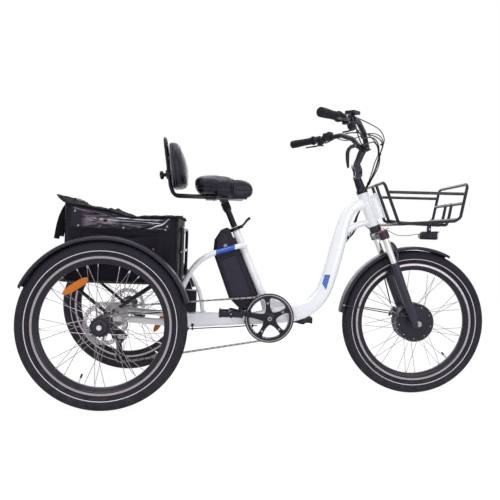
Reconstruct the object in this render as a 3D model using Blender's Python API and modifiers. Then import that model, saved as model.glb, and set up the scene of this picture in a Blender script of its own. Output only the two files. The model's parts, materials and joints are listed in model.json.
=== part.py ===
"""Electric tricycle: step-through frame, front hub motor, cargo rack with bag, metres, +Z up.

X points forward, Y to the rider's left, Z up. Z = 0 is the ground under the three wheels, and
X = 0 is the middle of the vehicle's length. Every tube, wheel and fitting is placed from the
driving dimensions below.
"""
import math

import bmesh
import bpy
from mathutils import Matrix, Vector

# Clearance between pieces that touch
GAP = 0.0003

# Distance from the middle of a six-sided bar to its flats, as a share of its radius
HEX_FLAT = math.cos(math.radians(30))

# Wheels: 24 inch, all three alike
WHEEL_RADIUS = 0.305
TYRE_WIDTH = 0.050
TYRE_FACETS = 36
TREAD_HALF_WIDTH = 0.013
BEAD_SEAT_RADIUS = 0.2535
RIM_DEPTH = 0.0325
RIM_WIDTH = 0.030
RIM_INNER_WIDTH = 0.017
SPOKES = 36
SPOKE_RADIUS = 0.0012
SPOKE_RIM_OFFSET = 0.003
SPOKE_HEAD_OFFSET = 0.0025
ROTOR_RADIUS = 0.080
ROTOR_THICKNESS = 0.0018
ROTOR_BAND = 0.017
ROTOR_WINDOWS = 5

# Stance
WHEELBASE = 1.249
TRACK = 0.660
REAR_AXLE_X = -0.612

# Rear axle
HALF_SHAFT_RADIUS = 0.010
AXLE_TUBE_RADIUS = 0.019
AXLE_TUBE_END = 0.245
REAR_FLANGE_RADIUS = 0.0365
REAR_FLANGE_SPACING = 0.060
REAR_ROTOR_OFFSET = 0.054
REAR_CROSSES_ANGLE = 55.0

# Steering
HEAD_ANGLE = 67.8
HEAD_TUBE_LENGTH = 0.148
HEAD_TUBE_RADIUS = 0.023
STEERER_RADIUS = 0.0143
FORK_OFFSET = 0.018
FORK_LENGTH = 0.4427
LEG_SPACING = 0.130
LEG_SETBACK = 0.008
STANCHION_RADIUS = 0.014
LOWER_RADIUS = 0.0190
LOWER_FOOT_RADIUS = 0.0160
CROWN_DROP = 0.062
STANCHION_VISIBLE = 0.110
STANCHION_INSERT = 0.090
FORK_TRAVEL = 0.030

# Front hub motor
MOTOR_RADIUS = 0.082
MOTOR_WIDTH = 0.068
MOTOR_CENTRE_Y = -0.004
MOTOR_FLANGE_SPACING = 0.052
FRONT_ROTOR_Y = 0.0385
MOTOR_CROSSES_ANGLE = 15.0
AXLE_RADIUS = 0.0070

# Frame
SEAT_ANGLE = 65.8
SEAT_TUBE_TOP = (-0.1395, 0.681)
SEAT_TUBE_RADIUS = 0.0165
SEAT_TUBE_LENGTH = 0.375
ARCH_TUBE_RADIUS = 0.0110
ARCH_SPACING = 0.100
CRANK_AXIS = (0.015, 0.310)
BOTTOM_BRACKET_RADIUS = 0.021
BOTTOM_BRACKET_WIDTH = 0.068

# Drive
CHAIN_PITCH = 0.0127
CHAIN_LINE = 0.045
CHAIN_WIDTH = 0.0075
CHAIN_PLATE = 0.0014
CHAIN_HEIGHT = 0.0078
ROLLER_LENGTH = 0.0070
CHAINRING_TEETH = 44
SPROCKET_TEETH = 16
PULLEY_TEETH = 11
TOOTH_THICKNESS = 0.0022
GUARD_RADIUS = 0.102
GUARD_WINDOWS = 5
CRANK_LENGTH = 0.165
CRANK_ANGLE = 170.0
PEDAL_Y = 0.150

# Seat
SEATPOST_RADIUS = 0.0127
SEATPOST_INSERT = 0.130
SEATPOST_EXPOSED = 0.086
SLIDER_RADIUS = 0.0100
SADDLE_LENGTH = 0.250
SADDLE_WIDTH = 0.240
SADDLE_TOP = 0.886
SADDLE_TAIL_X = -0.312
BACKREST_BAR_RADIUS = 0.0075
BACKREST_BAR_SPACING = 0.056
BACKREST_WIDTH = 0.250

# Battery
BATTERY_WIDTH = 0.072

# Cargo
RACK_HEIGHT = 0.456
RACK_FRONT_X = -0.354
RACK_REAR_X = -0.790
RACK_WIDTH = 0.470
RACK_TUBE_RADIUS = 0.0075
BAG_TOP = 0.705
BAG_WIDTH = 0.500
BAG_FRONT_X = -0.3530
BAG_REAR_X = -0.785
BAG_WALL = 0.004

# Front basket
BASKET_WIDTH = 0.290
BASKET_BAR_RADIUS = 0.005

# Fenders
FENDER_GAP = 0.0145
FENDER_THICKNESS = 0.0022
FENDER_WIDTH = 0.064
FENDER_LIP = 0.012

# Handlebar
BAR_RADIUS = 0.0111
BAR_CLAMP = (0.396, 1.036)
GRIP_RADIUS = 0.0165
GRIP_LENGTH = 0.128
HANDLEBAR_WIDTH = 0.720

# Everything below is laid out from the rear axle; this brings the middle of the length to X = 0
MIDDLE_SHIFT = -0.0125

TRACK_HALF = TRACK / 2
BAG_BOTTOM = RACK_HEIGHT + RACK_TUBE_RADIUS * HEX_FLAT + GAP
FRONT_AXLE_X = REAR_AXLE_X + WHEELBASE
AXLE_HEIGHT = WHEEL_RADIUS
FENDER_RADIUS = WHEEL_RADIUS + FENDER_GAP


# Scene and collections
def clear_scene():
    for obj in list(bpy.data.objects):
        bpy.data.objects.remove(obj, do_unlink=True)


def new_collection(name):
    collection = bpy.data.collections.new(name)
    bpy.context.scene.collection.children.link(collection)
    return collection


clear_scene()
PARTS = new_collection("electric_tricycle")


# Building blocks
def link(name, mesh):
    obj = bpy.data.objects.new(name, mesh)
    PARTS.objects.link(obj)
    return obj


def finish_bmesh(name, bm, merge=0.0):
    """Merge doubles where asked, point the faces outwards and make the object."""
    if merge:
        bmesh.ops.remove_doubles(bm, verts=bm.verts, dist=merge)
    bmesh.ops.recalc_face_normals(bm, faces=bm.faces)
    mesh = bpy.data.meshes.new(name)
    bm.to_mesh(mesh)
    bm.free()
    return link(name, mesh)


def bake(obj, merge=0.0):
    """Replace an object by its evaluated mesh in world space."""
    bpy.context.view_layer.update()
    depsgraph = bpy.context.evaluated_depsgraph_get()
    mesh = bpy.data.meshes.new_from_object(obj.evaluated_get(depsgraph))
    mesh.transform(obj.matrix_world)
    name = obj.name
    bpy.data.objects.remove(obj, do_unlink=True)
    bm = bmesh.new()
    bm.from_mesh(mesh)
    bpy.data.meshes.remove(mesh)
    return finish_bmesh(name, bm, merge)


def frame_along(start, end, up=(0, 0, 1)):
    """A matrix at start whose Z runs to end and whose X is as near to up as it can be."""
    start = Vector(start)
    z_axis = (Vector(end) - start).normalized()
    up = Vector(up)
    if abs(z_axis.dot(up.normalized())) > 0.999:
        up = Vector((1, 0, 0))
    x_axis = (up - z_axis * up.dot(z_axis)).normalized()
    y_axis = z_axis.cross(x_axis)
    turn = Matrix((x_axis, y_axis, z_axis)).transposed()
    return Matrix.Translation(start) @ turn.to_4x4()


def box(name, low, high, place=None):
    """An axis-aligned box between two corners of the frame `place`."""
    low = Vector(low)
    high = Vector(high)
    size = high - low
    bm = bmesh.new()
    scale = Matrix.Diagonal((*size, 1.0))
    bmesh.ops.create_cube(bm, size=1.0, matrix=Matrix.Translation((low + high) / 2) @ scale)
    if place is not None:
        bmesh.ops.transform(bm, matrix=place, verts=bm.verts)
    return finish_bmesh(name, bm)


def rod(name, start, end, radius, sides=12, end_radius=None):
    """A round bar or a cone between two points."""
    length = (Vector(end) - Vector(start)).length
    place = frame_along(start, end) @ Matrix.Translation((0, 0, length / 2))
    bm = bmesh.new()
    bmesh.ops.create_cone(
        bm, cap_ends=True, cap_tris=False, segments=sides, radius1=radius,
        radius2=radius if end_radius is None else end_radius, depth=length, matrix=place)
    return finish_bmesh(name, bm)


def tube(name, points, radius, sides=8, closed=False):
    """A round bar along a line of points, as a bevelled curve."""
    curve = bpy.data.curves.new(name, "CURVE")
    curve.dimensions = "3D"
    curve.bevel_depth = radius
    curve.bevel_resolution = (sides - 4) // 2
    curve.use_fill_caps = True
    spline = curve.splines.new("POLY")
    spline.points.add(len(points) - 1)
    for point, place in zip(spline.points, points):
        point.co = (*place, 1.0)
    spline.use_cyclic_u = closed
    return bake(link(name, curve), 1e-6)


def plate(name, outline, thickness, place, holes=()):
    """A flat outline with holes, extruded evenly about the XY plane of `place`."""
    curve = bpy.data.curves.new(name, "CURVE")
    curve.dimensions = "2D"
    curve.fill_mode = "BOTH"
    curve.extrude = thickness / 2
    for loop in (outline, *holes):
        spline = curve.splines.new("POLY")
        spline.points.add(len(loop) - 1)
        for point, (x, y) in zip(spline.points, loop):
            point.co = (x, y, 0.0, 1.0)
        spline.use_cyclic_u = True
    obj = link(name, curve)
    obj.matrix_world = place
    return bake(obj, 1e-6)


def turned(name, profile, sides, place, closed=False, phase=0.0):
    """A profile of (radius, height) points turned about Z of `place` with a Screw modifier."""
    mesh = bpy.data.meshes.new(name)
    vertices = [(radius, 0.0, height) for radius, height in profile]
    edges = [(i, i + 1) for i in range(len(profile) - 1)]
    if closed:
        edges.append((len(profile) - 1, 0))
    mesh.from_pydata(vertices, edges, [])
    obj = link(name, mesh)
    screw = obj.modifiers.new("turn", "SCREW")
    screw.steps = sides
    screw.render_steps = sides
    screw.use_merge_vertices = True
    screw.merge_threshold = 1e-6
    obj.matrix_world = place @ Matrix.Rotation(phase, 4, "Z")
    return bake(obj, 1e-6)


def loft(name, rings, closed=False):
    """A skin over rings of equal point count, capped at both ends unless it closes on itself."""
    bm = bmesh.new()
    rows = [[bm.verts.new(point) for point in ring] for ring in rings]
    count = len(rows)
    for i in range(count if closed else count - 1):
        first = rows[i]
        second = rows[(i + 1) % count]
        for j in range(len(first)):
            k = (j + 1) % len(first)
            bm.faces.new((first[j], first[k], second[k], second[j]))
    if not closed:
        bm.faces.new(rows[0])
        bm.faces.new(rows[-1])
    return finish_bmesh(name, bm)


def combine(base, tool, operation):
    name = base.name
    step = base.modifiers.new("join", "BOOLEAN")
    step.operation = operation
    step.solver = "EXACT"
    step.object = tool
    result = bake(base)
    bpy.data.objects.remove(tool, do_unlink=True)
    result.name = name
    return result


def union(base, *others):
    for other in others:
        base = combine(base, other, "UNION")
    return base


def cut(base, *tools):
    for tool in tools:
        base = combine(base, tool, "DIFFERENCE")
    return base


def gather(name, objects):
    """Several bodies as one mesh, to be joined or cut in one step."""
    bm = bmesh.new()
    for obj in objects:
        bm.from_mesh(obj.data)
        bpy.data.objects.remove(obj, do_unlink=True)
    mesh = bpy.data.meshes.new(name)
    bm.to_mesh(mesh)
    bm.free()
    return link(name, mesh)


def bevel(obj, width, segments=1, angle=35.0):
    """Round the edges that are sharper than the given angle."""
    step = obj.modifiers.new("round", "BEVEL")
    step.width = width
    step.segments = segments
    step.limit_method = "ANGLE"
    step.angle_limit = math.radians(angle)
    return bake(obj)


# Curves and outlines
def lerp(a, b, share):
    return a + (b - a) * share


def smooth_path(points, steps):
    """Catmull-Rom curve through points of any dimension, with `steps` spans between two."""
    points = [tuple(point) for point in points]
    ends = [tuple(2 * a - b for a, b in zip(points[0], points[1]))]
    ends.append(tuple(2 * a - b for a, b in zip(points[-1], points[-2])))
    line = [ends[0], *points, ends[1]]
    path = []
    for i in range(1, len(line) - 2):
        for step in range(steps):
            t = step / steps
            path.append(tuple(
                0.5 * (2 * b + (c - a) * t + (2 * a - 5 * b + 4 * c - d) * t * t
                       + (3 * b - a - 3 * c + d) * t ** 3)
                for a, b, c, d in zip(line[i - 1], line[i], line[i + 1], line[i + 2])))
    path.append(points[-1])
    return path


def rounded_path(points, radius, steps=3, closed=False):
    """A broken line whose corners are replaced by arcs of the given radius."""
    points = [Vector(point) for point in points]
    count = len(points)
    path = []
    for i, corner in enumerate(points):
        if not closed and i in (0, count - 1):
            path.append(corner)
            continue
        before = (points[i - 1] - corner).normalized()
        after = (points[(i + 1) % count] - corner).normalized()
        half = before.angle(after) / 2
        if half > math.radians(88):
            path.append(corner)
            continue
        reach = radius / math.tan(half)
        centre = corner + (before + after).normalized() * (radius / math.sin(half))
        first = corner + before * reach - centre
        last = corner + after * reach - centre
        sweep = first.angle(last)
        for step in range(steps + 1):
            share = step / steps
            arm = (first * math.sin((1 - share) * sweep) + last * math.sin(share * sweep))
            path.append(centre + arm / math.sin(sweep))
    return path


def circle(radius, sides, phase=0.0, centre=(0.0, 0.0)):
    return [(centre[0] + radius * math.cos(phase + 2 * math.pi * i / sides),
             centre[1] + radius * math.sin(phase + 2 * math.pi * i / sides))
            for i in range(sides)]


def superellipse(half_width, half_height, sides, power=2.6):
    """Ring of (width, height) points between an ellipse and a rectangle."""
    ring = []
    for i in range(sides):
        angle = 2 * math.pi * (i + 0.5) / sides
        c = math.cos(angle)
        s = math.sin(angle)
        ring.append((half_width * math.copysign(abs(c) ** (2 / power), c),
                     half_height * math.copysign(abs(s) ** (2 / power), s)))
    return ring


def mirrored(points):
    return [(x, -y, z) for x, y, z in points]


# Frames of reference
STEER_ANGLE = math.radians(90 - HEAD_ANGLE)
STEER_X = Vector((math.cos(STEER_ANGLE), 0, math.sin(STEER_ANGLE)))
STEER_Z = Vector((-math.sin(STEER_ANGLE), 0, math.cos(STEER_ANGLE)))
FRONT_AXLE = Vector((FRONT_AXLE_X, 0, AXLE_HEIGHT))
HEAD_LOW = FRONT_AXLE - STEER_X * FORK_OFFSET + STEER_Z * FORK_LENGTH
STEER = Matrix.Translation(HEAD_LOW) @ Matrix((STEER_X, (0, 1, 0), STEER_Z)).transposed().to_4x4()

SEAT_LEAN = math.radians(90 - SEAT_ANGLE)
SEAT_TOP = Vector((SEAT_TUBE_TOP[0], 0, SEAT_TUBE_TOP[1]))
SEAT_X = Vector((math.cos(SEAT_LEAN), 0, math.sin(SEAT_LEAN)))
SEAT_Z = Vector((-math.sin(SEAT_LEAN), 0, math.cos(SEAT_LEAN)))
SEAT = Matrix.Translation(SEAT_TOP) @ Matrix((SEAT_X, (0, 1, 0), SEAT_Z)).transposed().to_4x4()

# Turns the XY plane of an outline into the XZ plane of the vehicle
SIDE_VIEW = Matrix.Rotation(math.radians(90), 4, "X")
# A frame whose Z is the vehicle's Y, for pieces turned about an axle
ACROSS = Matrix.Rotation(math.radians(-90), 4, "X")


def steer(x, y, z):
    """A point given in the frame of the steering axis, from the head tube's lower end."""
    return STEER @ Vector((x, y, z))


def seat(x, y, z):
    """A point given in the frame of the seat tube, from its upper end."""
    return SEAT @ Vector((x, y, z))


# The head tube's lower end that the points of the main tube, handlebar and loom are drawn to
HEAD_DRAWN = Vector((0.45306, 0.0, 0.70808))
HEAD_SHIFT = HEAD_LOW - HEAD_DRAWN


def with_head(point, share=1.0):
    """A drawn point, moved by a share of what the head tube has moved since it was drawn."""
    return Vector(point) + HEAD_SHIFT * share


def side_plate(name, outline, half_width, holes=(), centre_y=0.0):
    """An outline in the XZ plane, extruded across the vehicle."""
    place = Matrix.Translation((0, centre_y, 0)) @ SIDE_VIEW
    return plate(name, outline, 2 * half_width, place, holes)


# Materials
def material(name, colour, roughness, metallic=0.0):
    made = bpy.data.materials.new(name)
    made.use_nodes = True
    shader = made.node_tree.nodes["Principled BSDF"]
    shader.inputs["Base Color"].default_value = (*colour, 1.0)
    shader.inputs["Roughness"].default_value = roughness
    shader.inputs["Metallic"].default_value = metallic
    return made


COLOURS = {
    "frame_white": ((0.86, 0.88, 0.92), 0.25, 0.0),
    "black_paint": ((0.02, 0.02, 0.023), 0.35, 0.0),
    "black_plastic": ((0.03, 0.03, 0.034), 0.5, 0.0),
    "grey_plastic": ((0.10, 0.10, 0.115), 0.55, 0.0),
    "fork_black": ((0.045, 0.045, 0.055), 0.4, 0.0),
    "tyre_rubber": ((0.045, 0.043, 0.047), 0.85, 0.0),
    "grip_rubber": ((0.03, 0.03, 0.033), 0.8, 0.0),
    "cable_black": ((0.015, 0.015, 0.017), 0.5, 0.0),
    "wheel_alloy": ((0.55, 0.53, 0.53), 0.3, 1.0),
    "bright_steel": ((0.72, 0.72, 0.73), 0.2, 1.0),
    "chain_steel": ((0.28, 0.21, 0.18), 0.4, 1.0),
    "bag_cloth": ((0.02, 0.02, 0.022), 0.75, 0.0),
    "seat_vinyl": ((0.035, 0.034, 0.037), 0.45, 0.0),
    "lever_red": ((0.75, 0.02, 0.03), 0.4, 0.0),
}
MATERIALS = {}


def merge_flat(obj):
    """Join the faces that lie in one plane, where the surface stays closed."""
    bm = bmesh.new()
    bm.from_mesh(obj.data)
    bmesh.ops.dissolve_limit(bm, angle_limit=math.radians(0.1), use_dissolve_boundaries=False,
                             verts=bm.verts, edges=bm.edges, delimit=set())
    bmesh.ops.triangulate(bm, faces=bm.faces)
    volume = abs(bm.calc_volume())
    closed = all(len(edge.link_faces) == 2 for edge in bm.edges)
    before = bmesh.new()
    before.from_mesh(obj.data)
    same = abs(volume - abs(before.calc_volume())) < 1e-5 * volume + 1e-11
    before.free()
    if closed and same:
        bm.to_mesh(obj.data)
    bm.free()


def dress(obj, colour):
    """Give an object its material and shade its round faces smooth."""
    merge_flat(obj)
    if colour not in MATERIALS:
        MATERIALS[colour] = material(colour, *COLOURS[colour])
    obj.data.transform(Matrix.Translation((MIDDLE_SHIFT, 0, 0)))
    obj.data.materials.clear()
    obj.data.materials.append(MATERIALS[colour])
    obj.data.shade_smooth()
    obj.data.set_sharp_from_angle(angle=math.radians(35))
    return obj


# Frame
BEAM_SECTIONS = (
    # x, z, height, width down the hydroformed main tube and back along the chainstay beam
    (0.414, 0.806, 0.050, 0.038),
    (0.372, 0.790, 0.050, 0.040),
    (0.351, 0.775, 0.052, 0.041),
    (0.334, 0.752, 0.054, 0.043),
    (0.324, 0.726, 0.056, 0.044),
    (0.315, 0.694, 0.058, 0.045),
    (0.303, 0.640, 0.064, 0.048),
    (0.282, 0.545, 0.063, 0.050),
    (0.256, 0.455, 0.065, 0.054),
    (0.233, 0.407, 0.069, 0.056),
    (0.190, 0.361, 0.073, 0.058),
    (0.120, 0.331, 0.076, 0.060),
    (0.015, 0.312, 0.068, 0.060),
    (-0.080, 0.299, 0.050, 0.052),
    (-0.210, 0.294, 0.060, 0.050),
    (-0.330, 0.289, 0.069, 0.050),
    (-0.405, 0.287, 0.069, 0.050),
)
BEAM_SIDES = 10
BEAM_HEAD_SECTION = 3
BEAM_CRANK_SECTION = 12
CROSS_TUBE = (-0.395, 0.292)
CROSS_TUBE_RADIUS = 0.016
STAY_Y = 0.125
STAY_RADIUS = 0.013
ARCH_POINTS = (
    (-0.092, 0.020, 0.604),
    (-0.112, 0.040, 0.603),
    (-0.140, 0.050, 0.597),
    (-0.226, 0.050, 0.568),
    (-0.272, 0.050, 0.540),
    (-0.307, 0.050, 0.502),
    (-0.332, 0.047, 0.455),
    (-0.350, 0.034, 0.412),
    (-0.368, 0.027, 0.365),
    (-0.390, 0.026, 0.300),
)
LEG_POINTS = (
    (-0.318, 0.0, 0.482),
    (-0.298, 0.0, 0.450),
    (-0.278, 0.0, 0.408),
    (-0.265, 0.0, 0.355),
    (-0.258, 0.0, 0.305),
)
BRACKET_LOW = 0.022
BRACKET_HIGH = 0.126
BRACKET_REACH = 0.049
BRACKET_FLANGE = 0.0045
BASKET_SEAT = BRACKET_REACH + BRACKET_FLANGE
CARRIER_RADIUS = 0.027
CARRIER_WIDTH = 0.020


def beam_rings():
    """Rounded-rectangle rings set square to the beam's centre line."""
    path = []
    for i, (x, z, height, width) in enumerate(BEAM_SECTIONS):
        share = min(1.0, max(0.0, (BEAM_CRANK_SECTION - i) / (BEAM_CRANK_SECTION - BEAM_HEAD_SECTION)))
        moved = with_head((x, 0, z), share)
        path.append((moved.x, moved.z, height, width))
    rings = []
    for i, (x, z, height, width) in enumerate(path):
        before = path[max(i - 1, 0)]
        after = path[min(i + 1, len(path) - 1)]
        along = Vector((after[0] - before[0], 0, after[1] - before[1])).normalized()
        upright = Vector((along.z, 0, -along.x))
        centre = Vector((x, 0, z))
        rings.append([centre + Vector((0, across, 0)) + upright * rise
                      for across, rise in superellipse(width / 2, height / 2, BEAM_SIDES)])
    return rings


def head_assembly():
    """Head tube, thin lower tube and the flanged bracket that carries the front basket."""
    head = rod("head", steer(0, 0, 0), steer(0, 0, HEAD_TUBE_LENGTH), HEAD_TUBE_RADIUS, 14)
    lower_points = [with_head((0.402, 0, 0.716)), with_head((0.366, 0, 0.702)),
                    with_head((0.322, 0, 0.668), 0.8)]
    lower = tube("lower", [steer(0.0, 0, 0.020), *lower_points], 0.0135, 6)
    web = box("web", (0.0, -0.019, BRACKET_LOW), (BRACKET_REACH + 0.002, 0.019, BRACKET_HIGH), STEER)
    flange = box("flange", (BRACKET_REACH, -0.030, BRACKET_LOW - 0.004),
                 (BASKET_SEAT, 0.030, BRACKET_HIGH + 0.004), STEER)
    return head, lower, web, flange


def rear_structure():
    """Cross tube, side stays and the two axle tubes that hold the half shafts."""
    x, z = CROSS_TUBE
    cross = rod("cross", (x, -STAY_Y - 0.018, z), (x, STAY_Y + 0.018, z), CROSS_TUBE_RADIUS, 8)
    pieces = [cross]
    for side in (-1, 1):
        stay_y = STAY_Y * side
        stay = tube("stay", [(x, stay_y, z), (-0.470, stay_y, 0.296), (REAR_AXLE_X, stay_y, AXLE_HEIGHT)],
                    STAY_RADIUS, 6)
        inner_y = side * 0.085 if side < 0 else 0.040
        tube_start = (REAR_AXLE_X, inner_y, AXLE_HEIGHT)
        tube_end = (REAR_AXLE_X, side * AXLE_TUBE_END, AXLE_HEIGHT)
        axle_tube = rod("axle_tube", tube_start, tube_end, AXLE_TUBE_RADIUS, 12)
        carrier_start = (REAR_AXLE_X, side * (AXLE_TUBE_END - CARRIER_WIDTH), AXLE_HEIGHT)
        carrier_end = (REAR_AXLE_X, side * (AXLE_TUBE_END - 0.002), AXLE_HEIGHT)
        carrier = rod("carrier", carrier_start, carrier_end, CARRIER_RADIUS, 12)
        pieces += [stay, axle_tube, carrier]
    return pieces


def build_main_frame():
    beam = loft("main_frame", beam_rings())
    seat_tube = rod("seat_tube", seat(0, 0, 0), seat(0, 0, -SEAT_TUBE_LENGTH), SEAT_TUBE_RADIUS, 12)
    seat_flare = rod("seat_flare", seat(0, 0, -0.290), seat(0, 0, -0.387),
                     SEAT_TUBE_RADIUS - 0.0012, 12, 0.027)
    fillet = side_plate("fillet", [(-0.022, 0.428), (-0.006, 0.419), (0.014, 0.399), (0.045, 0.379),
                                   (0.090, 0.364), (0.105, 0.340), (0.015, 0.318), (-0.010, 0.350)], 0.014)
    bracket_shell = rod("bb_shell", (CRANK_AXIS[0], -BOTTOM_BRACKET_WIDTH / 2, CRANK_AXIS[1]),
                        (CRANK_AXIS[0], BOTTOM_BRACKET_WIDTH / 2, CRANK_AXIS[1]), BOTTOM_BRACKET_RADIUS, 12)
    arches = [tube("arch", points, ARCH_TUBE_RADIUS, 6)
              for points in (ARCH_POINTS, mirrored(ARCH_POINTS))]
    arch_tie = rod("arch_tie", (-0.318, -ARCH_SPACING / 2, 0.482),
                   (-0.318, ARCH_SPACING / 2, 0.482), 0.008, 6)
    leg = tube("leg", LEG_POINTS, 0.0072, 6)
    frame = union(beam, *head_assembly(), seat_tube, seat_flare, fillet, bracket_shell, *arches,
                  arch_tie, leg, *rear_structure())

    steerer_bore = rod("bore", steer(0, 0, -0.01), steer(0, 0, HEAD_TUBE_LENGTH + 0.01),
                       STEERER_RADIUS + 0.0022, 12)
    seat_bore = rod("bore", seat(0, 0, 0.01), seat(0, 0, -0.250), SEATPOST_RADIUS + 0.0010, 12)
    crank_bore = rod("bore", (CRANK_AXIS[0], -0.06, CRANK_AXIS[1]), (CRANK_AXIS[0], 0.06, CRANK_AXIS[1]),
                     0.0115, 12)
    shaft_bore = rod("bore", (REAR_AXLE_X, -0.3, AXLE_HEIGHT), (REAR_AXLE_X, 0.3, AXLE_HEIGHT),
                     HALF_SHAFT_RADIUS + 0.001, 12)
    return cut(frame, steerer_bore, seat_bore, crank_bore, shaft_bore)


# Battery, its rail and the controller
RAIL_THICKNESS = 0.0052
RAIL_FACE = -(SEAT_TUBE_RADIUS + GAP + RAIL_THICKNESS)
BATTERY_FACE = RAIL_FACE - GAP
CONTROLLER_SEAT = 0.3240


def seat_plate(name, outline, half_width):
    """An outline in the seat tube's side plane, extruded across the vehicle."""
    return plate(name, outline, 2 * half_width, SEAT @ SIDE_VIEW)


def build_battery_rail():
    front = RAIL_FACE + RAIL_THICKNESS
    outline = [(front, -0.040), (RAIL_FACE, -0.040), (RAIL_FACE, -0.3005), (-0.078, -0.3325),
               (-0.112, -0.3175), (-0.116, -0.330), (-0.079, -0.346), (-0.026, -0.320), (front, -0.298)]
    return seat_plate("battery_rail", outline, 0.014)


def build_battery():
    outline = [(BATTERY_FACE, 0.010), (-0.058, 0.010), (-0.098, -0.018), (-0.123, -0.066),
               (-0.134, -0.262), (-0.114, -0.3125), (-0.078, -0.3285), (BATTERY_FACE, -0.2960)]
    shell = seat_plate("battery", outline, BATTERY_WIDTH / 2)
    shell = bevel(shell, 0.009, 1, 60)
    for side in (-1, 1):
        recess = seat_plate("recess", [(-0.040, -0.105), (-0.106, -0.105), (-0.117, -0.262),
                                       (-0.100, -0.294), (-0.078, -0.302), (-0.040, -0.280)], 0.004)
        recess.data.transform(Matrix.Translation((0, side * (BATTERY_WIDTH / 2 + 0.0025), 0)))
        shell = cut(shell, recess)
    return shell


def build_controller_box():
    shell = box("controller_box", (-0.3360, -0.033, CONTROLLER_SEAT), (-0.2880, 0.033, 0.4120))
    return bevel(shell, 0.003, 1)


# Wheels
def place_wheel(centre):
    return Matrix.Translation(centre) @ ACROSS


HALF_FACET = math.pi / TYRE_FACETS


def flats(radius):
    """Corner radius of the wheel polygon whose flats lie at `radius`."""
    return radius / math.cos(HALF_FACET)


def build_tyre(name, centre):
    """A filled tyre section turned about the axle, with a flat facet at the ground."""
    half = TYRE_WIDTH / 2
    profile = [(BEAD_SEAT_RADIUS + GAP, -0.0135), (BEAD_SEAT_RADIUS + GAP, 0.0135), (0.2820, half),
               (WHEEL_RADIUS, TREAD_HALF_WIDTH), (WHEEL_RADIUS, -TREAD_HALF_WIDTH), (0.2820, -half)]
    profile = [(flats(radius), height) for radius, height in profile]
    return turned(name, profile, TYRE_FACETS, place_wheel(centre), closed=True, phase=HALF_FACET)


def rim_body(centre):
    inner = BEAD_SEAT_RADIUS - RIM_DEPTH
    profile = [(BEAD_SEAT_RADIUS, -RIM_WIDTH / 2), (BEAD_SEAT_RADIUS, RIM_WIDTH / 2),
               (inner, RIM_INNER_WIDTH / 2), (inner, -RIM_INNER_WIDTH / 2)]
    profile = [(flats(radius), height) for radius, height in profile]
    return turned("rim", profile, TYRE_FACETS, place_wheel(centre), closed=True, phase=HALF_FACET)


def spoke_set(centre, flange_radius, flange_spacing, flange_middle, reach_angle):
    """Tangent-laced spokes: on each flange every other hub hole leads and the rest trail.

    A leading spoke meets the rim `reach_angle` ahead of its hub hole and a trailing one as far
    behind, and the far flange starts half a rim pitch later, so the rim holes are even.
    """
    place = place_wheel(centre)
    per_flange = SPOKES // 2
    step = 2 * math.pi / per_flange
    reach = math.radians(reach_angle)
    spokes = []
    for side in (-1, 1):
        offset = step / 2 if side > 0 else 0.0
        for hole in range(per_flange):
            lead = 1 if hole % 2 == 0 else -1
            hub_angle = hole * step + offset
            rim_angle = hub_angle + lead * reach
            height = flange_middle + side * flange_spacing / 2 + lead * SPOKE_HEAD_OFFSET
            rim_radius = BEAD_SEAT_RADIUS - RIM_DEPTH + 0.004
            start = Vector((flange_radius * math.cos(hub_angle), flange_radius * math.sin(hub_angle), height))
            end = Vector((rim_radius * math.cos(rim_angle), rim_radius * math.sin(rim_angle),
                          side * SPOKE_RIM_OFFSET))
            spokes.append(rod("spoke", place @ start, place @ end, SPOKE_RADIUS, 3))
    return gather("spokes", spokes)


def rotor_body(centre, offset, inner_radius):
    """A brake disc with a round band and a windowed carrier."""
    windows = []
    low = inner_radius + 0.010
    high = ROTOR_RADIUS - ROTOR_BAND
    half_low = math.radians(360 / ROTOR_WINDOWS * 0.28)
    half_high = math.radians(360 / ROTOR_WINDOWS * 0.34)
    for i in range(ROTOR_WINDOWS):
        middle = 2 * math.pi * i / ROTOR_WINDOWS
        windows.append([(radius * math.cos(middle + angle), radius * math.sin(middle + angle))
                        for radius, angle in ((low, -half_low), (high, -half_high), (high, half_high),
                                              (low, half_low))])
    place = place_wheel(centre) @ Matrix.Translation((0, 0, offset))
    return plate("rotor", circle(ROTOR_RADIUS, 20), ROTOR_THICKNESS, place, windows)


def build_rear_wheel(name, side):
    """Rim, spokes, finned hub, brake disc and half shaft, which turn together."""
    centre = Vector((REAR_AXLE_X, side * TRACK_HALF, AXLE_HEIGHT))
    half = REAR_FLANGE_SPACING / 2
    inboard = -side
    rotor_offset = inboard * REAR_ROTOR_OFFSET
    profile = [(0.0, side * 0.054), (0.0135, side * 0.054), (0.0135, side * 0.040),
               (REAR_FLANGE_RADIUS, side * (half + 0.005)), (REAR_FLANGE_RADIUS, side * (half - 0.005)),
               (0.0230, side * (half - 0.011)), (0.0230, inboard * (half - 0.011)),
               (REAR_FLANGE_RADIUS, inboard * (half - 0.005)), (REAR_FLANGE_RADIUS, inboard * (half + 0.005)),
               (0.0240, rotor_offset + inboard * 0.003), (0.0, rotor_offset + inboard * 0.003)]
    hub = turned("hub", profile, 12, place_wheel(centre))
    shaft_end = Vector((REAR_AXLE_X, side * (0.046 if side > 0 else 0.0725), AXLE_HEIGHT))
    shaft_start = centre - Vector((0, side * (REAR_ROTOR_OFFSET + 0.002), 0))
    shaft = rod("shaft", shaft_start, shaft_end, HALF_SHAFT_RADIUS, 8)
    rotor = rotor_body(centre, rotor_offset, 0.024)
    spokes = spoke_set(centre, REAR_FLANGE_RADIUS - 0.004, REAR_FLANGE_SPACING, 0.0, REAR_CROSSES_ANGLE)
    hub = union(hub, rotor, shaft)
    wheel = gather(name, [hub, rim_body(centre)])
    return union(wheel, spokes)


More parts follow.
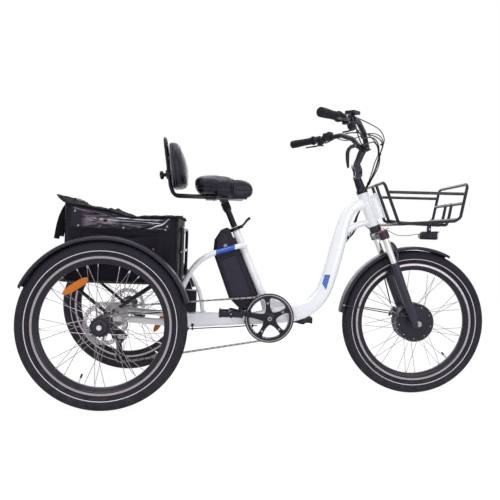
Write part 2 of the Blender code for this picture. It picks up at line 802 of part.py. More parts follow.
def build_front_wheel():
    """Rim, spokes, hub motor shell and brake disc round the fixed axle."""
    centre = FRONT_AXLE
    low = MOTOR_CENTRE_Y - MOTOR_WIDTH / 2
    high = MOTOR_CENTRE_Y + MOTOR_WIDTH / 2
    half = MOTOR_FLANGE_SPACING / 2
    bore = AXLE_RADIUS + 0.0012
    profile = [(bore, low), (0.036, low), (MOTOR_RADIUS, MOTOR_CENTRE_Y - half - 0.004),
               (MOTOR_RADIUS, MOTOR_CENTRE_Y + half + 0.004), (0.026, high), (0.026, FRONT_ROTOR_Y + 0.003),
               (bore, FRONT_ROTOR_Y + 0.003)]
    hub = turned("hub", profile, 20, place_wheel(centre), closed=True)
    rotor = rotor_body(centre, FRONT_ROTOR_Y, 0.018)
    clear_bore = rod("bore", centre + Vector((0, 0, 0)) - Vector((0, 0.06, 0)), centre + Vector((0, 0.06, 0)),
                     bore + 0.0006, 12)
    hub = cut(union(hub, rotor), clear_bore)
    spokes = spoke_set(centre, MOTOR_RADIUS - 0.004, MOTOR_FLANGE_SPACING, MOTOR_CENTRE_Y,
                       MOTOR_CROSSES_ANGLE)
    wheel = gather("front_wheel", [hub, rim_body(centre)])
    return union(wheel, spokes)


# Fenders
def fender_shell(name, centre, first_angle, last_angle, steps):
    """A crowned strip with turned-down lips, swept round the axle and thickened outwards."""
    half = FENDER_WIDTH / 2
    section = [(FENDER_RADIUS - FENDER_LIP, -half), (FENDER_RADIUS - 0.003, -half * 0.86),
               (FENDER_RADIUS, 0.0), (FENDER_RADIUS - 0.003, half * 0.86), (FENDER_RADIUS - FENDER_LIP, half)]
    rings = []
    for step in range(steps + 1):
        angle = math.radians(lerp(first_angle, last_angle, step / steps))
        outward = Vector((math.cos(angle), 0, math.sin(angle)))
        ring = [centre + outward * radius + Vector((0, across, 0)) for radius, across in section]
        outer = [centre + outward * (radius + FENDER_THICKNESS) + Vector((0, across * 1.07, 0))
                 for radius, across in reversed(section)]
        rings.append(ring + outer)
    return loft(name, rings)


def build_rear_fender(name, side):
    """Mudguard shell with the wire stays that hook on the cargo rack."""
    centre = Vector((REAR_AXLE_X, side * TRACK_HALF, AXLE_HEIGHT))
    shell = fender_shell(name, centre, 17, 156, 13)
    rack_y = side * (RACK_WIDTH / 2 + RACK_TUBE_RADIUS + GAP)
    fender_y = side * (TRACK_HALF - FENDER_WIDTH / 2)
    stays = []
    for angle, rack_x in ((27, RACK_FRONT_X - 0.030), (150, RACK_REAR_X + 0.030)):
        turn = math.radians(angle)
        reach = FENDER_RADIUS - FENDER_LIP / 2 + 0.001
        foot = centre + Vector((reach * math.cos(turn), 0, reach * math.sin(turn)))
        foot.y = fender_y - side * 0.0002
        bend = Vector((foot.x, side * (RACK_WIDTH / 2 + 0.030), lerp(foot.z, RACK_HEIGHT, 0.5)))
        start = Vector((rack_x, rack_y, RACK_HEIGHT))
        stays.append(tube("stay", [start, start + Vector((0, side * 0.012, 0)), bend, foot], 0.003, 4))
    return union(shell, *stays)


def build_front_fender():
    """Mudguard shell with its arch bridge and the wire stays to the fork legs."""
    shell = fender_shell("front_fender", FRONT_AXLE, 63, 174, 11)
    stays = []
    for side in (-1, 1):
        angle = math.radians(168)
        reach = FENDER_RADIUS - FENDER_LIP / 2 + 0.001
        foot = FRONT_AXLE + Vector((reach * math.cos(angle), side * (FENDER_WIDTH / 2 - 0.0002),
                                    reach * math.sin(angle)))
        leg = steer(LEG_SETBACK - LOWER_FOOT_RADIUS - 0.0045, side * LEG_SPACING / 2, -FORK_LENGTH + 0.045)
        bend = leg + Vector((-0.030, side * -0.003, 0.004))
        stays.append(tube("stay", [leg, bend, foot], 0.0022, 4))
    arch_low = FENDER_RADIUS + FENDER_THICKNESS - 0.001 - FORK_LENGTH
    block = box("block", (ARCH_X - 0.012, -0.012, arch_low - 0.004),
                (ARCH_X + 0.010, 0.012, ARCH_TOP - ARCH_RADIUS - GAP), STEER)
    return union(shell, block, *stays)


# Fork
FRONT_CALIPER_ANGLE = 152
CALIPER_HALF = 0.011
ARCH_X = 0.040
ARCH_TOP = -0.0970
ARCH_RADIUS = 0.0065
CROWN_FRONT = 0.026


def build_fork_crown():
    """Steerer, crown and the two bright stanchions."""
    steerer = rod("fork_crown", steer(0, 0, -0.030), steer(0, 0, HEAD_TUBE_LENGTH + 0.0006),
                  STEERER_RADIUS, 12)
    middle = rod("middle", steer(0, 0, -0.048), steer(0, 0, -GAP), 0.0245, 16)
    bridge = box("bridge", (-0.014, -LEG_SPACING / 2, -CROWN_DROP + 0.003),
                 (0.022, LEG_SPACING / 2, -0.034), STEER)
    pieces = [middle, bridge]
    for side in (-1, 1):
        y = side * LEG_SPACING / 2
        pieces.append(rod("socket", steer(LEG_SETBACK, y, -CROWN_DROP), steer(LEG_SETBACK, y, -0.028),
                          0.0205, 10))
        foot = -CROWN_DROP - STANCHION_VISIBLE - STANCHION_INSERT
        pieces.append(rod("stanchion", steer(LEG_SETBACK, y, -0.040), steer(LEG_SETBACK, y, foot),
                          STANCHION_RADIUS, 10))
    return union(steerer, *pieces)


def build_lockout_lever():
    """Red lock-out lever on the cap of the near leg."""
    y = -LEG_SPACING / 2
    low = -0.028 + GAP
    hub = rod("lockout_lever", steer(LEG_SETBACK, y, low), steer(LEG_SETBACK, y, low + 0.0046), 0.0125, 16)
    outline = [(-0.004, -0.0085), (0.016, -0.0060), (0.029, -0.0035), (0.029, 0.0035), (0.016, 0.0060),
               (-0.004, 0.0085)]
    place = STEER @ Matrix.Translation((LEG_SETBACK, y, low + 0.0027))
    return union(hub, plate("arm", outline, 0.0028, place))


def build_fork_lowers():
    """Both sliding legs, the brace over the wheel, the dropouts and the fixed axle."""
    top = -CROWN_DROP - STANCHION_VISIBLE
    legs = []
    for side in (-1, 1):
        y = side * LEG_SPACING / 2
        leg = rod("leg", steer(LEG_SETBACK, y, -0.400), steer(LEG_SETBACK, y, top), LOWER_RADIUS, 10)
        foot = rod("foot", steer(LEG_SETBACK, y, -FORK_LENGTH - 0.010), steer(LEG_SETBACK, y, -0.399),
                   LOWER_FOOT_RADIUS, 10)
        lug = rod("lug", steer(FORK_OFFSET, y - side * 0.010, -FORK_LENGTH),
                  steer(FORK_OFFSET, y + side * 0.013, -FORK_LENGTH), 0.0135, 12)
        nut = rod("nut", steer(FORK_OFFSET, y + side * 0.012, -FORK_LENGTH),
                  steer(FORK_OFFSET, y + side * 0.024, -FORK_LENGTH), 0.0095, 6)
        legs += [leg, foot, lug, nut]
    tab_low = FRONT_ROTOR_Y + CALIPER_HALF + GAP
    legs.append(box("tab", (FRONT_AXLE_X - 0.078, tab_low, AXLE_HEIGHT + 0.024),
                    (FRONT_AXLE_X - 0.034, tab_low + 0.009, AXLE_HEIGHT + 0.050)))
    reach = LEG_SPACING / 2
    brace_points = [(LEG_SETBACK, -reach, top - 0.020), (LEG_SETBACK + 0.016, -reach, top + 0.006),
                    (ARCH_X, -reach + 0.012, ARCH_TOP - 0.018), (ARCH_X, -reach + 0.030, ARCH_TOP),
                    (ARCH_X, reach - 0.030, ARCH_TOP), (ARCH_X, reach - 0.012, ARCH_TOP - 0.018),
                    (LEG_SETBACK + 0.016, reach, top + 0.006), (LEG_SETBACK, reach, top - 0.020)]
    brace = tube("brace", [steer(*point) for point in brace_points], ARCH_RADIUS, 6)
    axle = rod("axle", steer(FORK_OFFSET, -0.085, -FORK_LENGTH), steer(FORK_OFFSET, 0.085, -FORK_LENGTH),
               AXLE_RADIUS, 12)
    body = union(legs[0], *legs[1:], brace)
    for side in (-1, 1):
        y = side * LEG_SPACING / 2
        bottom = top - STANCHION_INSERT - FORK_TRAVEL - 0.006
        bore = rod("bore", steer(LEG_SETBACK, y, bottom), steer(LEG_SETBACK, y, top + 0.03),
                   STANCHION_RADIUS + GAP, 10)
        body = cut(body, bore)
    body = union(body, axle)
    body.name = "fork_lowers"
    return body


# Brake calipers
def caliper_block(name, rotor_centre, angle, half_thickness):
    """A block over the disc's edge, slotted for the disc, and the frame it is built in."""
    place = Matrix.Translation(rotor_centre) @ Matrix.Rotation(-math.radians(angle), 4, "Y")
    block = box(name, (ROTOR_RADIUS - 0.022, -half_thickness, -0.019),
                (ROTOR_RADIUS + 0.014, half_thickness, 0.019), place)
    block = bevel(block, 0.003, 1)
    slot = box("slot", (0.0, -ROTOR_THICKNESS / 2 - 0.0012, -0.03),
               (ROTOR_RADIUS + 0.003, ROTOR_THICKNESS / 2 + 0.0012, 0.03), place)
    return cut(block, slot), place


def build_rear_caliper(name, side):
    """Caliper below the stay, with the arm that stands on the axle tube's carrier."""
    rotor_y = side * (TRACK_HALF - REAR_ROTOR_OFFSET)
    centre = Vector((REAR_AXLE_X, rotor_y, AXLE_HEIGHT))
    block, place = caliper_block(name, centre, -38, 0.013)
    foot = side * (AXLE_TUBE_END - 0.012) - rotor_y
    arm = box("arm", (CARRIER_RADIUS + GAP, foot - 0.005, -0.008),
              (ROTOR_RADIUS - 0.006, foot + 0.005, 0.008), place)
    reach = -side * 0.008
    bridge = box("bridge", (ROTOR_RADIUS - 0.020, min(foot - 0.005, reach), -0.008),
                 (ROTOR_RADIUS - 0.006, max(foot + 0.005, reach), 0.008), place)
    return union(block, arm, bridge)


def build_front_caliper():
    centre = FRONT_AXLE + Vector((0, FRONT_ROTOR_Y, 0))
    block, place = caliper_block("front_caliper", centre, FRONT_CALIPER_ANGLE, CALIPER_HALF)
    barrel = rod("barrel", place @ Vector((ROTOR_RADIUS + 0.0085, 0, 0.012)),
                 place @ Vector((ROTOR_RADIUS + 0.0085, 0, 0.028)), 0.0045, 8)
    return union(block, barrel)


# Chain drive
def pitch_radius(teeth):
    return CHAIN_PITCH / (2 * math.sin(math.pi / teeth))


GUIDE_PULLEY = (-0.600, 0.215)
TENSION_PULLEY = (-0.585, 0.135)
DRIVE = (
    # centre in XZ, teeth, turning sense of the chain's path
    (CRANK_AXIS, CHAINRING_TEETH, 1),
    ((REAR_AXLE_X, AXLE_HEIGHT), SPROCKET_TEETH, 1),
    (GUIDE_PULLEY, PULLEY_TEETH, -1),
    (TENSION_PULLEY, PULLEY_TEETH, 1),
)
ROLLER_HALF = 0.0030
TOOTH_GAP = 0.0031


def chain_path():
    """The closed line of the chain as arcs and tangent runs between the toothed wheels.

    Each entry is (length, kind, data): a run has its start and direction, an arc has its
    centre, radius, first angle and sense.
    """
    count = len(DRIVE)
    headings = []
    spans = []
    for i in range(count):
        (x1, z1), teeth1, sense1 = DRIVE[i]
        (x2, z2), teeth2, sense2 = DRIVE[(i + 1) % count]
        offset = sense2 * pitch_radius(teeth2) - sense1 * pitch_radius(teeth1)
        distance = math.hypot(x2 - x1, z2 - z1)
        span = math.sqrt(distance ** 2 - offset ** 2)
        headings.append(math.atan2(z2 - z1, x2 - x1) - math.atan2(offset, span))
        spans.append(span)
    pieces = []
    for i in range(count):
        (x, z), teeth, sense = DRIVE[i]
        radius = pitch_radius(teeth)
        heading_in = headings[i - 1]
        heading_out = headings[i]
        first = heading_in - sense * math.pi / 2
        sweep = (sense * (heading_out - heading_in)) % (2 * math.pi)
        pieces.append((sweep * radius, "arc", (x, z, radius, first, sense)))
        last = heading_out - sense * math.pi / 2
        start = (x + radius * math.cos(last), z + radius * math.sin(last))
        pieces.append((spans[i], "run", (*start, heading_out)))
    return pieces


CHAIN_PATH = chain_path()
CHAIN_LENGTH = sum(piece[0] for piece in CHAIN_PATH)
CHAIN_LINKS = 2 * round(CHAIN_LENGTH / CHAIN_PITCH / 2)
CHAIN_STEP = CHAIN_LENGTH / CHAIN_LINKS


def chain_point(distance):
    """Place, outward normal and toothed-wheel number (or None) at a distance along the chain."""
    distance = distance % CHAIN_LENGTH
    for number, (length, kind, data) in enumerate(CHAIN_PATH):
        if distance <= length:
            break
        distance -= length
    if kind == "arc":
        x, z, radius, first, sense = data
        angle = first + sense * distance / radius
        place = (x + radius * math.cos(angle), z + radius * math.sin(angle))
        heading = angle + sense * math.pi / 2
        return place, heading, number // 2
    x, z, heading = data
    place = (x + distance * math.cos(heading), z + distance * math.sin(heading))
    return place, heading, None


def sprocket_phase(wheel):
    """Angle of a tooth on a toothed wheel: half way between the two rollers at mid wrap."""
    before = sum(piece[0] for piece in CHAIN_PATH[:2 * wheel])
    middle = before + CHAIN_PATH[2 * wheel][0] / 2
    link = math.floor(middle / CHAIN_STEP)
    (x, z), _, _ = DRIVE[wheel]
    place, _, _ = chain_point((link + 0.5) * CHAIN_STEP)
    return math.atan2(place[1] - z, place[0] - x)


def toothed_outline(teeth, phase):
    """Sprocket outline with one tooth for each space between two rollers."""
    radius = pitch_radius(teeth)
    root = radius - CHAIN_HEIGHT / 2 - 0.0007
    tip = radius + 0.0026
    outline = []
    for tooth in range(teeth):
        middle = phase + 2 * math.pi * tooth / teeth
        outline.append((root, middle - 0.0026 / root))
        outline.append((tip, middle))
        outline.append((root, middle + 0.0026 / root))
    return [(reach * math.cos(angle), reach * math.sin(angle)) for reach, angle in outline]


def build_chain():
    """Roller chain as one body: open links round the small toothed wheels, closed links between.

    Every roller is a cross block between two side rails. Open links are the rails alone with a
    gap for the tooth; closed links fill the gap, and are wide and narrow by turns.
    """
    bm = bmesh.new()
    half_height = CHAIN_HEIGHT / 2
    open_link = []
    for link in range(CHAIN_LINKS):
        near = [chain_point((link + share) * CHAIN_STEP)[2]
                for share in (-1.1, -0.6, 0.0, 0.5, 1.0, 1.6, 2.1)]
        open_link.append(any(wheel in (1, 2, 3) for wheel in near))

    def station(distance, full, half_width):
        (x, z), heading, _ = chain_point(distance)
        normal = (-math.sin(heading), math.cos(heading))
        rows = (-half_width, -TOOTH_GAP / 2, TOOTH_GAP / 2, half_width) if full else (-half_width, half_width)
        ring = []
        for height in (-half_height, half_height):
            ring.append([bm.verts.new((x + normal[0] * height, -CHAIN_LINE + across, z + normal[1] * height))
                         for across in rows])
        return ring

    def bridge(first, second):
        """Solid length between two stations that may have two or four points across."""
        for row in (0, 1):
            bm.faces.new([*first[row], *reversed(second[row])])
        for end in (0, -1):
            bm.faces.new((first[0][end], second[0][end], second[1][end], first[1][end]))

    def rails(first, second):
        for low, high in ((0, 1), (2, 3)):
            for row in (0, 1):
                bm.faces.new((first[row][low], first[row][high], second[row][high], second[row][low]))
            for column in (low, high):
                bm.faces.new((first[0][column], second[0][column], second[1][column], first[1][column]))
        for ring in (first, second):
            bm.faces.new((ring[0][1], ring[0][2], ring[1][2], ring[1][1]))

    stations = []
    for link in range(CHAIN_LINKS):
        full_before = open_link[link - 1]
        full_after = open_link[link]
        middle = link * CHAIN_STEP
        wide = CHAIN_WIDTH / 2
        if full_before or full_after:
            before = station(middle - ROLLER_HALF, full_before, wide)
            after = station(middle + ROLLER_HALF, full_after, wide)
        else:
            before = station(middle, False, wide if link % 2 else wide - CHAIN_PLATE)
            after = before
        stations.append((before, after))
    for link in range(CHAIN_LINKS):
        before, after = stations[link]
        if before is not after:
            bridge(before, after)
        following = stations[(link + 1) % CHAIN_LINKS][0]
        if open_link[link]:
            rails(after, following)
        else:
            bridge(after, following)
    return finish_bmesh("chain", bm)


def wheel_place(wheel, y):
    (x, z), _, _ = DRIVE[wheel]
    return Matrix.Translation((x, y, z)) @ SIDE_VIEW


def fan(count, radius_low, radius_high, angle_low, angle_high, phase=0.0):
    """Windows between the arms of a spider, as outlines about the origin."""
    windows = []
    for i in range(count):
        middle = phase + 2 * math.pi * (i + 0.5) / count
        corners = ((radius_low, -angle_low), (radius_high, -angle_high), (radius_high, angle_high),
                   (radius_low, angle_low))
        windows.append([(radius * math.cos(middle + angle), radius * math.sin(middle + angle))
                        for radius, angle in corners])
    return windows


def crank_arm(name, angle, y_inner, y_outer):
    """A tapered arm from the crank axis to the pedal's eye, with the pedal spindle."""
    x, z = CRANK_AXIS
    turn = math.radians(angle)
    side = math.copysign(1, y_outer)
    outline = []
    for reach, radius, start in ((0.0, 0.0165, 90), (CRANK_LENGTH, 0.0125, -90)):
        for step in range(5):
            around = math.radians(start + 180 * step / 4)
            outline.append((reach + radius * math.cos(around), radius * math.sin(around)))
    place = (Matrix.Translation((x, (y_inner + y_outer) / 2, z)) @ SIDE_VIEW
             @ Matrix.Rotation(turn, 4, "Z"))
    arm = plate(name, outline, abs(y_outer - y_inner), place)
    eye = Vector((x + CRANK_LENGTH * math.cos(turn), 0, z + CRANK_LENGTH * math.sin(turn)))
    spindle = rod("spindle", eye + Vector((0, y_inner + side * 0.002, 0)),
                  eye + Vector((0, side * (PEDAL_Y + 0.030), 0)), PEDAL_SPINDLE, 6)
    return union(arm, spindle)


PEDAL_SPINDLE = 0.0045
PEDAL_LENGTH = 0.094
PEDAL_WIDTH = 0.090
PEDAL_HEIGHT = 0.026


def build_crankset():
    """Chainring, the guard disc that hides its rim, spindle and both arms, which turn together."""
    x, z = CRANK_AXIS
    root = pitch_radius(CHAINRING_TEETH) - CHAIN_HEIGHT / 2 - 0.0007
    ring = plate("crankset", circle(root, CHAINRING_TEETH), TOOTH_THICKNESS,
                 wheel_place(0, -CHAIN_LINE), fan(GUARD_WINDOWS, 0.030, root - 0.014, 0.22, 0.42))
    guard = plate("guard", circle(GUARD_RADIUS, 30), 0.003, wheel_place(0, -0.0555),
                  fan(GUARD_WINDOWS, 0.030, 0.066, 0.22, 0.42))
    hub = rod("hub", (x, -0.066, z), (x, -CHAIN_LINE + 0.003, z), 0.022, 14)
    spindle = rod("spindle", (x, -0.072, z), (x, 0.072, z), 0.0095, 10)
    near = crank_arm("near_arm", CRANK_ANGLE, -0.064, -0.078)
    far = crank_arm("far_arm", CRANK_ANGLE + 180, 0.062, 0.076)
    return union(ring, guard, hub, spindle, near, far)


def pedal_centre(side):
    turn = math.radians(CRANK_ANGLE if side < 0 else CRANK_ANGLE + 180)
    return Vector((CRANK_AXIS[0] + CRANK_LENGTH * math.cos(turn), side * PEDAL_Y,
                   CRANK_AXIS[1] + CRANK_LENGTH * math.sin(turn)))


def build_pedal(name, side):
    """Platform pedal with two open bays beside its barrel."""
    centre = Matrix.Translation(pedal_centre(side))
    length = PEDAL_LENGTH / 2
    width = PEDAL_WIDTH / 2
    body = box(name, (-length, -width, -PEDAL_HEIGHT / 2), (length, width, PEDAL_HEIGHT / 2), centre)
    body = bevel(body, 0.004, 1)
    bays = [box("bay", (min(near, far), -width + 0.008, -0.02), (max(near, far), width - 0.008, 0.02), centre)
            for near, far in ((0.012, length - 0.010), (-0.012, -length + 0.010))]
    bore = rod("bore", centre @ Vector((0, -0.06, 0)), centre @ Vector((0, 0.06, 0)),
               PEDAL_SPINDLE + 0.0010, 6)
    return cut(body, *bays, bore)


def build_freewheel():
    """Sprocket stack and differential casing on the middle of the rear axle."""
    x = REAR_AXLE_X
    z = AXLE_HEIGHT
    driven = plate("freewheel", toothed_outline(SPROCKET_TEETH, sprocket_phase(1)), TOOTH_THICKNESS,
                   wheel_place(1, -CHAIN_LINE))
    discs = [rod("disc", (x, y - 0.001, z), (x, y + 0.001, z), radius, 18)
             for y, radius in ((-0.0340, 0.050),)]
    profile = [(0.0, -0.0715), (0.011, -0.0715), (0.019, -0.060), (0.019, -0.022),
               (0.034, -0.018), (0.034, 0.018), (0.016, 0.030), (0.016, 0.0385), (0.0, 0.0385)]
    core = turned("core", profile, 14, Matrix.Translation((x, 0, z)) @ ACROSS, phase=0.1)
    return union(driven, core, *discs)


def build_pulley(name, wheel):
    """Toothed jockey wheel between the plates of the derailleur cage."""
    body = plate(name, toothed_outline(PULLEY_TEETH, sprocket_phase(wheel)), TOOTH_THICKNESS,
                 wheel_place(wheel, -CHAIN_LINE), [circle(PULLEY_PIN + 0.0006, 8)])
    hub = plate("hub", circle(0.008, 8), 0.0078, wheel_place(wheel, -CHAIN_LINE),
                [circle(PULLEY_PIN + 0.0006, 8)])
    return union(body, hub)


PULLEY_PIN = 0.0028
CAGE_INNER = 0.0062
CAGE_PLATE = 0.0016


def build_derailleur():
    """Knuckle under the axle tube, parallel arms and the cage with both pulley pins."""
    guide = Vector((GUIDE_PULLEY[0], 0, GUIDE_PULLEY[1]))
    tension = Vector((TENSION_PULLEY[0], 0, TENSION_PULLEY[1]))
    along = (tension - guide).normalized()
    turn = math.degrees(math.atan2(along.z, along.x))
    outline = []
    for centre, start, radius in ((guide, turn + 90, 0.0110), (tension, turn - 90, 0.0095)):
        for step in range(5):
            around = math.radians(start + 180 * step / 4)
            outline.append((centre.x + radius * math.cos(around), centre.z + radius * math.sin(around)))
    pieces = []
    for side in (-1, 1):
        pieces.append(side_plate("cage", outline, CAGE_PLATE / 2, (), -CHAIN_LINE + side * CAGE_INNER))
    for centre in (guide, tension):
        pieces.append(rod("pin", (centre.x, -CHAIN_LINE - CAGE_INNER - 0.002, centre.z),
                          (centre.x, -CHAIN_LINE + CAGE_INNER, centre.z), PULLEY_PIN, 8))
    knuckle = box("derailleur", (REAR_AXLE_X - 0.013, -0.108, 0.236),
                  (REAR_AXLE_X + 0.009, -0.088, AXLE_HEIGHT - AXLE_TUBE_RADIUS - 0.0006))
    arm = side_plate("arm", [(-0.622, 0.262), (-0.604, 0.262), (-0.592, 0.222), (-0.594, 0.208),
                             (-0.606, 0.206), (-0.618, 0.226)], 0.0200, (), -0.0715)
    return union(bevel(knuckle, 0.003, 1), arm, *pieces)


# Seat
def build_seat_clamp():
    """Split ring on the seat tube with the ears of its quick release."""
    ring = turned("seat_clamp", [(SEAT_TUBE_RADIUS + GAP, -0.016), (SEAT_TUBE_RADIUS + 0.0055, -0.016),
                                 (SEAT_TUBE_RADIUS + 0.0055, -0.002), (SEAT_TUBE_RADIUS + GAP, -0.002)],
                  16, SEAT, closed=True)
    ears = box("ears", (SEAT_TUBE_RADIUS + 0.002, -0.010, -0.0155),
               (SEAT_TUBE_RADIUS + 0.017, 0.010, -0.0025), SEAT)
    return union(ring, ears)


def build_seat_clamp_lever():
    """Cam lever beside the clamp's ears."""
    cam_x = SEAT_TUBE_RADIUS + 0.011
    cam = rod("seat_clamp_lever", seat(cam_x, -0.0165, -0.016), seat(cam_x, -0.0165, -0.002), 0.0058, 12)
    arm = tube("arm", [seat(cam_x, -0.0170, -0.009), seat(cam_x + 0.014, -0.020, -0.003),
                       seat(cam_x + 0.030, -0.017, 0.006), seat(cam_x + 0.046, -0.016, 0.011)], 0.0038, 6)
    return union(cam, arm)


def build_seatpost():
    """Post with its collar and the bore the sprung slider runs in."""
    profile = [(0.0, -SEATPOST_INSERT), (SEATPOST_RADIUS, -SEATPOST_INSERT),
               (SEATPOST_RADIUS, SEATPOST_EXPOSED - 0.018), (0.0165, SEATPOST_EXPOSED - 0.014),
               (0.0165, SEATPOST_EXPOSED - 0.002), (0.0150, SEATPOST_EXPOSED),
               (SLIDER_RADIUS + 0.0006, SEATPOST_EXPOSED), (SLIDER_RADIUS + 0.0006, -0.020), (0.0, -0.020)]
    return turned("seatpost", profile, 14, SEAT)


RAIL_RADIUS = 0.0035
SADDLE_UNDERSIDE = 0.7990
BACKREST_BAR_Z = 0.8015


def build_seatpost_slider():
    """Sprung rod, rail clamp, both saddle rails and the plate under the backrest bars."""
    rail_z = SADDLE_UNDERSIDE - GAP - RAIL_RADIUS
    slider = rod("seatpost_slider", seat(0, 0, 0.012), seat(0, 0, 0.116), SLIDER_RADIUS, 12)
    clamp = box("clamp", (-0.206, -0.028, 0.7845), (-0.170, 0.028, rail_z - 0.0007))
    rails = [tube("rail", [(-0.232, y, 0.7895), (-0.212, y, rail_z), (-0.110, y, rail_z)], RAIL_RADIUS, 6)
             for y in (-0.022, 0.022)]
    plate_top = BACKREST_BAR_Z - BACKREST_BAR_RADIUS * HEX_FLAT - GAP
    seat_plate_low = box("tray", (-0.264, -0.038, plate_top - 0.006), (-0.224, 0.038, plate_top))
    return union(slider, clamp, *rails, seat_plate_low)


def build_saddle():
    """Wide padded saddle: crowned top, drawn-in sides, narrow nose and a flat underside."""
    high = BACKREST_BAR_Z + BACKREST_BAR_RADIUS + 0.0015
    stations = (
        # x, half width, top, underside
        (-0.3120, 0.050, 0.866, 0.842),
        (-0.3080, 0.080, 0.876, 0.828),
        (-0.2980, 0.103, 0.882, 0.818),
        (-0.2780, 0.118, 0.8855, high + 0.001),
        (-0.2480, SADDLE_WIDTH / 2, SADDLE_TOP, high),
        (-0.2240, 0.115, 0.8850, high),
        (-0.2160, 0.111, 0.8845, SADDLE_UNDERSIDE),
        (-0.1850, 0.088, 0.8830, SADDLE_UNDERSIDE),
        (-0.1500, 0.060, 0.8835, SADDLE_UNDERSIDE),
        (-0.1180, 0.043, 0.8845, SADDLE_UNDERSIDE),
        (-0.0920, 0.035, 0.8800, 0.804),
        (-0.0740, 0.028, 0.8660, 0.812),
        (-0.0640, 0.016, 0.8450, 0.824),
    )
    rings = []
    for x, half, top, low in stations:
        middle = lerp(low, top, 0.56)
        ring = []
        for i in range(22):
            angle = 2 * math.pi * (i + 0.5) / 22
            c = math.cos(angle)
            sn = math.sin(angle)
            across = half * math.copysign(abs(c) ** 0.72, c)
            if sn > 0:
                rise = middle + (top - middle) * sn ** 0.80
            else:
                rise = middle - (middle - low) * min(1.0, abs(sn) * 1.35) ** 0.85
                across *= 1 - 0.20 * abs(sn) ** 1.5
            ring.append((x, across, rise))
        rings.append(ring)
    return loft("saddle", rings)


BACK_ORIGIN = Vector((-0.4110, 0, 0.8500))
BACK_DIRECTION = Vector((-0.147, 0, 0.989)).normalized()
BACK_FORWARD = Vector((BACK_DIRECTION.z, 0, -BACK_DIRECTION.x))
BACK_TURN = Matrix((BACK_FORWARD, (0, 1, 0), BACK_DIRECTION)).transposed()
BACK = Matrix.Translation(BACK_ORIGIN) @ BACK_TURN.to_4x4()
BACK_TOP = 0.186


def back(x, y, z):
    """A point given in the frame of the backrest's upright bars."""
    return BACK @ Vector((x, y, z))


def build_backrest_bar():
    """One bent bar: two level legs under the saddle and the upright loop behind it."""
    y = BACKREST_BAR_SPACING / 2
    half = [(-0.229, y, BACKREST_BAR_Z), (-0.395, y, BACKREST_BAR_Z), back(0, y, -0.010),
            back(0, y, BACK_TOP)]
    other = [Vector((point[0], -point[1], point[2])) for point in half]
    path = rounded_path([*half, *reversed(other)], 0.022, 2)
    return tube("backrest_bar", path, BACKREST_BAR_RADIUS, 6)


def build_backrest_pad():
    """Padded backrest with the clamp plate and boss that ride on the upright bars."""
    rows = (
        # height along the bars, rear, front, half width
        (-0.0250, 0.0130, 0.0420, 0.060),
        (-0.0170, 0.0110, 0.0620, 0.095),
        (0.0050, 0.0110, 0.0700, 0.117),
        (0.0350, 0.0115, 0.0740, BACKREST_WIDTH / 2),
        (0.0700, 0.0120, 0.0730, BACKREST_WIDTH / 2),
        (0.1050, 0.0135, 0.0620, 0.121),
        (0.1330, 0.0150, 0.0480, 0.108),
        (0.1520, 0.0170, 0.0370, 0.088),
        (0.1600, 0.0200, 0.0310, 0.060),
    )
    rings = []
    for height, rear, front, half in rows:
        depth = front - rear
        ring = []
        for i in range(22):
            angle = 2 * math.pi * (i + 0.5) / 22
            c = math.cos(angle)
            sn = math.sin(angle)
            across = half * math.copysign(abs(c) ** 0.8, c)
            if sn > 0:
                reach = rear + depth * (0.35 + 0.65 * sn ** 0.9)
            else:
                reach = rear + depth * 0.35 * (1 - min(1.0, abs(sn) * 1.3) ** 0.8)
            ring.append(back(reach, across, height))
        rings.append(ring)
    pad = loft("backrest_pad", rings)
    face = BACKREST_BAR_RADIUS * HEX_FLAT + GAP
    clamp = box("clamp", (face, -0.044, 0.026), (0.024, 0.044, 0.112), BACK)
    boss = box("boss", (-0.0135, -0.019, 0.022), (face + 0.003, 0.019, 0.056), BACK)
    return union(pad, clamp, boss)


def build_backrest_knob():
    """Six-lobed hand knob behind the boss."""
    height = 0.039
    outline = []
    for i in range(12):
        radius = 0.0175 if i % 2 == 0 else 0.0140
        angle = 2 * math.pi * i / 12
        outline.append((radius * math.cos(angle), radius * math.sin(angle)))
    place = BACK @ Matrix.Translation((-0.032, 0, height)) @ Matrix.Rotation(math.radians(90), 4, "Y")
    head = plate("backrest_knob", outline, 0.016, place)
    neck = rod("neck", back(-0.030, 0, height), back(-0.0138, 0, height), 0.0085, 10)
    return union(head, neck)


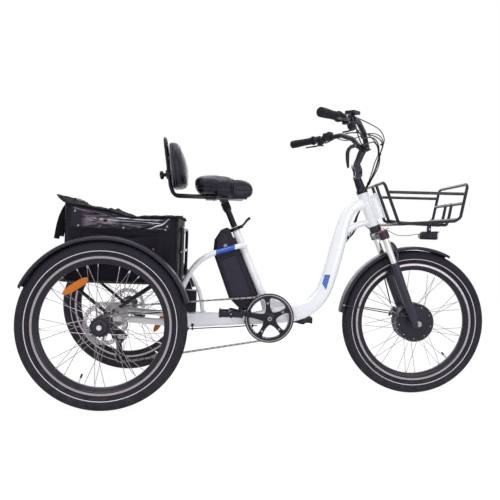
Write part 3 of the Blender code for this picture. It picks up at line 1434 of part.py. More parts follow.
# Cargo rack and bag
def build_cargo_rack():
    """Platform loop with slats, the struts to the axle tubes and the hoops for the bag."""
    half = RACK_WIDTH / 2
    corners = [(RACK_FRONT_X, -half, RACK_HEIGHT), (RACK_FRONT_X, half, RACK_HEIGHT),
               (RACK_REAR_X, half, RACK_HEIGHT), (RACK_REAR_X, -half, RACK_HEIGHT)]
    loop = tube("cargo_rack", rounded_path(corners, 0.030, 2, closed=True), RACK_TUBE_RADIUS, 6, closed=True)
    slats = [rod("slat", (x, -half, RACK_HEIGHT), (x, half, RACK_HEIGHT), 0.0055, 6)
             for x in (-0.455, -0.604, -0.752)]
    rails = [rod("rail", (RACK_FRONT_X, y, RACK_HEIGHT), (RACK_REAR_X, y, RACK_HEIGHT), 0.0055, 6)
             for y in (-0.080, 0.080)]
    foot_z = AXLE_HEIGHT + AXLE_TUBE_RADIUS + GAP
    struts = []
    for side in (-1, 1):
        y = side * 0.195
        rear = [(-0.752, y, RACK_HEIGHT), (-0.752, y, RACK_HEIGHT - 0.018), (-0.620, y, foot_z + 0.008)]
        front = [(-0.455, y, RACK_HEIGHT), (-0.455, y, RACK_HEIGHT - 0.018), (-0.604, y, foot_z + 0.008)]
        struts.append(tube("strut", rear, 0.0065, 6))
        struts.append(tube("strut", front, 0.0065, 6))
        struts.append(box("foot", (REAR_AXLE_X - 0.019, y - 0.011, foot_z),
                          (REAR_AXLE_X + 0.019, y + 0.011, foot_z + 0.014)))
    hoop_x = RACK_FRONT_X + 0.0085
    hoop_y = 0.190
    hoop_top = 0.664
    hoop_corners = [(hoop_x, -hoop_y, RACK_HEIGHT - 0.002), (hoop_x, -hoop_y, hoop_top),
                    (hoop_x, hoop_y, hoop_top), (hoop_x, hoop_y, RACK_HEIGHT - 0.002)]
    front_hoop = tube("hoop", rounded_path(hoop_corners, 0.03, 2), 0.0070, 6)
    bar = rod("bar", (hoop_x, -hoop_y, 0.574), (hoop_x, hoop_y, 0.574), 0.0060, 6)
    return union(loop, *slats, *rails, *struts, front_hoop, bar)


LID_DIP = (-0.5320, 0.6970)
LID_RISE = (-0.6170, 0.7190)
LID_UNDERSIDE = (
    # x, height of the lid's lower face
    (BAG_FRONT_X, 0.7040),
    LID_DIP,
    LID_RISE,
    (BAG_REAR_X, 0.7430),
)


def lid_underside(x):
    for (x1, z1), (x2, z2) in zip(LID_UNDERSIDE, LID_UNDERSIDE[1:]):
        if x >= x2:
            return lerp(z1, z2, (x1 - x) / (x1 - x2))
    return LID_UNDERSIDE[-1][1]


def bag_ring(level, shrink):
    """One round of the bag's wall at a share of its height, drawn in by `shrink`.

    The sides bulge at half height, and the front and rear gussets fold inwards along their
    middle and beside their corners.
    """
    middle_x = (BAG_FRONT_X + BAG_REAR_X) / 2
    half_x = (BAG_FRONT_X - BAG_REAR_X) / 2
    half_y = BAG_WIDTH / 2
    corner = 0.035
    ring = []
    swell = math.sin(math.pi * level)
    outline = []
    for quarter, (sx, sy) in enumerate(((1, -1), (1, 1), (-1, 1), (-1, -1))):
        centre = (sx * (half_x - corner), sy * (half_y - corner))
        for step in range(3):
            angle = math.radians(-90 + 90 * quarter + 45 * step)
            outline.append((centre[0] + corner * math.cos(angle),
                            centre[1] + corner * math.sin(angle), "corner"))
        if quarter in (0, 2):
            for share in (-0.60, -0.30, 0.0, 0.30, 0.60):
                outline.append((sx * half_x, (1 if quarter == 0 else -1) * share * half_y, "gusset"))
        else:
            places = (0.60 * half_x, LID_DIP[0] - middle_x, LID_RISE[0] - middle_x, -0.60 * half_x)
            for x in places if quarter == 1 else reversed(places):
                outline.append((x, sy * half_y, "side"))
    for x, y, kind in outline:
        draw = shrink
        if kind == "side":
            draw += 0.010 * (1 - swell) + 0.003 * math.cos(x * 55)
        elif kind == "gusset":
            fold = abs(y) / half_y
            crease = 0.014 if fold < 0.1 else (0.001 if fold < 0.5 else 0.008)
            draw += 0.004 + crease * (0.35 + 0.65 * swell)
        else:
            draw += 0.006 * (1 - 0.5 * swell)
        if kind == "gusset":
            x -= math.copysign(draw, x)
        elif kind == "side":
            y -= math.copysign(draw, y)
        else:
            x -= math.copysign(draw, x)
            y -= math.copysign(draw, y)
        x += middle_x
        top = lid_underside(x) - 0.0006
        bottom = BAG_BOTTOM + (BAG_WALL if shrink > 0 else 0.0)
        ring.append((x, y, lerp(bottom, top, level)))
    return ring


def build_cargo_bag():
    """Soft cargo bag with an open top: outer wall, rim, inner wall and floor."""
    levels = (0.0, 0.14, 0.5, 0.86, 1.0)
    rings = [bag_ring(level, 0.0) for level in levels]
    rings += [bag_ring(level, BAG_WALL) for level in reversed(levels[::2])]
    return loft("cargo_bag", rings)


def build_bag_lid():
    """Soft lid with a raised rear edge, its fastening strap hanging behind."""
    stations = (
        # x, rise of the underside over the bag's rim, thickness
        (-0.3530, 0.0, 0.010),
        (-0.4100, 0.0, 0.013),
        (-0.4710, 0.0, 0.0125),
        (-0.5320, 0.0, 0.0120),
        (-0.5750, 0.0, 0.0120),
        (-0.6170, 0.0, 0.0120),
        (-0.6860, 0.0, 0.0120),
        (-0.7510, 0.0, 0.0125),
        (-0.7780, 0.0010, 0.0170),
        (-0.7930, 0.0140, 0.0200),
        (-0.8010, 0.0330, 0.0120),
    )
    rings = []
    columns = 7
    for x, rise, thickness in stations:
        half = BAG_WIDTH / 2 - 0.001
        low = lid_underside(x) + rise
        under = []
        over = []
        for i in range(columns):
            share = -1 + 2 * i / (columns - 1)
            y = half * math.sin(share * math.pi / 2 * 0.999)
            ripple = 0.0025 * math.cos(share * 7 + x * 30)
            crown = thickness * (1 - 0.75 * abs(share) ** 6) + ripple * (1 - share ** 2)
            under.append((x, y, low))
            over.append((x, y, low + crown))
        rings.append(under + over[::-1])
    lid = loft("bag_lid", rings)
    strap_path = [(-0.790, 0.772), (-0.806, 0.764), (-0.832, 0.728), (-0.852, 0.672), (-0.864, 0.606)]
    strap = []
    for i, (x, z) in enumerate(strap_path):
        before = strap_path[max(i - 1, 0)]
        after = strap_path[min(i + 1, len(strap_path) - 1)]
        along = Vector((after[0] - before[0], 0, after[1] - before[1])).normalized()
        normal = Vector((along.z, 0, -along.x))
        centre = Vector((x, 0, z))
        strap.append([centre + Vector((0, across, 0)) + normal * rise
                      for across, rise in ((-0.0125, -0.0012), (0.0125, -0.0012), (0.0125, 0.0012),
                                           (-0.0125, 0.0012))])
    return union(lid, loft("strap", strap))


# Front basket and headlight
BASKET_PLANE = BRACKET_REACH + BRACKET_FLANGE + GAP + BASKET_BAR_RADIUS * HEX_FLAT


def build_front_basket():
    """Wire basket of bent bars, bolted by its two inner uprights to the head tube's flange."""
    half = BASKET_WIDTH / 2
    radius = BASKET_BAR_RADIUS
    top = 0.160
    low = -0.016
    corner = steer(BASKET_PLANE, 0, top)
    foot = steer(BASKET_PLANE, 0, low)
    pieces = []
    for side in (-1, 1):
        y = side * half
        loop = [(corner.x, y, corner.z), (foot.x, y, foot.z), (0.742, y, 0.7350), (0.7640, y, 0.7500),
                (0.7890, y, 0.8860)]
        open_loop = rounded_path(loop, 0.012, 1)
        pieces.append(tube("loop", open_loop, radius, 6))
        pieces.append(rod("rail", steer(BASKET_PLANE, y, 0.120), (0.7805, y, 0.8460), radius, 6))
        inner_y = side * 0.030
        hook = [steer(BASKET_PLANE, inner_y, top), steer(BASKET_PLANE, inner_y, 0.000),
                (0.560, inner_y, 0.7250), (0.7560, inner_y, 0.7215), (0.7660, inner_y, 0.7620),
                (0.7745, inner_y, 0.8140)]
        pieces.append(tube("hook", rounded_path(hook, 0.010, 1), radius, 6))
    for x, z in ((corner.x, corner.z), (0.7890, 0.8860), (0.7740, 0.8080), (foot.x, foot.z)):
        pieces.append(rod("bar", (x, -half, z), (x, half, z), radius, 6))
    lamp_x, lamp_z = LAMP_PIVOT
    tab = [(lamp_x - 0.009, 0.7260), (lamp_x + 0.009, 0.7260), (lamp_x + 0.008, lamp_z),
           (lamp_x + 0.004, lamp_z - 0.007), (lamp_x - 0.004, lamp_z - 0.007), (lamp_x - 0.008, lamp_z)]
    bracket = side_plate("bracket", tab, 0.0040)
    yoke = box("yoke", (lamp_x - 0.009, -0.032, 0.7200), (lamp_x + 0.009, 0.032, 0.7250))
    basket = union(pieces[0], *pieces[1:], yoke, bracket)
    basket.name = "front_basket"
    return basket


LAMP_PIVOT = (0.692, 0.7026)


def build_headlight():
    """Lamp body with a visor and two ears on the bracket's pivot."""
    x, z = LAMP_PIVOT
    outline = [(0.650, 0.6640), (0.660, 0.6580), (0.712, 0.6580), (0.7290, 0.6610), (0.7320, 0.6700),
               (0.7330, 0.6935), (0.7240, 0.6945), (0.6600, 0.6915), (0.6480, 0.6800)]
    body = bevel(side_plate("headlight", outline, 0.021), 0.004, 1, 50)
    ears = [box("ear", (x - 0.007, min(side * 0.0045, side * 0.0085), 0.6860),
                (x + 0.007, max(side * 0.0045, side * 0.0085), z + 0.006)) for side in (-1, 1)]
    clear_arc = rod("clear", (x, -0.0045, z), (x, 0.0045, z), 0.0092, 12)
    return cut(union(body, *ears), clear_arc)


# Stem and handlebar
STEM_BASE = HEAD_TUBE_LENGTH + 0.0012
FOLD_PIVOT = (0.012, 0.265)
EAR_RADIUS = 0.0155


def build_stem_column():
    """Tapered column on the steerer with the two ears of the tilting joint."""
    x, z = FOLD_PIVOT
    collar_profile = [(0.0, STEM_BASE), (0.0235, STEM_BASE), (0.0235, STEM_BASE + 0.012),
                      (0.0190, STEM_BASE + 0.018), (0.0165, z - 0.045), (0.0, z - 0.045)]
    collar = turned("stem_column", collar_profile, 12, STEER)
    shoulder = box("shoulder", (-0.012, -0.022, z - 0.052), (x + 0.0145, 0.022, z - 0.020), STEER)
    cheek_outline = [(x - 0.0145, z - 0.040), (x - 0.0145, z), (x - 0.010, z + 0.011), (x, z + 0.0155),
                     (x + 0.010, z + 0.011), (x + 0.0145, z), (x + 0.0145, z - 0.040)]
    cheeks = plate("cheeks", cheek_outline, 0.044, STEER @ SIDE_VIEW)
    slot = rod("slot", steer(x, -0.0130, z), steer(x, 0.0130, z), EAR_RADIUS + 0.0045, 16)
    return union(collar, cut(union(shoulder, cheeks), slot))


CLAMP = (0.071, 0.325)


def build_stem_head():
    """Tongue of the tilting joint, the neck and the split clamp round the handlebar."""
    x, z = FOLD_PIVOT
    clamp_x, clamp_z = CLAMP
    tongue = rod("stem_head", steer(x, -0.0122, z), steer(x, 0.0122, z), EAR_RADIUS, 16)
    neck_points = [(x - 0.010, z + 0.004), (x + 0.014, z - 0.010), (clamp_x + 0.002, clamp_z - 0.016),
                   (clamp_x - 0.012, clamp_z + 0.012)]
    neck = plate("neck", neck_points, 0.0244, STEER @ SIDE_VIEW)
    clamp = rod("clamp", steer(clamp_x, -0.024, clamp_z), steer(clamp_x, 0.024, clamp_z), 0.0185, 16)
    lug_outline = [(LEVER_PIVOT[0] - 0.006, LEVER_PIVOT[1]), (LEVER_PIVOT[0] + 0.004, LEVER_PIVOT[1] + 0.006),
                   (clamp_x, clamp_z + 0.015), (clamp_x - 0.018, clamp_z - 0.006)]
    lug = plate("lug", lug_outline, 0.010, STEER @ SIDE_VIEW)
    body = union(tongue, neck, clamp, lug)
    bore = rod("bore", steer(clamp_x, -0.03, clamp_z), steer(clamp_x, 0.03, clamp_z),
               BAR_RADIUS + 2 * GAP, 10)
    return cut(body, bore)


LEVER_PIVOT = (0.038, 0.346)


def build_stem_lever():
    """Clamp lever hanging behind the stem, with a fork over the lug."""
    x, z = LEVER_PIVOT
    arm = tube("stem_lever", smooth_path([steer(x - 0.012, 0, z + 0.006), steer(x - 0.036, 0, z - 0.010),
                                          steer(x - 0.050, 0, z - 0.042), steer(x - 0.060, 0, z - 0.078)], 1),
               0.0055, 6)
    cheeks = [box("cheek", (x - 0.018, min(side * 0.0055, side * 0.0105), z - 0.006),
                  (x + 0.007, max(side * 0.0055, side * 0.0105), z + 0.009), STEER) for side in (-1, 1)]
    bridge = box("bridge", (x - 0.020, -0.0100, z - 0.002), (x - 0.0085, 0.0100, z + 0.0085), STEER)
    return union(arm, bridge, *cheeks)


BAR_POINTS = tuple(with_head(point) for point in (
    (0.396, 0.0, 1.036), (0.394, 0.036, 1.038), (0.368, 0.088, 1.086), (0.330, 0.150, 1.112),
    (0.300, 0.185, 1.110), (0.140, 0.360, 1.096)))
GRIP_FROM = Vector(BAR_POINTS[-2])
GRIP_TO = Vector(BAR_POINTS[-1])
BAR_LENGTH = (GRIP_TO - GRIP_FROM).length


def build_handlebar():
    clamp = steer(CLAMP[0], 0, CLAMP[1])
    half = [(clamp.x, 0.044, clamp.z), *BAR_POINTS[2:]]
    line = [(x, -y, z) for x, y, z in reversed(half)] + half
    return tube("handlebar", rounded_path(line, 0.035, 2), BAR_RADIUS, 8)


def bar_frame(side):
    """Frame on the straight end of the handlebar: Z outwards along it, X up, Y ahead of it."""
    start = Vector((GRIP_FROM.x, side * GRIP_FROM.y, GRIP_FROM.z))
    end = Vector((GRIP_TO.x, side * GRIP_TO.y, GRIP_TO.z))
    place = frame_along(start, end)
    if side < 0:
        place = place @ Matrix.Diagonal((1, -1, 1, 1))
    return place


def bar_spot(side, up, ahead, along):
    return bar_frame(side) @ Vector((up, ahead, along))


def sleeve(name, side, start, end, radius, sides=12):
    """A round clamp or sleeve on the straight end of the bar."""
    low = bar_spot(side, 0, 0, start)
    high = bar_spot(side, 0, 0, end)
    return rod(name, low, high, radius, sides)


def bar_bore(side, start, end):
    return rod("bore", bar_spot(side, 0, 0, start), bar_spot(side, 0, 0, end), BAR_RADIUS + 2 * GAP, 8)


def build_grip(name, side):
    """Closed-end grip with a flared inner collar and a palm rest."""
    end = BAR_LENGTH + 0.004
    start = BAR_LENGTH - GRIP_LENGTH
    place = bar_frame(side)
    profile = [(0.0, start), (0.0205, start), (0.0205, start + 0.005), (GRIP_RADIUS, start + 0.009),
               (0.0158, start + 0.055), (0.0182, end - 0.020), (0.0182, end - 0.004), (0.0150, end),
               (0.0, end)]
    if side < 0:
        place = place @ Matrix.Diagonal((1, -1, 1, 1))
    body = turned(name, profile, 10, place)
    return cut(body, bar_bore(side, start - 0.01, BAR_LENGTH + GAP))


MOUNT_ALONG = 0.083
LEVER_HINGE = (-0.016, 0.021, 0.083)


def bar_box(name, side, low, high):
    """A box given in the frame of one bar end, for either side."""
    obj = box(name, low, high)
    obj.data.transform(bar_frame(side))
    if side < 0:
        obj.data.flip_normals()
    return obj


def build_brake_mount(name, side):
    """Bar clamp and perch that carries the brake lever."""
    clamp = sleeve(name, side, MOUNT_ALONG - 0.011, MOUNT_ALONG + 0.011, 0.0165)
    up, ahead, along = LEVER_HINGE
    perch = bar_box("perch", side, (up - 0.0110, 0.004, along - 0.010),
                    (up + 0.0095, ahead + 0.008, along + 0.010))
    slot = bar_box("slot", side, (up - 0.0050, ahead - 0.0085, along - 0.02),
                   (up + 0.0050, ahead + 0.02, along + 0.03))
    barrel = rod("barrel", bar_spot(side, up, 0.012, along - 0.006), bar_spot(side, up, 0.014, along - 0.030),
                 0.0055, 8)
    body = union(clamp, perch, barrel)
    return cut(body, slot, bar_bore(side, MOUNT_ALONG - 0.03, MOUNT_ALONG + 0.03))


def build_brake_lever(name, side):
    """Curved two-finger blade from the perch to a round tip in front of the grip."""
    up, ahead, along = LEVER_HINGE
    line = ((up, ahead, along - 0.002), (up - 0.001, ahead + 0.014, along + 0.018),
            (up - 0.002, ahead + 0.020, along + 0.045), (up - 0.002, ahead + 0.017, along + 0.075),
            (up - 0.001, ahead + 0.020, along + 0.102))
    path = smooth_path(line, 2)
    rings = []
    for i, point in enumerate(path):
        before = Vector(path[max(i - 1, 0)])
        after = Vector(path[min(i + 1, len(path) - 1)])
        run = (after - before).normalized()
        normal = Vector((0, run.z, -run.y))
        share = i / (len(path) - 1)
        half_up = lerp(0.0042, 0.0036, share)
        half_in = lerp(0.0065, 0.0040, min(1.0, share * 2.2)) + (0.0016 if share > 0.95 else 0.0)
        ring = []
        for across, rise in superellipse(half_in, half_up, 6, 2.0):
            ring.append(bar_frame(side) @ (Vector(point) + normal * across + Vector((rise, 0, 0))))
        rings.append(ring)
    return loft(name, rings)


def build_display():
    """Display case on a bar clamp beside the right-hand grip."""
    side = -1
    clamp = sleeve("display", side, -0.004, 0.010, 0.0150, 12)
    post = bar_box("post", side, (0.010, -0.006, -0.003), (0.026, 0.008, 0.009))
    case = bar_box("case", side, (0.022, -0.022, -0.026), (0.036, 0.020, 0.030))
    case = bevel(case, 0.004, 1)
    return cut(union(clamp, post, case), bar_bore(side, -0.02, 0.03))


SHIFTER_ALONG = 0.027


def build_shifter():
    """Round shifter body under the bar, inboard of the right-hand brake."""
    side = -1
    clamp = sleeve("shifter", side, SHIFTER_ALONG - 0.007, SHIFTER_ALONG + 0.007, 0.0155, 12)
    drum = rod("drum", bar_spot(side, -0.012, 0.004, SHIFTER_ALONG),
               bar_spot(side, -0.034, 0.012, SHIFTER_ALONG), 0.0165, 12)
    body = union(clamp, drum)
    return cut(body, bar_bore(side, SHIFTER_ALONG - 0.03, SHIFTER_ALONG + 0.03))


def build_shift_lever():
    """Thumb paddle on the shifter's lower face."""
    side = -1
    hub = rod("shift_lever", bar_spot(side, -0.0345, 0.0122, SHIFTER_ALONG),
              bar_spot(side, -0.0405, 0.0144, SHIFTER_ALONG), 0.0140, 12)
    arm = tube("arm", [bar_spot(side, -0.0402, 0.0115, SHIFTER_ALONG),
                       bar_spot(side, -0.0467, -0.0050, SHIFTER_ALONG + 0.008),
                       bar_spot(side, -0.0500, -0.0180, SHIFTER_ALONG + 0.022)], 0.0036, 6)
    return union(hub, arm)


def build_throttle():
    """Thumb throttle housing's moving paddle with its ring on the left end of the bar."""
    side = 1
    ring = sleeve("throttle_lever", side, 0.0465, 0.0525, 0.0175)
    bore = rod("bore", bar_spot(side, 0, 0, 0.03), bar_spot(side, 0, 0, 0.08), BAR_RADIUS + 2 * GAP, 16)
    paddle = tube("paddle", [bar_spot(side, -0.010, -0.010, 0.0495), bar_spot(side, -0.022, -0.018, 0.053),
                             bar_spot(side, -0.034, -0.020, 0.066)], 0.0030, 6)
    return cut(union(ring, paddle), bore)


def build_switch_pod():
    """Two-button switch pod on the left end of the bar."""
    side = 1
    clamp = sleeve("switch_pod", side, 0.0080, 0.0440, 0.0155, 12)
    first = bevel(bar_box("first", side, (0.004, -0.018, 0.006), (0.024, 0.010, 0.024)), 0.003, 1)
    second = bevel(bar_box("second", side, (0.004, -0.018, 0.028), (0.021, 0.010, 0.045)), 0.003, 1)
    return cut(union(clamp, first, second), bar_bore(side, -0.01, 0.06))


# Cables
def cable(name, points, radius, steps=2, sides=6):
    return tube(name, smooth_path(points, steps), radius, sides)


def build_cable_loom():
    """Sheathed loom from the bar controls down past the stem to the frame."""
    up = LEVER_HINGE[0]
    trunk_points = ((0.468, 0.004, 1.030), (0.462, 0.004, 1.000), (0.446, 0.004, 0.950),
                    (0.4255, 0.008, 0.895), (0.4180, 0.030, 0.862), (0.4260, 0.0365, 0.8350),
                    (0.4360, 0.0365, 0.8080))
    trunk = cable("cable_loom", [with_head(point) for point in trunk_points], 0.0048)
    branches = []
    for side in (1, -1):
        branches.append(cable("branch", [bar_spot(side, up, 0.0155, MOUNT_ALONG - 0.0309),
                                         bar_spot(side, up, 0.0185, MOUNT_ALONG - 0.0350),
                                         bar_spot(side, up, 0.046, MOUNT_ALONG - 0.0480),
                                         with_head((0.340, side * 0.140, 1.062)),
                                         with_head((0.420, side * 0.075, 1.052)),
                                         with_head((0.462, side * 0.022, 1.036)),
                                         with_head((0.466, 0.004, 1.005))], 0.0026, 2, 4))
    return union(trunk, *branches)


def build_front_cable():
    """Motor and brake lines from the crown down the left leg to hub and caliper."""
    upper = cable("front_cable", [steer(0.0252, 0.012, -0.046), steer(0.0252, 0.028, -0.046),
                                  steer(0.0300, 0.044, -0.047), steer(0.0360, 0.060, -0.052),
                                  steer(0.029, 0.084, -0.068),
                                  steer(0.016, LEG_SPACING / 2 + 0.0290, -0.100),
                                  steer(-0.002, LEG_SPACING / 2 + 0.0255, -0.155),
                                  steer(-0.012, LEG_SPACING / 2 + 0.0225, -0.260),
                                  steer(-0.024, LEG_SPACING / 2 + 0.0160, -0.355)], 0.0026)
    return upper


def build_rear_cables():
    """Gear and brake lines from the main tube to the rear axle."""
    return cable("rear_cables", [(-0.280, 0.0272, 0.296), (-0.340, 0.050, 0.312), (-0.395, 0.062, 0.3185),
                                 (-0.470, 0.062, 0.302), (-0.588, 0.062, 0.300)], 0.0030)


# Collected build
BUILDERS = (
    # node, colour, builder, arguments
    ("main_frame", "frame_white", build_main_frame, ()),
    ("battery_rail", "black_plastic", build_battery_rail, ()),
    ("battery", "black_plastic", build_battery, ()),
    ("controller_box", "black_plastic", build_controller_box, ()),
    ("front_tyre", "tyre_rubber", build_tyre, (FRONT_AXLE,)),
    ("front_wheel", "wheel_alloy", build_front_wheel, ()),
    ("rear_tyre_left", "tyre_rubber", build_tyre, (Vector((REAR_AXLE_X, TRACK_HALF, AXLE_HEIGHT)),)),
    ("rear_tyre_right", "tyre_rubber", build_tyre, (Vector((REAR_AXLE_X, -TRACK_HALF, AXLE_HEIGHT)),)),
    ("rear_wheel_left", "wheel_alloy", build_rear_wheel, (1,)),
    ("rear_wheel_right", "wheel_alloy", build_rear_wheel, (-1,)),
    ("rear_fender_left", "black_paint", build_rear_fender, (1,)),
    ("rear_fender_right", "black_paint", build_rear_fender, (-1,)),
    ("rear_caliper_left", "black_paint", build_rear_caliper, (1,)),
    ("rear_caliper_right", "black_paint", build_rear_caliper, (-1,)),
    ("front_fender", "black_paint", build_front_fender, ()),
    ("fork_crown", "bright_steel", build_fork_crown, ()),
    ("lockout_lever", "lever_red", build_lockout_lever, ()),
    ("fork_lowers", "fork_black", build_fork_lowers, ()),
    ("front_caliper", "black_paint", build_front_caliper, ()),
    ("chain", "chain_steel", build_chain, ()),
    ("crankset", "black_paint", build_crankset, ()),
    ("pedal_left", "black_plastic", build_pedal, (1,)),
    ("pedal_right", "black_plastic", build_pedal, (-1,)),
    ("freewheel", "bright_steel", build_freewheel, ()),
    ("guide_pulley", "black_plastic", build_pulley, (2,)),
    ("tension_pulley", "black_plastic", build_pulley, (3,)),
    ("derailleur", "black_paint", build_derailleur, ()),
    ("seat_clamp", "black_paint", build_seat_clamp, ()),
    ("seat_clamp_lever", "black_paint", build_seat_clamp_lever, ()),
    ("seatpost", "black_paint", build_seatpost, ()),
    ("seatpost_slider", "bright_steel", build_seatpost_slider, ()),
    ("saddle", "seat_vinyl", build_saddle, ()),
    ("backrest_bar", "black_paint", build_backrest_bar, ()),
    ("backrest_pad", "seat_vinyl", build_backrest_pad, ()),
    ("backrest_knob", "black_plastic", build_backrest_knob, ()),
    ("cargo_rack", "black_paint", build_cargo_rack, ()),
    ("cargo_bag", "bag_cloth", build_cargo_bag, ()),
    ("bag_lid", "bag_cloth", build_bag_lid, ()),
    ("front_basket", "black_paint", build_front_basket, ()),
    ("headlight", "black_plastic", build_headlight, ()),
    ("stem_column", "black_paint", build_stem_column, ()),
    ("stem_head", "black_paint", build_stem_head, ()),
    ("stem_lever", "black_paint", build_stem_lever, ()),
    ("handlebar", "black_paint", build_handlebar, ()),
    ("grip_left", "grip_rubber", build_grip, (1,)),
    ("grip_right", "grip_rubber", build_grip, (-1,)),
    ("brake_mount_left", "black_plastic", build_brake_mount, (1,)),
    ("brake_mount_right", "black_plastic", build_brake_mount, (-1,)),
    ("brake_lever_left", "black_paint", build_brake_lever, (1,)),
    ("brake_lever_right", "black_paint", build_brake_lever, (-1,)),
    ("display", "black_plastic", build_display, ()),
    ("shifter", "black_plastic", build_shifter, ()),
    ("shift_lever", "black_plastic", build_shift_lever, ()),
    ("throttle_lever", "black_plastic", build_throttle, ()),
    ("switch_pod", "black_plastic", build_switch_pod, ()),
    ("cable_loom", "cable_black", build_cable_loom, ()),
    ("front_cable", "cable_black", build_front_cable, ()),
    ("rear_cables", "cable_black", build_rear_cables, ()),
)

NAMED = (build_tyre, build_rear_wheel, build_rear_fender, build_rear_caliper, build_pedal, build_pulley,
         build_grip, build_brake_mount, build_brake_lever)
for node, colour, builder, arguments in BUILDERS:
    made = builder(node, *arguments) if builder in NAMED else builder(*arguments)
    made.name = node
    dress(made, colour)
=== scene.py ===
"""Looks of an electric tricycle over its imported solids: metres, X forward, Y left, +Z up.

Pieces are drawn from the vehicle's own datum and moved by SHIFT, which brings the middle of its
length to X = 0. Most are rings of points swept along a path or turned about an axle.
"""
import json
import math

import bmesh
import bpy
import numpy as np
from mathutils import Matrix, Vector
from mathutils.bvhtree import BVHTree

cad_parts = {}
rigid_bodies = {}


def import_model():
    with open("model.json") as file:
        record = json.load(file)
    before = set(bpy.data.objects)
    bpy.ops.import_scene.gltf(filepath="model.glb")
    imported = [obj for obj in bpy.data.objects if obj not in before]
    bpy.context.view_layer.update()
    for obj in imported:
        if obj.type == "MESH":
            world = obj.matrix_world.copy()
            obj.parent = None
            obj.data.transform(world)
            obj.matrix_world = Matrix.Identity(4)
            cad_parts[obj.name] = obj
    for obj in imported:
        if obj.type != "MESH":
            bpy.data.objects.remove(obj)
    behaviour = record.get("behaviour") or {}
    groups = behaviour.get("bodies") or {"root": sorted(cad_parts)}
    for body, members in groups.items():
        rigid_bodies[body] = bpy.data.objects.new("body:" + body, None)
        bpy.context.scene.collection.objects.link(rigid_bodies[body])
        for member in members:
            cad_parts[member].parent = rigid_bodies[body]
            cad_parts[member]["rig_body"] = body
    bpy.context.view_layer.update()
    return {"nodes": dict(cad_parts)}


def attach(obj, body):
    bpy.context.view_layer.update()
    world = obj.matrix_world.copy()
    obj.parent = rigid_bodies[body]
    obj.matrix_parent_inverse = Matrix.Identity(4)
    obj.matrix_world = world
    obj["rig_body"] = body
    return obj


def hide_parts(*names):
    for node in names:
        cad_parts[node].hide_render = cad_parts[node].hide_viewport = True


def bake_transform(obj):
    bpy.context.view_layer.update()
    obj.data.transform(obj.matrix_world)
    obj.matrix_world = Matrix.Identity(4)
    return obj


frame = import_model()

SHIFT = np.array((-0.0125, 0.0, 0.0))
SCENE = bpy.context.scene

# Dimensions shared with the solids
AXLE = 0.305
REAR_X = -0.612
FRONT_X = 0.637
TRACK_HALF = 0.33
SPOKES = 36
ROTOR_RADIUS = 0.08
FENDER_RADIUS = 0.3195
CHAIN_PITCH = 0.0127
CHAIN_Y = -0.045
CRANK = (0.015, 0.31)
RACK_Z = 0.456
LEG_X, LEG_Y = 0.008, 0.065
FORK_AXLE = (0.018, -0.4427)
TILT_PIVOT = (0.012, 0.265)
BAR_CLAMP = (0.071, 0.325)
BAR_END = 0.2375
CALIPER_Y = 0.276
RACK_FRONT, RACK_REAR, RACK_HALF = -0.354, -0.79, 0.235
SLATS = (-0.455, -0.604, -0.752)
STAY_Y, CROSS_TUBE, BRIDGE = 0.125, (-0.395, 0.292), (-0.318, 0.482)
BACK_Y = 0.028

# Sides of a hexagonal bolt head
HEX = 6


# Frames of reference
def turned_frame(origin, x_axis, z_axis):
    """A place with the given origin and two of its axes; Y follows from them."""
    x_axis, z_axis = Vector(x_axis), Vector(z_axis)
    turn = Matrix((x_axis, z_axis.cross(x_axis), z_axis)).transposed()
    return Matrix.Translation(origin) @ turn.to_4x4()


def lean(origin, degrees):
    """A frame in the side plane whose Z leans back by the given angle."""
    c, s = math.cos(math.radians(degrees)), math.sin(math.radians(degrees))
    return turned_frame(origin, (c, 0, s), (-s, 0, c))


STEER_TURN = lean((0, 0, 0), 22.2)
STEER_ORIGIN = Vector((FRONT_X, 0, AXLE)) + STEER_TURN @ Vector((-FORK_AXLE[0], 0, -FORK_AXLE[1]))
STEER = Matrix.Translation(STEER_ORIGIN) @ STEER_TURN
STEER_UP = tuple(STEER.col[2].xyz)
SEAT = lean((-0.1395, 0, 0.681), 24.2)
BACK = lean((-0.411, 0, 0.85), math.degrees(math.atan2(0.147, 0.989)))
ACROSS = Matrix.Rotation(math.radians(-90), 4, "X")
SIDE_VIEW = Matrix.Rotation(math.radians(90), 4, "X")
ALONG = Matrix.Rotation(math.radians(90), 4, "Y")
FACE_VIEW = Matrix(((0, 0, 1, 0), (1, 0, 0, 0), (0, 1, 0, 0), (0, 0, 0, 1)))


def steer(x, y, z):
    """A point given in the frame of the steering axis: X ahead of it, Z up along it."""
    return tuple(STEER @ Vector((x, y, z)))


def seat(x, y, z):
    """A point given in the frame of the seat tube's top."""
    return tuple(SEAT @ Vector((x, y, z)))


def back(x, y, z):
    """A point given in the frame of the backrest: X ahead, Z up along its bars."""
    return tuple(BACK @ Vector((x, y, z)))


def leg_frame(side):
    """A place on a fork leg's line, with the steering axis's directions."""
    return STEER @ Matrix.Translation((LEG_X, side * LEG_Y, 0))


def wheel_frame(x, y):
    """A place at a wheel's centre whose Z is the axle."""
    return Matrix.Translation((x, y, AXLE)) @ ACROSS


# Curves
def smooth(points, steps=6):
    """Catmull-Rom curve through points of any dimension."""
    p = np.asarray(points, float)
    p = np.vstack((2 * p[0] - p[1], p, 2 * p[-1] - p[-2]))
    t = (np.arange(steps) / steps)[:, None]
    rows = [0.5 * (2 * b + (c - a) * t + (2 * a - 5 * b + 4 * c - d) * t ** 2
                   + (3 * b - a - 3 * c + d) * t ** 3)
            for a, b, c, d in zip(p[:-3], p[1:-2], p[2:-1], p[3:])]
    return np.vstack(rows + [p[-2:-1]])


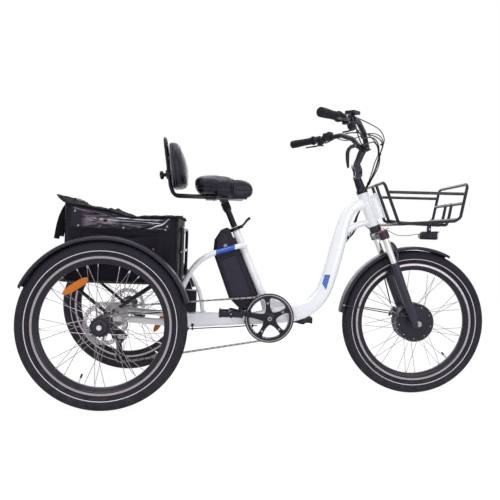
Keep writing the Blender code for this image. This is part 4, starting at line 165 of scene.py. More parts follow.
def rounded(points, radius, steps=6, closed=False):
    """A broken line whose corners are replaced by arcs."""
    points = [Vector(p) for p in points]
    count = len(points)
    path = []
    for i, corner in enumerate(points):
        if not closed and i in (0, count - 1):
            path.append(corner)
            continue
        before = points[i - 1] - corner
        after = points[(i + 1) % count] - corner
        room = 0.48 * min(before.length, after.length)
        before.normalize()
        after.normalize()
        half = before.angle(after) / 2
        if half > math.radians(88):
            path.append(corner)
            continue
        bend = min(radius, room * math.tan(half))
        reach = bend / math.tan(half)
        centre = corner + (before + after).normalized() * (bend / math.sin(half))
        first = corner + before * reach - centre
        last = corner + after * reach - centre
        sweep = first.angle(last)
        for step in range(steps + 1):
            share = step / steps
            arm = first * math.sin((1 - share) * sweep) + last * math.sin(share * sweep)
            path.append(centre + arm / math.sin(sweep))
    return np.array(path)


def rounded_box(corner, opposite, radius, steps):
    """A rectangle's outline with rounded corners."""
    (x, y), (u, v) = corner, opposite
    return rounded([(x, y, 0), (u, y, 0), (u, v, 0), (x, v, 0)], radius, steps, closed=True)[:, :2]


def unit_circle(sides):
    """Cosines and sines of even angles, half a step off the first axis."""
    angle = 2 * np.pi * (np.arange(sides) + 0.5) / sides
    return np.cos(angle), np.sin(angle)


def circle_ring(sides, power=2.0):
    """Points of a superellipse: |x|^power + |y|^power = 1."""
    c, s = unit_circle(sides)
    return np.stack((np.sign(c) * np.abs(c) ** (2 / power), np.sign(s) * np.abs(s) ** (2 / power)), 1)


def ease(low, high, value):
    """Smooth step from 0 at low to 1 at high: t * t * (3 - 2 * t)."""
    t = np.clip((value - low) / (high - low), 0, 1)
    return t * t * (3 - 2 * t)


def mirrored(profile, side):
    """A profile of (radius, height) with its heights turned over where side is -1."""
    return np.array(profile) * (1, side)


def there_and_back(half):
    """A closed profile from one half of it: the half, then its mirror image in reverse."""
    half = np.asarray(half)
    return np.vstack((half[:-1], (half * (1, -1))[::-1][:-1]))


def notched(past, depth, count, share=0.0, above=-1.0):
    """A wave for Piece.turn: past a radius and above a height, depth is cut off where
    cos(count * angle) is over share."""
    def wave(angle, reach, height):
        """The scaled radius at an angle."""
        cut = depth * (np.cos(count * angle) > share)
        return np.where((reach > past) & (height > above), reach - cut, reach)
    return wave


def unit_rows(vectors):
    """Vectors brought to a length of one."""
    return vectors / np.linalg.norm(vectors, axis=1)[:, None]


def path_frames(path, closed, up):
    """Unit tangents and two square directions carried along a path without twisting."""
    ahead = unit_rows(np.roll(path, -1, 0) - np.roll(path, 1, 0) if closed else np.gradient(path, axis=0))
    side = np.zeros_like(path)
    now = np.asarray(up, float)
    if abs(now @ ahead[0]) > 0.95:
        now = np.array((0.0, 0.0, 1.0)) if abs(ahead[0][2]) < 0.9 else np.array((1.0, 0.0, 0.0))
    for i, direction in enumerate(ahead):
        now = now - direction * (now @ direction)
        now = now / np.linalg.norm(now)
        side[i] = now
    other = np.cross(ahead, side)
    if closed:
        last = side[-1] - ahead[0] * (side[-1] @ ahead[0])
        twist = math.atan2(last @ other[0], last @ side[0]) * np.linspace(0, 1, len(path))[:, None]
        side, other = (side * np.cos(twist) - other * np.sin(twist),
                       side * np.sin(twist) + other * np.cos(twist))
    return ahead, side, other


class Piece:
    """Closed surfaces gathered into one mesh; every face carries a material number."""

    def __init__(self, name):
        self.name = name
        self.points = []
        self.faces = []
        self.slots = []
        self.count = 0

    def add(self, points, faces, slots=0):
        """Points and faces that count from the first of these points."""
        points = np.asarray(points, float).reshape(-1, 3)
        self.points.append(points)
        self.faces += [[self.count + int(i) for i in face] for face in faces]
        self.slots += list(slots) if hasattr(slots, "__len__") else [slots] * len(faces)
        self.count += len(points)

    def grid(self, rows, along=False, around=True, caps=True, slot=0):
        """Quads between neighbours of rows[i, j]; either direction can close on itself."""
        rows = np.asarray(rows, float)
        n, m = rows.shape[:2]
        index = np.arange(n * m).reshape(n, m)
        i = np.arange(n if along else n - 1)
        j = np.arange(m if around else m - 1)
        a = index[i][:, j]
        b = index[(i + 1) % n][:, j]
        c = index[(i + 1) % n][:, (j + 1) % m]
        d = index[i][:, (j + 1) % m]
        faces = np.stack((a, b, c, d), -1).reshape(-1, 4).tolist()
        slots = np.broadcast_to(np.asarray(slot), a.shape).reshape(-1).tolist()
        if caps and around and not along:
            faces += [index[0].tolist(), index[-1][::-1].tolist()]
            slots += [slots[0], slots[-1]]
        self.add(rows, faces, slots)

    def sweep(self, path, radius, sides=14, closed=False, slot=0, up=(0, 1, 0), ring=None):
        """A ring carried along a path: point = path + radius * (ring_x * side + ring_y * other)."""
        path = np.asarray(path, float)
        _, side, other = path_frames(path, closed, up)
        ring = circle_ring(sides) if ring is None else np.asarray(ring, float)
        radius = np.broadcast_to(np.asarray(radius, float), len(path))[:, None, None]
        if ring.ndim == 2:
            ring = np.broadcast_to(ring, (len(path), *ring.shape))
        rows = path[:, None] + radius * (ring[:, :, :1] * side[:, None] + ring[:, :, 1:] * other[:, None])
        self.grid(rows, along=closed, slot=slot)

    def rod(self, start, end, radius, sides=20, slot=0, place=None):
        """A round rod between two points, given in the axes of `place` if there is one."""
        ends = [start, end] if place is None else [tuple(place @ Vector(p)) for p in (start, end)]
        self.sweep(ends, radius, sides, slot=slot)

    def turn(self, profile, place, sides=48, closed=False, slot=0, wave=None):
        """A profile of (radius, height) turned about Z of `place`; wave(angle) scales the radius."""
        profile = np.asarray(profile, float)
        angle = 2 * np.pi * np.arange(sides) / sides
        reach = profile[None, :, 0] * np.ones((sides, 1))
        if wave is not None:
            reach = wave(angle[:, None], reach, profile[None, :, 1])
        rows = np.stack((reach * np.cos(angle)[:, None], reach * np.sin(angle)[:, None],
                         np.broadcast_to(profile[None, :, 1], reach.shape)), -1)
        self.grid(carried(rows, place), along=True, around=closed, caps=False, slot=slot)

    def prism(self, outline, low, high, place, slot=0):
        """A flat outline given in XY of `place`, extruded from low to high along its Z."""
        count = len(outline)
        rows = np.array([[(x, y, z) for x, y in outline] for z in (low, high)])
        faces = [[i, (i + 1) % count, count + (i + 1) % count, count + i] for i in range(count)]
        faces += [list(range(count))[::-1], list(range(count, 2 * count))]
        self.add(carried(rows, place), faces, slot)

    def block(self, corner, opposite, place=Matrix.Identity(4), slot=0):
        """A box between two opposite corners, in any order."""
        (x, y, z), (u, v, w) = np.minimum(corner, opposite), np.maximum(corner, opposite)
        self.prism(((x, y), (u, y), (u, v), (x, v)), z, w, place, slot)

    def mesh(self):
        """All surfaces as one mesh, moved by SHIFT, with touching points merged and normals outwards."""
        mesh = bpy.data.meshes.new(self.name)
        mesh.from_pydata((np.concatenate(self.points) + SHIFT).tolist(), [], self.faces)
        mesh.polygons.foreach_set("material_index", np.array(self.slots, np.int32))
        bm = bmesh.new()
        bm.from_mesh(mesh)
        bmesh.ops.remove_doubles(bm, verts=bm.verts, dist=1e-6)
        bmesh.ops.recalc_face_normals(bm, faces=bm.faces)
        bm.to_mesh(mesh)
        bm.free()
        return mesh

    def make(self, body, materials, replaces=(), bevel=0.0, angle=38.0):
        """The finished object riding on a body and standing for the replaced nodes."""
        return finish_piece(self.name, self.mesh(), body, materials, replaces, bevel, angle)


def carried(rows, place):
    """Points given in the axes of a place, in the axes of the whole."""
    turn = np.array(place.to_3x3())
    return np.asarray(rows) @ turn.T + np.array(place.translation)


def finish_piece(name, mesh, body, materials, replaces, bevel, angle):
    """Materials, smooth shading with sharp edges past an angle, rounding, body and nodes."""
    for item in materials:
        mesh.materials.append(MATERIALS[item])
    mesh.shade_smooth()
    mesh.set_sharp_from_angle(angle=math.radians(angle))
    obj = bpy.data.objects.new(name, mesh)
    SCENE.collection.objects.link(obj)
    if bevel:
        step = obj.modifiers.new("round", "BEVEL")
        step.width = bevel
        step.segments = 2
        step.limit_method = "ANGLE"
        step.angle_limit = math.radians(angle)
        step.harden_normals = False
    if body:
        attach(obj, body)
    if replaces:
        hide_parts(*replaces)
    return obj


def refine(node, material, bevel):
    """A merged copy of a solid with its flat faces joined and its edges rounded."""
    source = frame["nodes"][node]
    bm = bmesh.new()
    bm.from_mesh(source.data)
    bmesh.ops.remove_doubles(bm, verts=bm.verts, dist=1e-6)
    bmesh.ops.dissolve_limit(bm, angle_limit=math.radians(0.5), verts=bm.verts, edges=bm.edges)
    bmesh.ops.recalc_face_normals(bm, faces=bm.faces)
    mesh = bpy.data.meshes.new(node + "_look")
    bm.to_mesh(mesh)
    bm.free()
    for polygon in mesh.polygons:
        polygon.material_index = 0
    return finish_piece(node + "_look", mesh, source["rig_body"], (material,), (node,), bevel, 30.0)


# Shader building
def put(tree, target, value):
    """Link a socket, or else set its value."""
    if isinstance(value, bpy.types.NodeSocket):
        tree.links.new(value, target)
    elif target.type == "RGBA" and len(value) == 3:
        target.default_value = (*value, 1.0)
    else:
        target.default_value = value


def add(tree, kind, values=None, **settings):
    """A shader node with its settings and with values or links on its inputs."""
    node = tree.nodes.new("ShaderNode" + kind)
    for key, value in settings.items():
        setattr(node, key, value)
    for key, value in (values or {}).items():
        put(tree, node.inputs[key], value)
    return node


def calc(tree, operation, *values):
    """One step of arithmetic."""
    return add(tree, "Math", dict(enumerate(values)), operation=operation, use_clamp=False).outputs[0]


def blend_colour(tree, share, first, second):
    """The first colour where share is 0 and the second where it is 1."""
    return add(tree, "Mix", {0: share, 6: first, 7: second}, data_type="RGBA").outputs[2]


def span(tree, value, low, high, to_low=0.0, to_high=1.0):
    """A straight rise from to_low at low to to_high at high, level beyond both."""
    return add(tree, "MapRange", {"Value": value, "From Min": low, "From Max": high, "To Min": to_low,
                                  "To Max": to_high}).outputs[0]


def spot(tree, scale=(1, 1, 1), turn=(0, 0, 0)):
    """Object coordinates, stretched and turned."""
    source = add(tree, "TexCoord").outputs["Object"]
    return add(tree, "Mapping", {"Vector": source, "Rotation": turn, "Scale": scale}).outputs[0]


def parts(tree, vector=None):
    """The three numbers of a vector, or else of the object coordinates."""
    return add(tree, "SeparateXYZ", {0: vector or spot(tree)}).outputs


def effect(name, inputs, outputs, build):
    """A shader node group with named sockets; build(tree, inputs) returns what the outputs carry."""
    tree = bpy.data.node_groups.new(name, "ShaderNodeTree")
    for label, value in inputs.items():
        item = tree.interface.new_socket(name=label, in_out="INPUT", socket_type="NodeSocketFloat")
        item.default_value = value
    for label, kind in outputs.items():
        tree.interface.new_socket(name=label, in_out="OUTPUT", socket_type="NodeSocket" + kind)
    source = tree.nodes.new("NodeGroupInput")
    target = tree.nodes.new("NodeGroupOutput")
    for label, value in build(tree, source.outputs).items():
        put(tree, target.inputs[label], value)
    return tree


def use(tree, group, **values):
    """The outputs of a shared node group."""
    node = tree.nodes.new("ShaderNodeGroup")
    node.node_tree = group
    for label, value in values.items():
        put(tree, node.inputs[label.replace("_", " ")], value)
    return node.outputs


def speckle_nodes(tree, given):
    """Soft spots."""
    noise = add(tree, "TexNoise", {"Vector": spot(tree), "Scale": given["Scale"], "Detail": 5.0,
                                   "Roughness": 0.6})
    return {"Mask": span(tree, noise.outputs[0], 0.32, 0.68)}


def bumped(tree, given, height, mask):
    """The outputs of a relief group: the normal that a height gives, and a mask."""
    bump = add(tree, "Bump", {"Height": height, "Distance": given["Height"], "Strength": given["Strength"]})
    return {"Normal": bump.outputs[0], "Mask": mask}


def relief_nodes(tree, given):
    """Fine grain."""
    noise = add(tree, "TexNoise", {"Vector": spot(tree), "Scale": given["Scale"], "Detail": 3.0}).outputs[0]
    return bumped(tree, given, noise, noise)


def wear_nodes(tree, given):
    """Convex edges, in patches."""
    edge = span(tree, add(tree, "NewGeometry").outputs["Pointiness"], 0.53, 0.6)
    noise = add(tree, "TexNoise", {"Vector": spot(tree), "Scale": 240.0, "Detail": 4.0})
    patch = span(tree, noise.outputs[0], 0.42, 0.62)
    return {"Mask": calc(tree, "MULTIPLY", calc(tree, "MULTIPLY", edge, patch), given["Amount"])}


def dust_nodes(tree, given):
    """Patches of dust, thicker near the ground and on faces that look up."""
    up = parts(tree, add(tree, "NewGeometry").outputs["Normal"])[2]
    height = parts(tree)[2]
    low = span(tree, height, 0.02, 0.42, 0.6, 0.0)
    lying = span(tree, up, 0.2, 1.0, 0.0, 0.7)
    noise = add(tree, "TexNoise", {"Vector": spot(tree), "Scale": 34.0, "Detail": 7.0, "Roughness": 0.7})
    patch = span(tree, noise.outputs[0], 0.4, 0.74)
    both = calc(tree, "MULTIPLY", calc(tree, "ADD", low, lying), patch)
    return {"Mask": calc(tree, "MULTIPLY", both, given["Amount"])}


def weave_nodes(tree, given):
    """Crossed threads: one set runs along x - y and the other along z + y."""
    x, y, z = parts(tree)
    warp = calc(tree, "MULTIPLY", calc(tree, "SUBTRACT", x, y), given["Scale"])
    weft = calc(tree, "MULTIPLY", calc(tree, "ADD", z, calc(tree, "MULTIPLY", y, 0.55)), given["Scale"])
    cross = calc(tree, "MULTIPLY", calc(tree, "SINE", warp), calc(tree, "SINE", weft))
    fine = add(tree, "TexNoise", {"Vector": spot(tree), "Scale": 900.0}).outputs[0]
    height = calc(tree, "ADD", span(tree, cross, -1.0, 1.0), calc(tree, "MULTIPLY", fine, 0.4))
    return bumped(tree, given, height, span(tree, cross, -1.0, 1.0))


def hide_nodes(tree, given):
    """Pebbled vinyl: rounded cells with fine creases between them."""
    cells = add(tree, "TexVoronoi", {"Vector": spot(tree), "Scale": given["Scale"], "Randomness": 1.0},
                feature="SMOOTH_F1").outputs[0]
    return bumped(tree, given, cells, cells)


BUMPY = {"Scale": 300.0, "Height": 0.0002, "Strength": 0.5}
SPECKLE = effect("speckle", {"Scale": 60.0}, {"Mask": "Float"}, speckle_nodes)
RELIEF = effect("relief", BUMPY, {"Normal": "Vector", "Mask": "Float"}, relief_nodes)
WEAR = effect("edge_wear", {"Amount": 0.5}, {"Mask": "Float"}, wear_nodes)
DUST = effect("dust", {"Amount": 0.3}, {"Mask": "Float"}, dust_nodes)
WEAVE = effect("weave", BUMPY, {"Normal": "Vector", "Mask": "Float"}, weave_nodes)
HIDE = effect("hide", BUMPY, {"Normal": "Vector", "Mask": "Float"}, hide_nodes)
MATERIALS = {}
DUST_COLOUR = (0.36, 0.34, 0.32)
DARK, DARK_TINT = 0.06, (0.84, 0.77, 1.0, 1.0)


def surface(name, colour, rough, metal=0.0, tone=0.12, scale=60.0, relief=None, texture=RELIEF, wear=0.0,
            worn=(0.45, 0.44, 0.43), dust=0.12, paint=None, **constants):
    """A material whose colour and roughness vary a little, with dust, worn edges and relief."""
    made = bpy.data.materials.new(name)
    made.use_nodes = True
    tree = made.node_tree
    shader = tree.nodes["Principled BSDF"]
    mask = use(tree, SPECKLE, Scale=scale)["Mask"]
    dark = tuple(c * (1 - tone) for c in colour)
    light = tuple(min(1.0, c * (1 + tone)) for c in colour)
    base = blend_colour(tree, mask, dark, light)
    roughness = span(tree, mask, 0.0, 1.0, rough * 0.88, min(1.0, rough * 1.14))
    if relief:
        shape = use(tree, texture, Scale=relief[0], Height=relief[1], Strength=relief[2])
        put(tree, shader.inputs["Normal"], shape["Normal"])
        if texture is not RELIEF:
            base = blend_colour(tree, span(tree, shape["Mask"], 0.0, 1.0, 0.0, 0.35), base, dark)
    if paint:
        base = paint(tree, base)
    if wear:
        base = blend_colour(tree, use(tree, WEAR, Amount=wear)["Mask"], base, worn)
    if dust:
        film = use(tree, DUST, Amount=dust)["Mask"]
        base = blend_colour(tree, film, base, DUST_COLOUR)
        roughness = calc(tree, "ADD", roughness, calc(tree, "MULTIPLY", film, 0.3))
    put(tree, shader.inputs["Base Color"], base)
    put(tree, shader.inputs["Roughness"], roughness)
    shader.inputs["Metallic"].default_value = metal
    if max(colour) < DARK:
        shader.inputs["Specular Tint"].default_value = DARK_TINT
    for label, value in constants.items():
        socket = shader.inputs[label.replace("_", " ")]
        socket.default_value = value
    MATERIALS[name] = made


def inside(tree, value, low, high, soft=0.0006):
    """A mask that is one between two values of a coordinate."""
    rise = span(tree, value, low - soft, low + soft)
    fall = span(tree, value, high - soft, high + soft, 1.0, 0.0)
    return calc(tree, "MULTIPLY", rise, fall)


ACCENT_BLUE = (0.001, 0.085, 0.5)
SLEEVE_X, SLEEVE_Z = (-0.226, -0.15), (0.56, 0.64)
BARS_Z, BARS_ACROSS, BARS_FOOT = (0.4, 0.4955), (0.1088, 0.1328), (0.579, 0.58)


def frame_accents(tree, base):
    """A plain blue sleeve on both arch tubes and slanted blue bars on the main tube.

    The bars are a sine of x - 0.72 z inside a patch that leans with x - 0.25 z and has a slanted foot.
    """
    x, y, z = parts(tree)
    away = calc(tree, "ABSOLUTE", y)
    sleeve = calc(tree, "MULTIPLY", inside(tree, x, *SLEEVE_X), inside(tree, z, *SLEEVE_Z))
    sleeve = calc(tree, "MULTIPLY", sleeve, span(tree, away, 0.034, 0.036))
    rake = calc(tree, "SUBTRACT", x, calc(tree, "MULTIPLY", z, 0.25))
    foot = calc(tree, "ADD", z, calc(tree, "MULTIPLY", rake, 1.13))
    slant = calc(tree, "SUBTRACT", x, calc(tree, "MULTIPLY", z, 0.72))
    bars = span(tree, calc(tree, "SINE", calc(tree, "MULTIPLY", slant, 620.0)), -0.9, -0.75, 0.7, 1.0)
    band = calc(tree, "MULTIPLY", inside(tree, z, *BARS_Z), inside(tree, rake, *BARS_ACROSS))
    band = calc(tree, "MULTIPLY", band, span(tree, foot, *BARS_FOOT))
    band = calc(tree, "MULTIPLY", calc(tree, "MULTIPLY", band, bars), span(tree, away, 0.02, 0.022))
    return blend_colour(tree, calc(tree, "MAXIMUM", sleeve, band), base, ACCENT_BLUE)


# Painted reflections on the bag's film: where the mauve sheen lies, its colour, and the pale highlight lines
FILM_SHEEN_X, FILM_SHEEN_LOW = (-0.718, -0.596), (0.656, 0.662)
FILM_SHEEN_MAUVE, FILM_GLINT_PALE = (0.155, 0.12, 0.145), (0.8, 0.79, 0.86)
FILM_GLINT_LINES = (
    # painted highlight lines: first x, last x, half width, heights above 0.650 in tenths of a metre at even
    # steps
    (-0.496, -0.409, 0.003, (0.035, 0.085, 0.18, 0.245, 0.45)),
    (-0.595, -0.436, 0.0016, (0.44, 0.425, 0.4, 0.405, 0.405)),
    (-0.676, -0.435, 0.0017, (0.385, 0.35, 0.325, 0.31, 0.27)),
    (-0.53, -0.505, 0.0026, (0.408, 0.404, 0.4)))


def painted_film_glints(tree, base):
    """Painted reflections on the film: pale highlight lines along its folds, and a painted mauve sheen with
    dark wrinkles towards the rear.
    """
    x, _, z = parts(tree)
    stretched = spot(tree, (7.0, 7.0, 62.0), (0.0, math.radians(-9), 0.0))
    wrinkle = add(tree, "TexNoise", {"Vector": stretched, "Scale": 1.7, "Detail": 2.0,
                                     "Distortion": 0.6}).outputs[0]
    # mask of the painted mauve sheen: a patch under a slanted line, broken up by the streaky noise
    rim = calc(tree, "SUBTRACT", 0.64, calc(tree, "MULTIPLY", x, 0.1))
    patch = calc(tree, "MULTIPLY", inside(tree, x, *FILM_SHEEN_X, 0.01), span(tree, z, *FILM_SHEEN_LOW))
    patch = calc(tree, "MULTIPLY", patch, span(tree, calc(tree, "SUBTRACT", rim, z), 0.0, 0.004))
    patch = calc(tree, "MULTIPLY", patch, span(tree, wrinkle, 0.44, 0.52))
    base = blend_colour(tree, patch, base, FILM_SHEEN_MAUVE)
    # each line is a painted pale highlight along a fold of the film
    for first, last, half, heights in FILM_GLINT_LINES:
        curve = add(tree, "FloatCurve", {"Value": span(tree, x, first, last)})
        points = curve.mapping.curves[0].points
        while len(points) < len(heights):
            points.new(0.5, 0.5)
        for point, share, height in zip(points, np.linspace(0, 1, len(heights)), heights):
            point.location = (share, height)
        curve.mapping.update()
        line = calc(tree, "ADD", calc(tree, "MULTIPLY", curve.outputs[0], 0.1), 0.65)
        gap = calc(tree, "ABSOLUTE", calc(tree, "SUBTRACT", z, line))
        shine = span(tree, gap, 0.4 * half, half, 1.0, 0.0)
        shine = calc(tree, "MULTIPLY", shine, inside(tree, x, first, last, 0.012))
        shine = calc(tree, "MULTIPLY", shine, span(tree, wrinkle, 0.36, 0.5, 0.45, 1.0))
        base = blend_colour(tree, shine, base, FILM_GLINT_PALE)
    return base


def make_materials():
    """Every finish: colour, roughness, then what differs from a plain surface."""
    surface("frame_white", (0.85, 0.868, 0.915), 0.2, tone=0.025, scale=9.0, relief=(420.0, 0.00005, 0.25),
            dust=0.1, wear=0.25, worn=(0.42, 0.42, 0.43), paint=frame_accents, Coat_Weight=0.6,
            Coat_Roughness=0.05)
    surface("black_paint", (0.009, 0.0085, 0.012), 0.27, relief=(500.0, 0.00005, 0.3), dust=0.05, wear=0.3,
            Specular_IOR_Level=0.25, Coat_Weight=0.08, Coat_Roughness=0.12)
    surface("black_plastic", (0.013, 0.012, 0.017), 0.44, relief=(1500.0, 0.00008, 0.5), dust=0.06, wear=0.25,
            worn=(0.07, 0.07, 0.08), Specular_IOR_Level=0.25)
    surface("fender_plastic", (0.018, 0.016, 0.024), 0.38, relief=(1300.0, 0.00006, 0.4), dust=0.05, wear=0.2,
            worn=(0.14, 0.14, 0.15), Specular_IOR_Level=0.3)
    surface("battery_shell", (0.021, 0.019, 0.03), 0.38, relief=(1800.0, 0.00007, 0.5), dust=0.03, wear=0.25,
            worn=(0.1, 0.1, 0.11), Specular_IOR_Level=0.3)
    surface("fork_black", (0.02, 0.018, 0.03), 0.36, Specular_IOR_Level=0.3, relief=(700.0, 0.00006, 0.35),
            dust=0.06, wear=0.3, Coat_Weight=0.2, Coat_Roughness=0.2)
    surface("tyre_rubber", (0.019, 0.017, 0.024), 0.78, tone=0.18, scale=120.0, relief=(900.0, 0.0002, 0.5),
            dust=0.14, Specular_IOR_Level=0.25)
    surface("reflex_stripe", (0.62, 0.62, 0.64), 0.35, tone=0.06, relief=(2600.0, 0.0001, 0.6), dust=0.4)
    surface("grip_rubber", (0.013, 0.012, 0.016), 0.66, relief=(1100.0, 0.00015, 0.6), dust=0.05,
            Specular_IOR_Level=0.2)
    surface("cable_black", (0.009, 0.0085, 0.011), 0.42, dust=0.04, Specular_IOR_Level=0.25)
    surface("rim_black", (0.009, 0.008, 0.012), 0.33, dust=0.06, Specular_IOR_Level=0.3, Coat_Weight=0.12,
            Coat_Roughness=0.15)
    surface("machined_band", (0.36, 0.32, 0.34), 0.26, metal=1.0, tone=0.16, scale=180.0,
            relief=(2200.0, 0.00006, 0.6), dust=0.1)
    surface("bright_steel", (0.7, 0.69, 0.69), 0.16, metal=1.0, tone=0.05, dust=0.12)
    surface("satin_steel", (0.33, 0.31, 0.335), 0.32, metal=1.0, relief=(900.0, 0.00005, 0.5), dust=0.2)
    surface("spoke_steel", (0.27, 0.235, 0.265), 0.24, metal=1.0, dust=0.06)
    surface("stanchion", (0.66, 0.64, 0.65), 0.1, metal=1.0, tone=0.03, dust=0.05)
    surface("chain_steel", (0.17, 0.11, 0.085), 0.44, metal=1.0, tone=0.35, scale=220.0, dust=0.12)
    surface("motor_black", (0.012, 0.011, 0.015), 0.42, relief=(1000.0, 0.0001, 0.5), dust=0.06, wear=0.4,
            Specular_IOR_Level=0.32)
    surface("bag_cloth", (0.007, 0.0065, 0.009), 0.56, texture=WEAVE, relief=(2400.0, 0.0004, 0.6), tone=0.22,
            scale=26.0, dust=0.03, Sheen_Weight=0.03, Sheen_Roughness=0.4, Specular_IOR_Level=0.16)
    surface("lid_cloth", (0.0035, 0.0033, 0.0045), 0.85, texture=WEAVE, relief=(2400.0, 0.0004, 0.6),
            tone=0.25, scale=30.0, dust=0.01, Specular_IOR_Level=0.06)
    # the film's colour carries painted reflections: a mauve sheen and pale highlight lines
    surface("bag_gloss", (0.008, 0.0065, 0.012), 0.12, tone=0.1, dust=0.01, paint=painted_film_glints,
            Specular_IOR_Level=0.25, Coat_Weight=0.15, Coat_Roughness=0.05)
    surface("webbing", (0.012, 0.011, 0.015), 0.7, texture=WEAVE, relief=(3600.0, 0.0005, 0.8), dust=0.04,
            Sheen_Weight=0.04, Specular_IOR_Level=0.15)
    surface("seat_vinyl", (0.0095, 0.0085, 0.0145), 0.34, texture=HIDE, relief=(900.0, 0.0003, 0.4),
            tone=0.15, dust=0.02, Specular_IOR_Level=0.28, Coat_Weight=0.06, Coat_Roughness=0.3)
    # seam piping: a real welt, painted lighter than the vinyl as a highlight along the seams
    surface("piping_painted_highlight", (0.055, 0.05, 0.07), 0.35, relief=(900.0, 0.0001, 0.4), dust=0.0)
    surface("lever_red", (0.72, 0.018, 0.028), 0.32, relief=(900.0, 0.00005, 0.4), dust=0.08, wear=0.3,
            Coat_Weight=0.3, Coat_Roughness=0.1)
    surface("reflector_orange", (0.56, 0.145, 0.002), 0.22, texture=HIDE, relief=(420.0, 0.0006, 0.7),
            tone=0.12, dust=0.02, Specular_IOR_Level=0.3, Coat_Weight=0.15, Coat_Roughness=0.04)
    surface("lamp_glass", (0.86, 0.88, 0.9), 0.05, tone=0.02, dust=0.05, Transmission_Weight=0.75,
            IOR=1.46)
    surface("lamp_mirror", (0.85, 0.85, 0.86), 0.08, metal=1.0, dust=0.0)
    surface("screen_glass", (0.012, 0.013, 0.016), 0.06, tone=0.0, dust=0.04, Coat_Weight=1.0,
            Coat_Roughness=0.03)
    surface("button_grey", (0.25, 0.25, 0.27), 0.45, dust=0.05)


make_materials()


# Camera, light and floor
CAMERA_PLACE = (-0.2385, -2.381, 0.636)
CAMERA_TURN = (3.72, 1.18, 2.11)
FOCAL_PIXELS, IMAGE_PIXELS, SENSOR = 568.7, 500, 36
FLOOR_REACH, FLOOR_GLOW, FLOOR_SHARE, FILL_LIGHT = 30.0, 1.09, 0.86, 0.52


def place_camera():
    """Camera at the photograph's viewing angle: yaw, pitch and roll in degrees."""
    yaw, pitch, roll = (math.radians(a) for a in CAMERA_TURN)
    forward = Vector((math.sin(yaw) * math.cos(pitch), math.cos(yaw) * math.cos(pitch), -math.sin(pitch)))
    right = Vector((math.cos(yaw), -math.sin(yaw), 0))
    up = right.cross(forward)
    across = right * math.cos(roll) + up * math.sin(roll)
    top = up * math.cos(roll) - right * math.sin(roll)
    data = bpy.data.cameras.new("camera")
    data.sensor_width = SENSOR
    data.lens = FOCAL_PIXELS / IMAGE_PIXELS * SENSOR
    camera = bpy.data.objects.new("camera", data)
    SCENE.collection.objects.link(camera)
    turn = Matrix((across, top, -forward)).transposed().to_4x4()
    camera.matrix_world = Matrix.Translation(CAMERA_PLACE) @ turn
    SCENE.camera = camera


def lamp(name, place, aim, size, power):
    """A soft rectangular light turned towards a point."""
    data = bpy.data.lights.new(name, "AREA")
    data.shape = "RECTANGLE"
    data.size, data.size_y = size
    data.energy = power
    obj = bpy.data.objects.new(name, data)
    SCENE.collection.objects.link(obj)
    direction = Vector(aim) - Vector(place)
    obj.matrix_world = Matrix.Translation(place) @ direction.to_track_quat("-Z", "Y").to_matrix().to_4x4()


def seen_directly(tree):
    """One for rays from the camera, from glossy surfaces and through glass."""
    path = add(tree, "LightPath")
    either = calc(tree, "MAXIMUM", path.outputs["Is Camera Ray"], path.outputs["Is Glossy Ray"])
    return calc(tree, "MAXIMUM", either, path.outputs["Is Transmission Ray"])


def light_scene():
    """White surroundings, dimmer as a light than as a background, and four soft lamps."""
    world = bpy.data.worlds.new("studio")
    world.use_nodes = True
    tree = world.node_tree
    tree.nodes.clear()
    strength = span(tree, seen_directly(tree), 0.0, 1.0, FILL_LIGHT, 1.0)
    background = add(tree, "Background", {"Color": (1.0, 1.0, 1.0), "Strength": strength})
    output = add(tree, "OutputWorld")
    tree.links.new(background.outputs[0], output.inputs[0])
    SCENE.world = world
    lamp("key", (-1.6, -3.0, 3.4), (0, 0, 0.5), (2.2, 2.2), 62)
    lamp("front", (1.8, -3.4, 1.4), (0.1, 0, 0.6), (1.8, 2.4), 30)
    lamp("over", (0.2, 0.6, 3.2), (0, 0, 0.4), (3.0, 2.0), 40)
    lamp("rear", (-0.4, 3.4, 1.8), (0, 0, 0.6), (3.0, 1.8), 30)


def build_floor():
    """Plain floor that glows where it is seen, so that it runs into the background."""
    mesh = bpy.data.meshes.new("floor")
    corners = [(x * FLOOR_REACH, y * FLOOR_REACH, 0) for x, y in ((-1, -1), (1, -1), (1, 1), (-1, 1))]
    mesh.from_pydata(corners, [], [(0, 1, 2, 3)])
    made = bpy.data.materials.new("floor")
    made.use_nodes = True
    tree = made.node_tree
    tree.nodes.clear()
    plain = add(tree, "BsdfDiffuse", {"Color": (0.86, 0.86, 0.87)})
    white = add(tree, "Emission", {"Color": (1.0, 1.0, 1.0), "Strength": FLOOR_GLOW})
    share = calc(tree, "MULTIPLY", seen_directly(tree), FLOOR_SHARE)
    both = add(tree, "MixShader", {0: share, 1: plain.outputs[0], 2: white.outputs[0]})
    output = add(tree, "OutputMaterial")
    tree.links.new(both.outputs[0], output.inputs[0])
    mesh.materials.append(made)
    floor = bpy.data.objects.new("floor", mesh)
    SCENE.collection.objects.link(floor)


place_camera()
light_scene()
build_floor()
SCENE.view_settings.view_transform = "Standard"


# Wheels
TYRE_COLUMNS = 1008
TYRE_MIDDLE = (0.279, 0.0)
TYRE_HALF = ((0.2537, 0.0), (0.2538, 0.012), (0.2562, 0.0148), (0.261, 0.0178), (0.2662, 0.0208),
             (0.269, 0.022), (0.275, 0.024), (0.282, 0.025), (0.288, 0.0244), (0.2935, 0.0224),
             (0.2975, 0.0194), (0.3008, 0.0152), (0.3032, 0.0104), (0.3045, 0.0056), (0.305, 0.0))


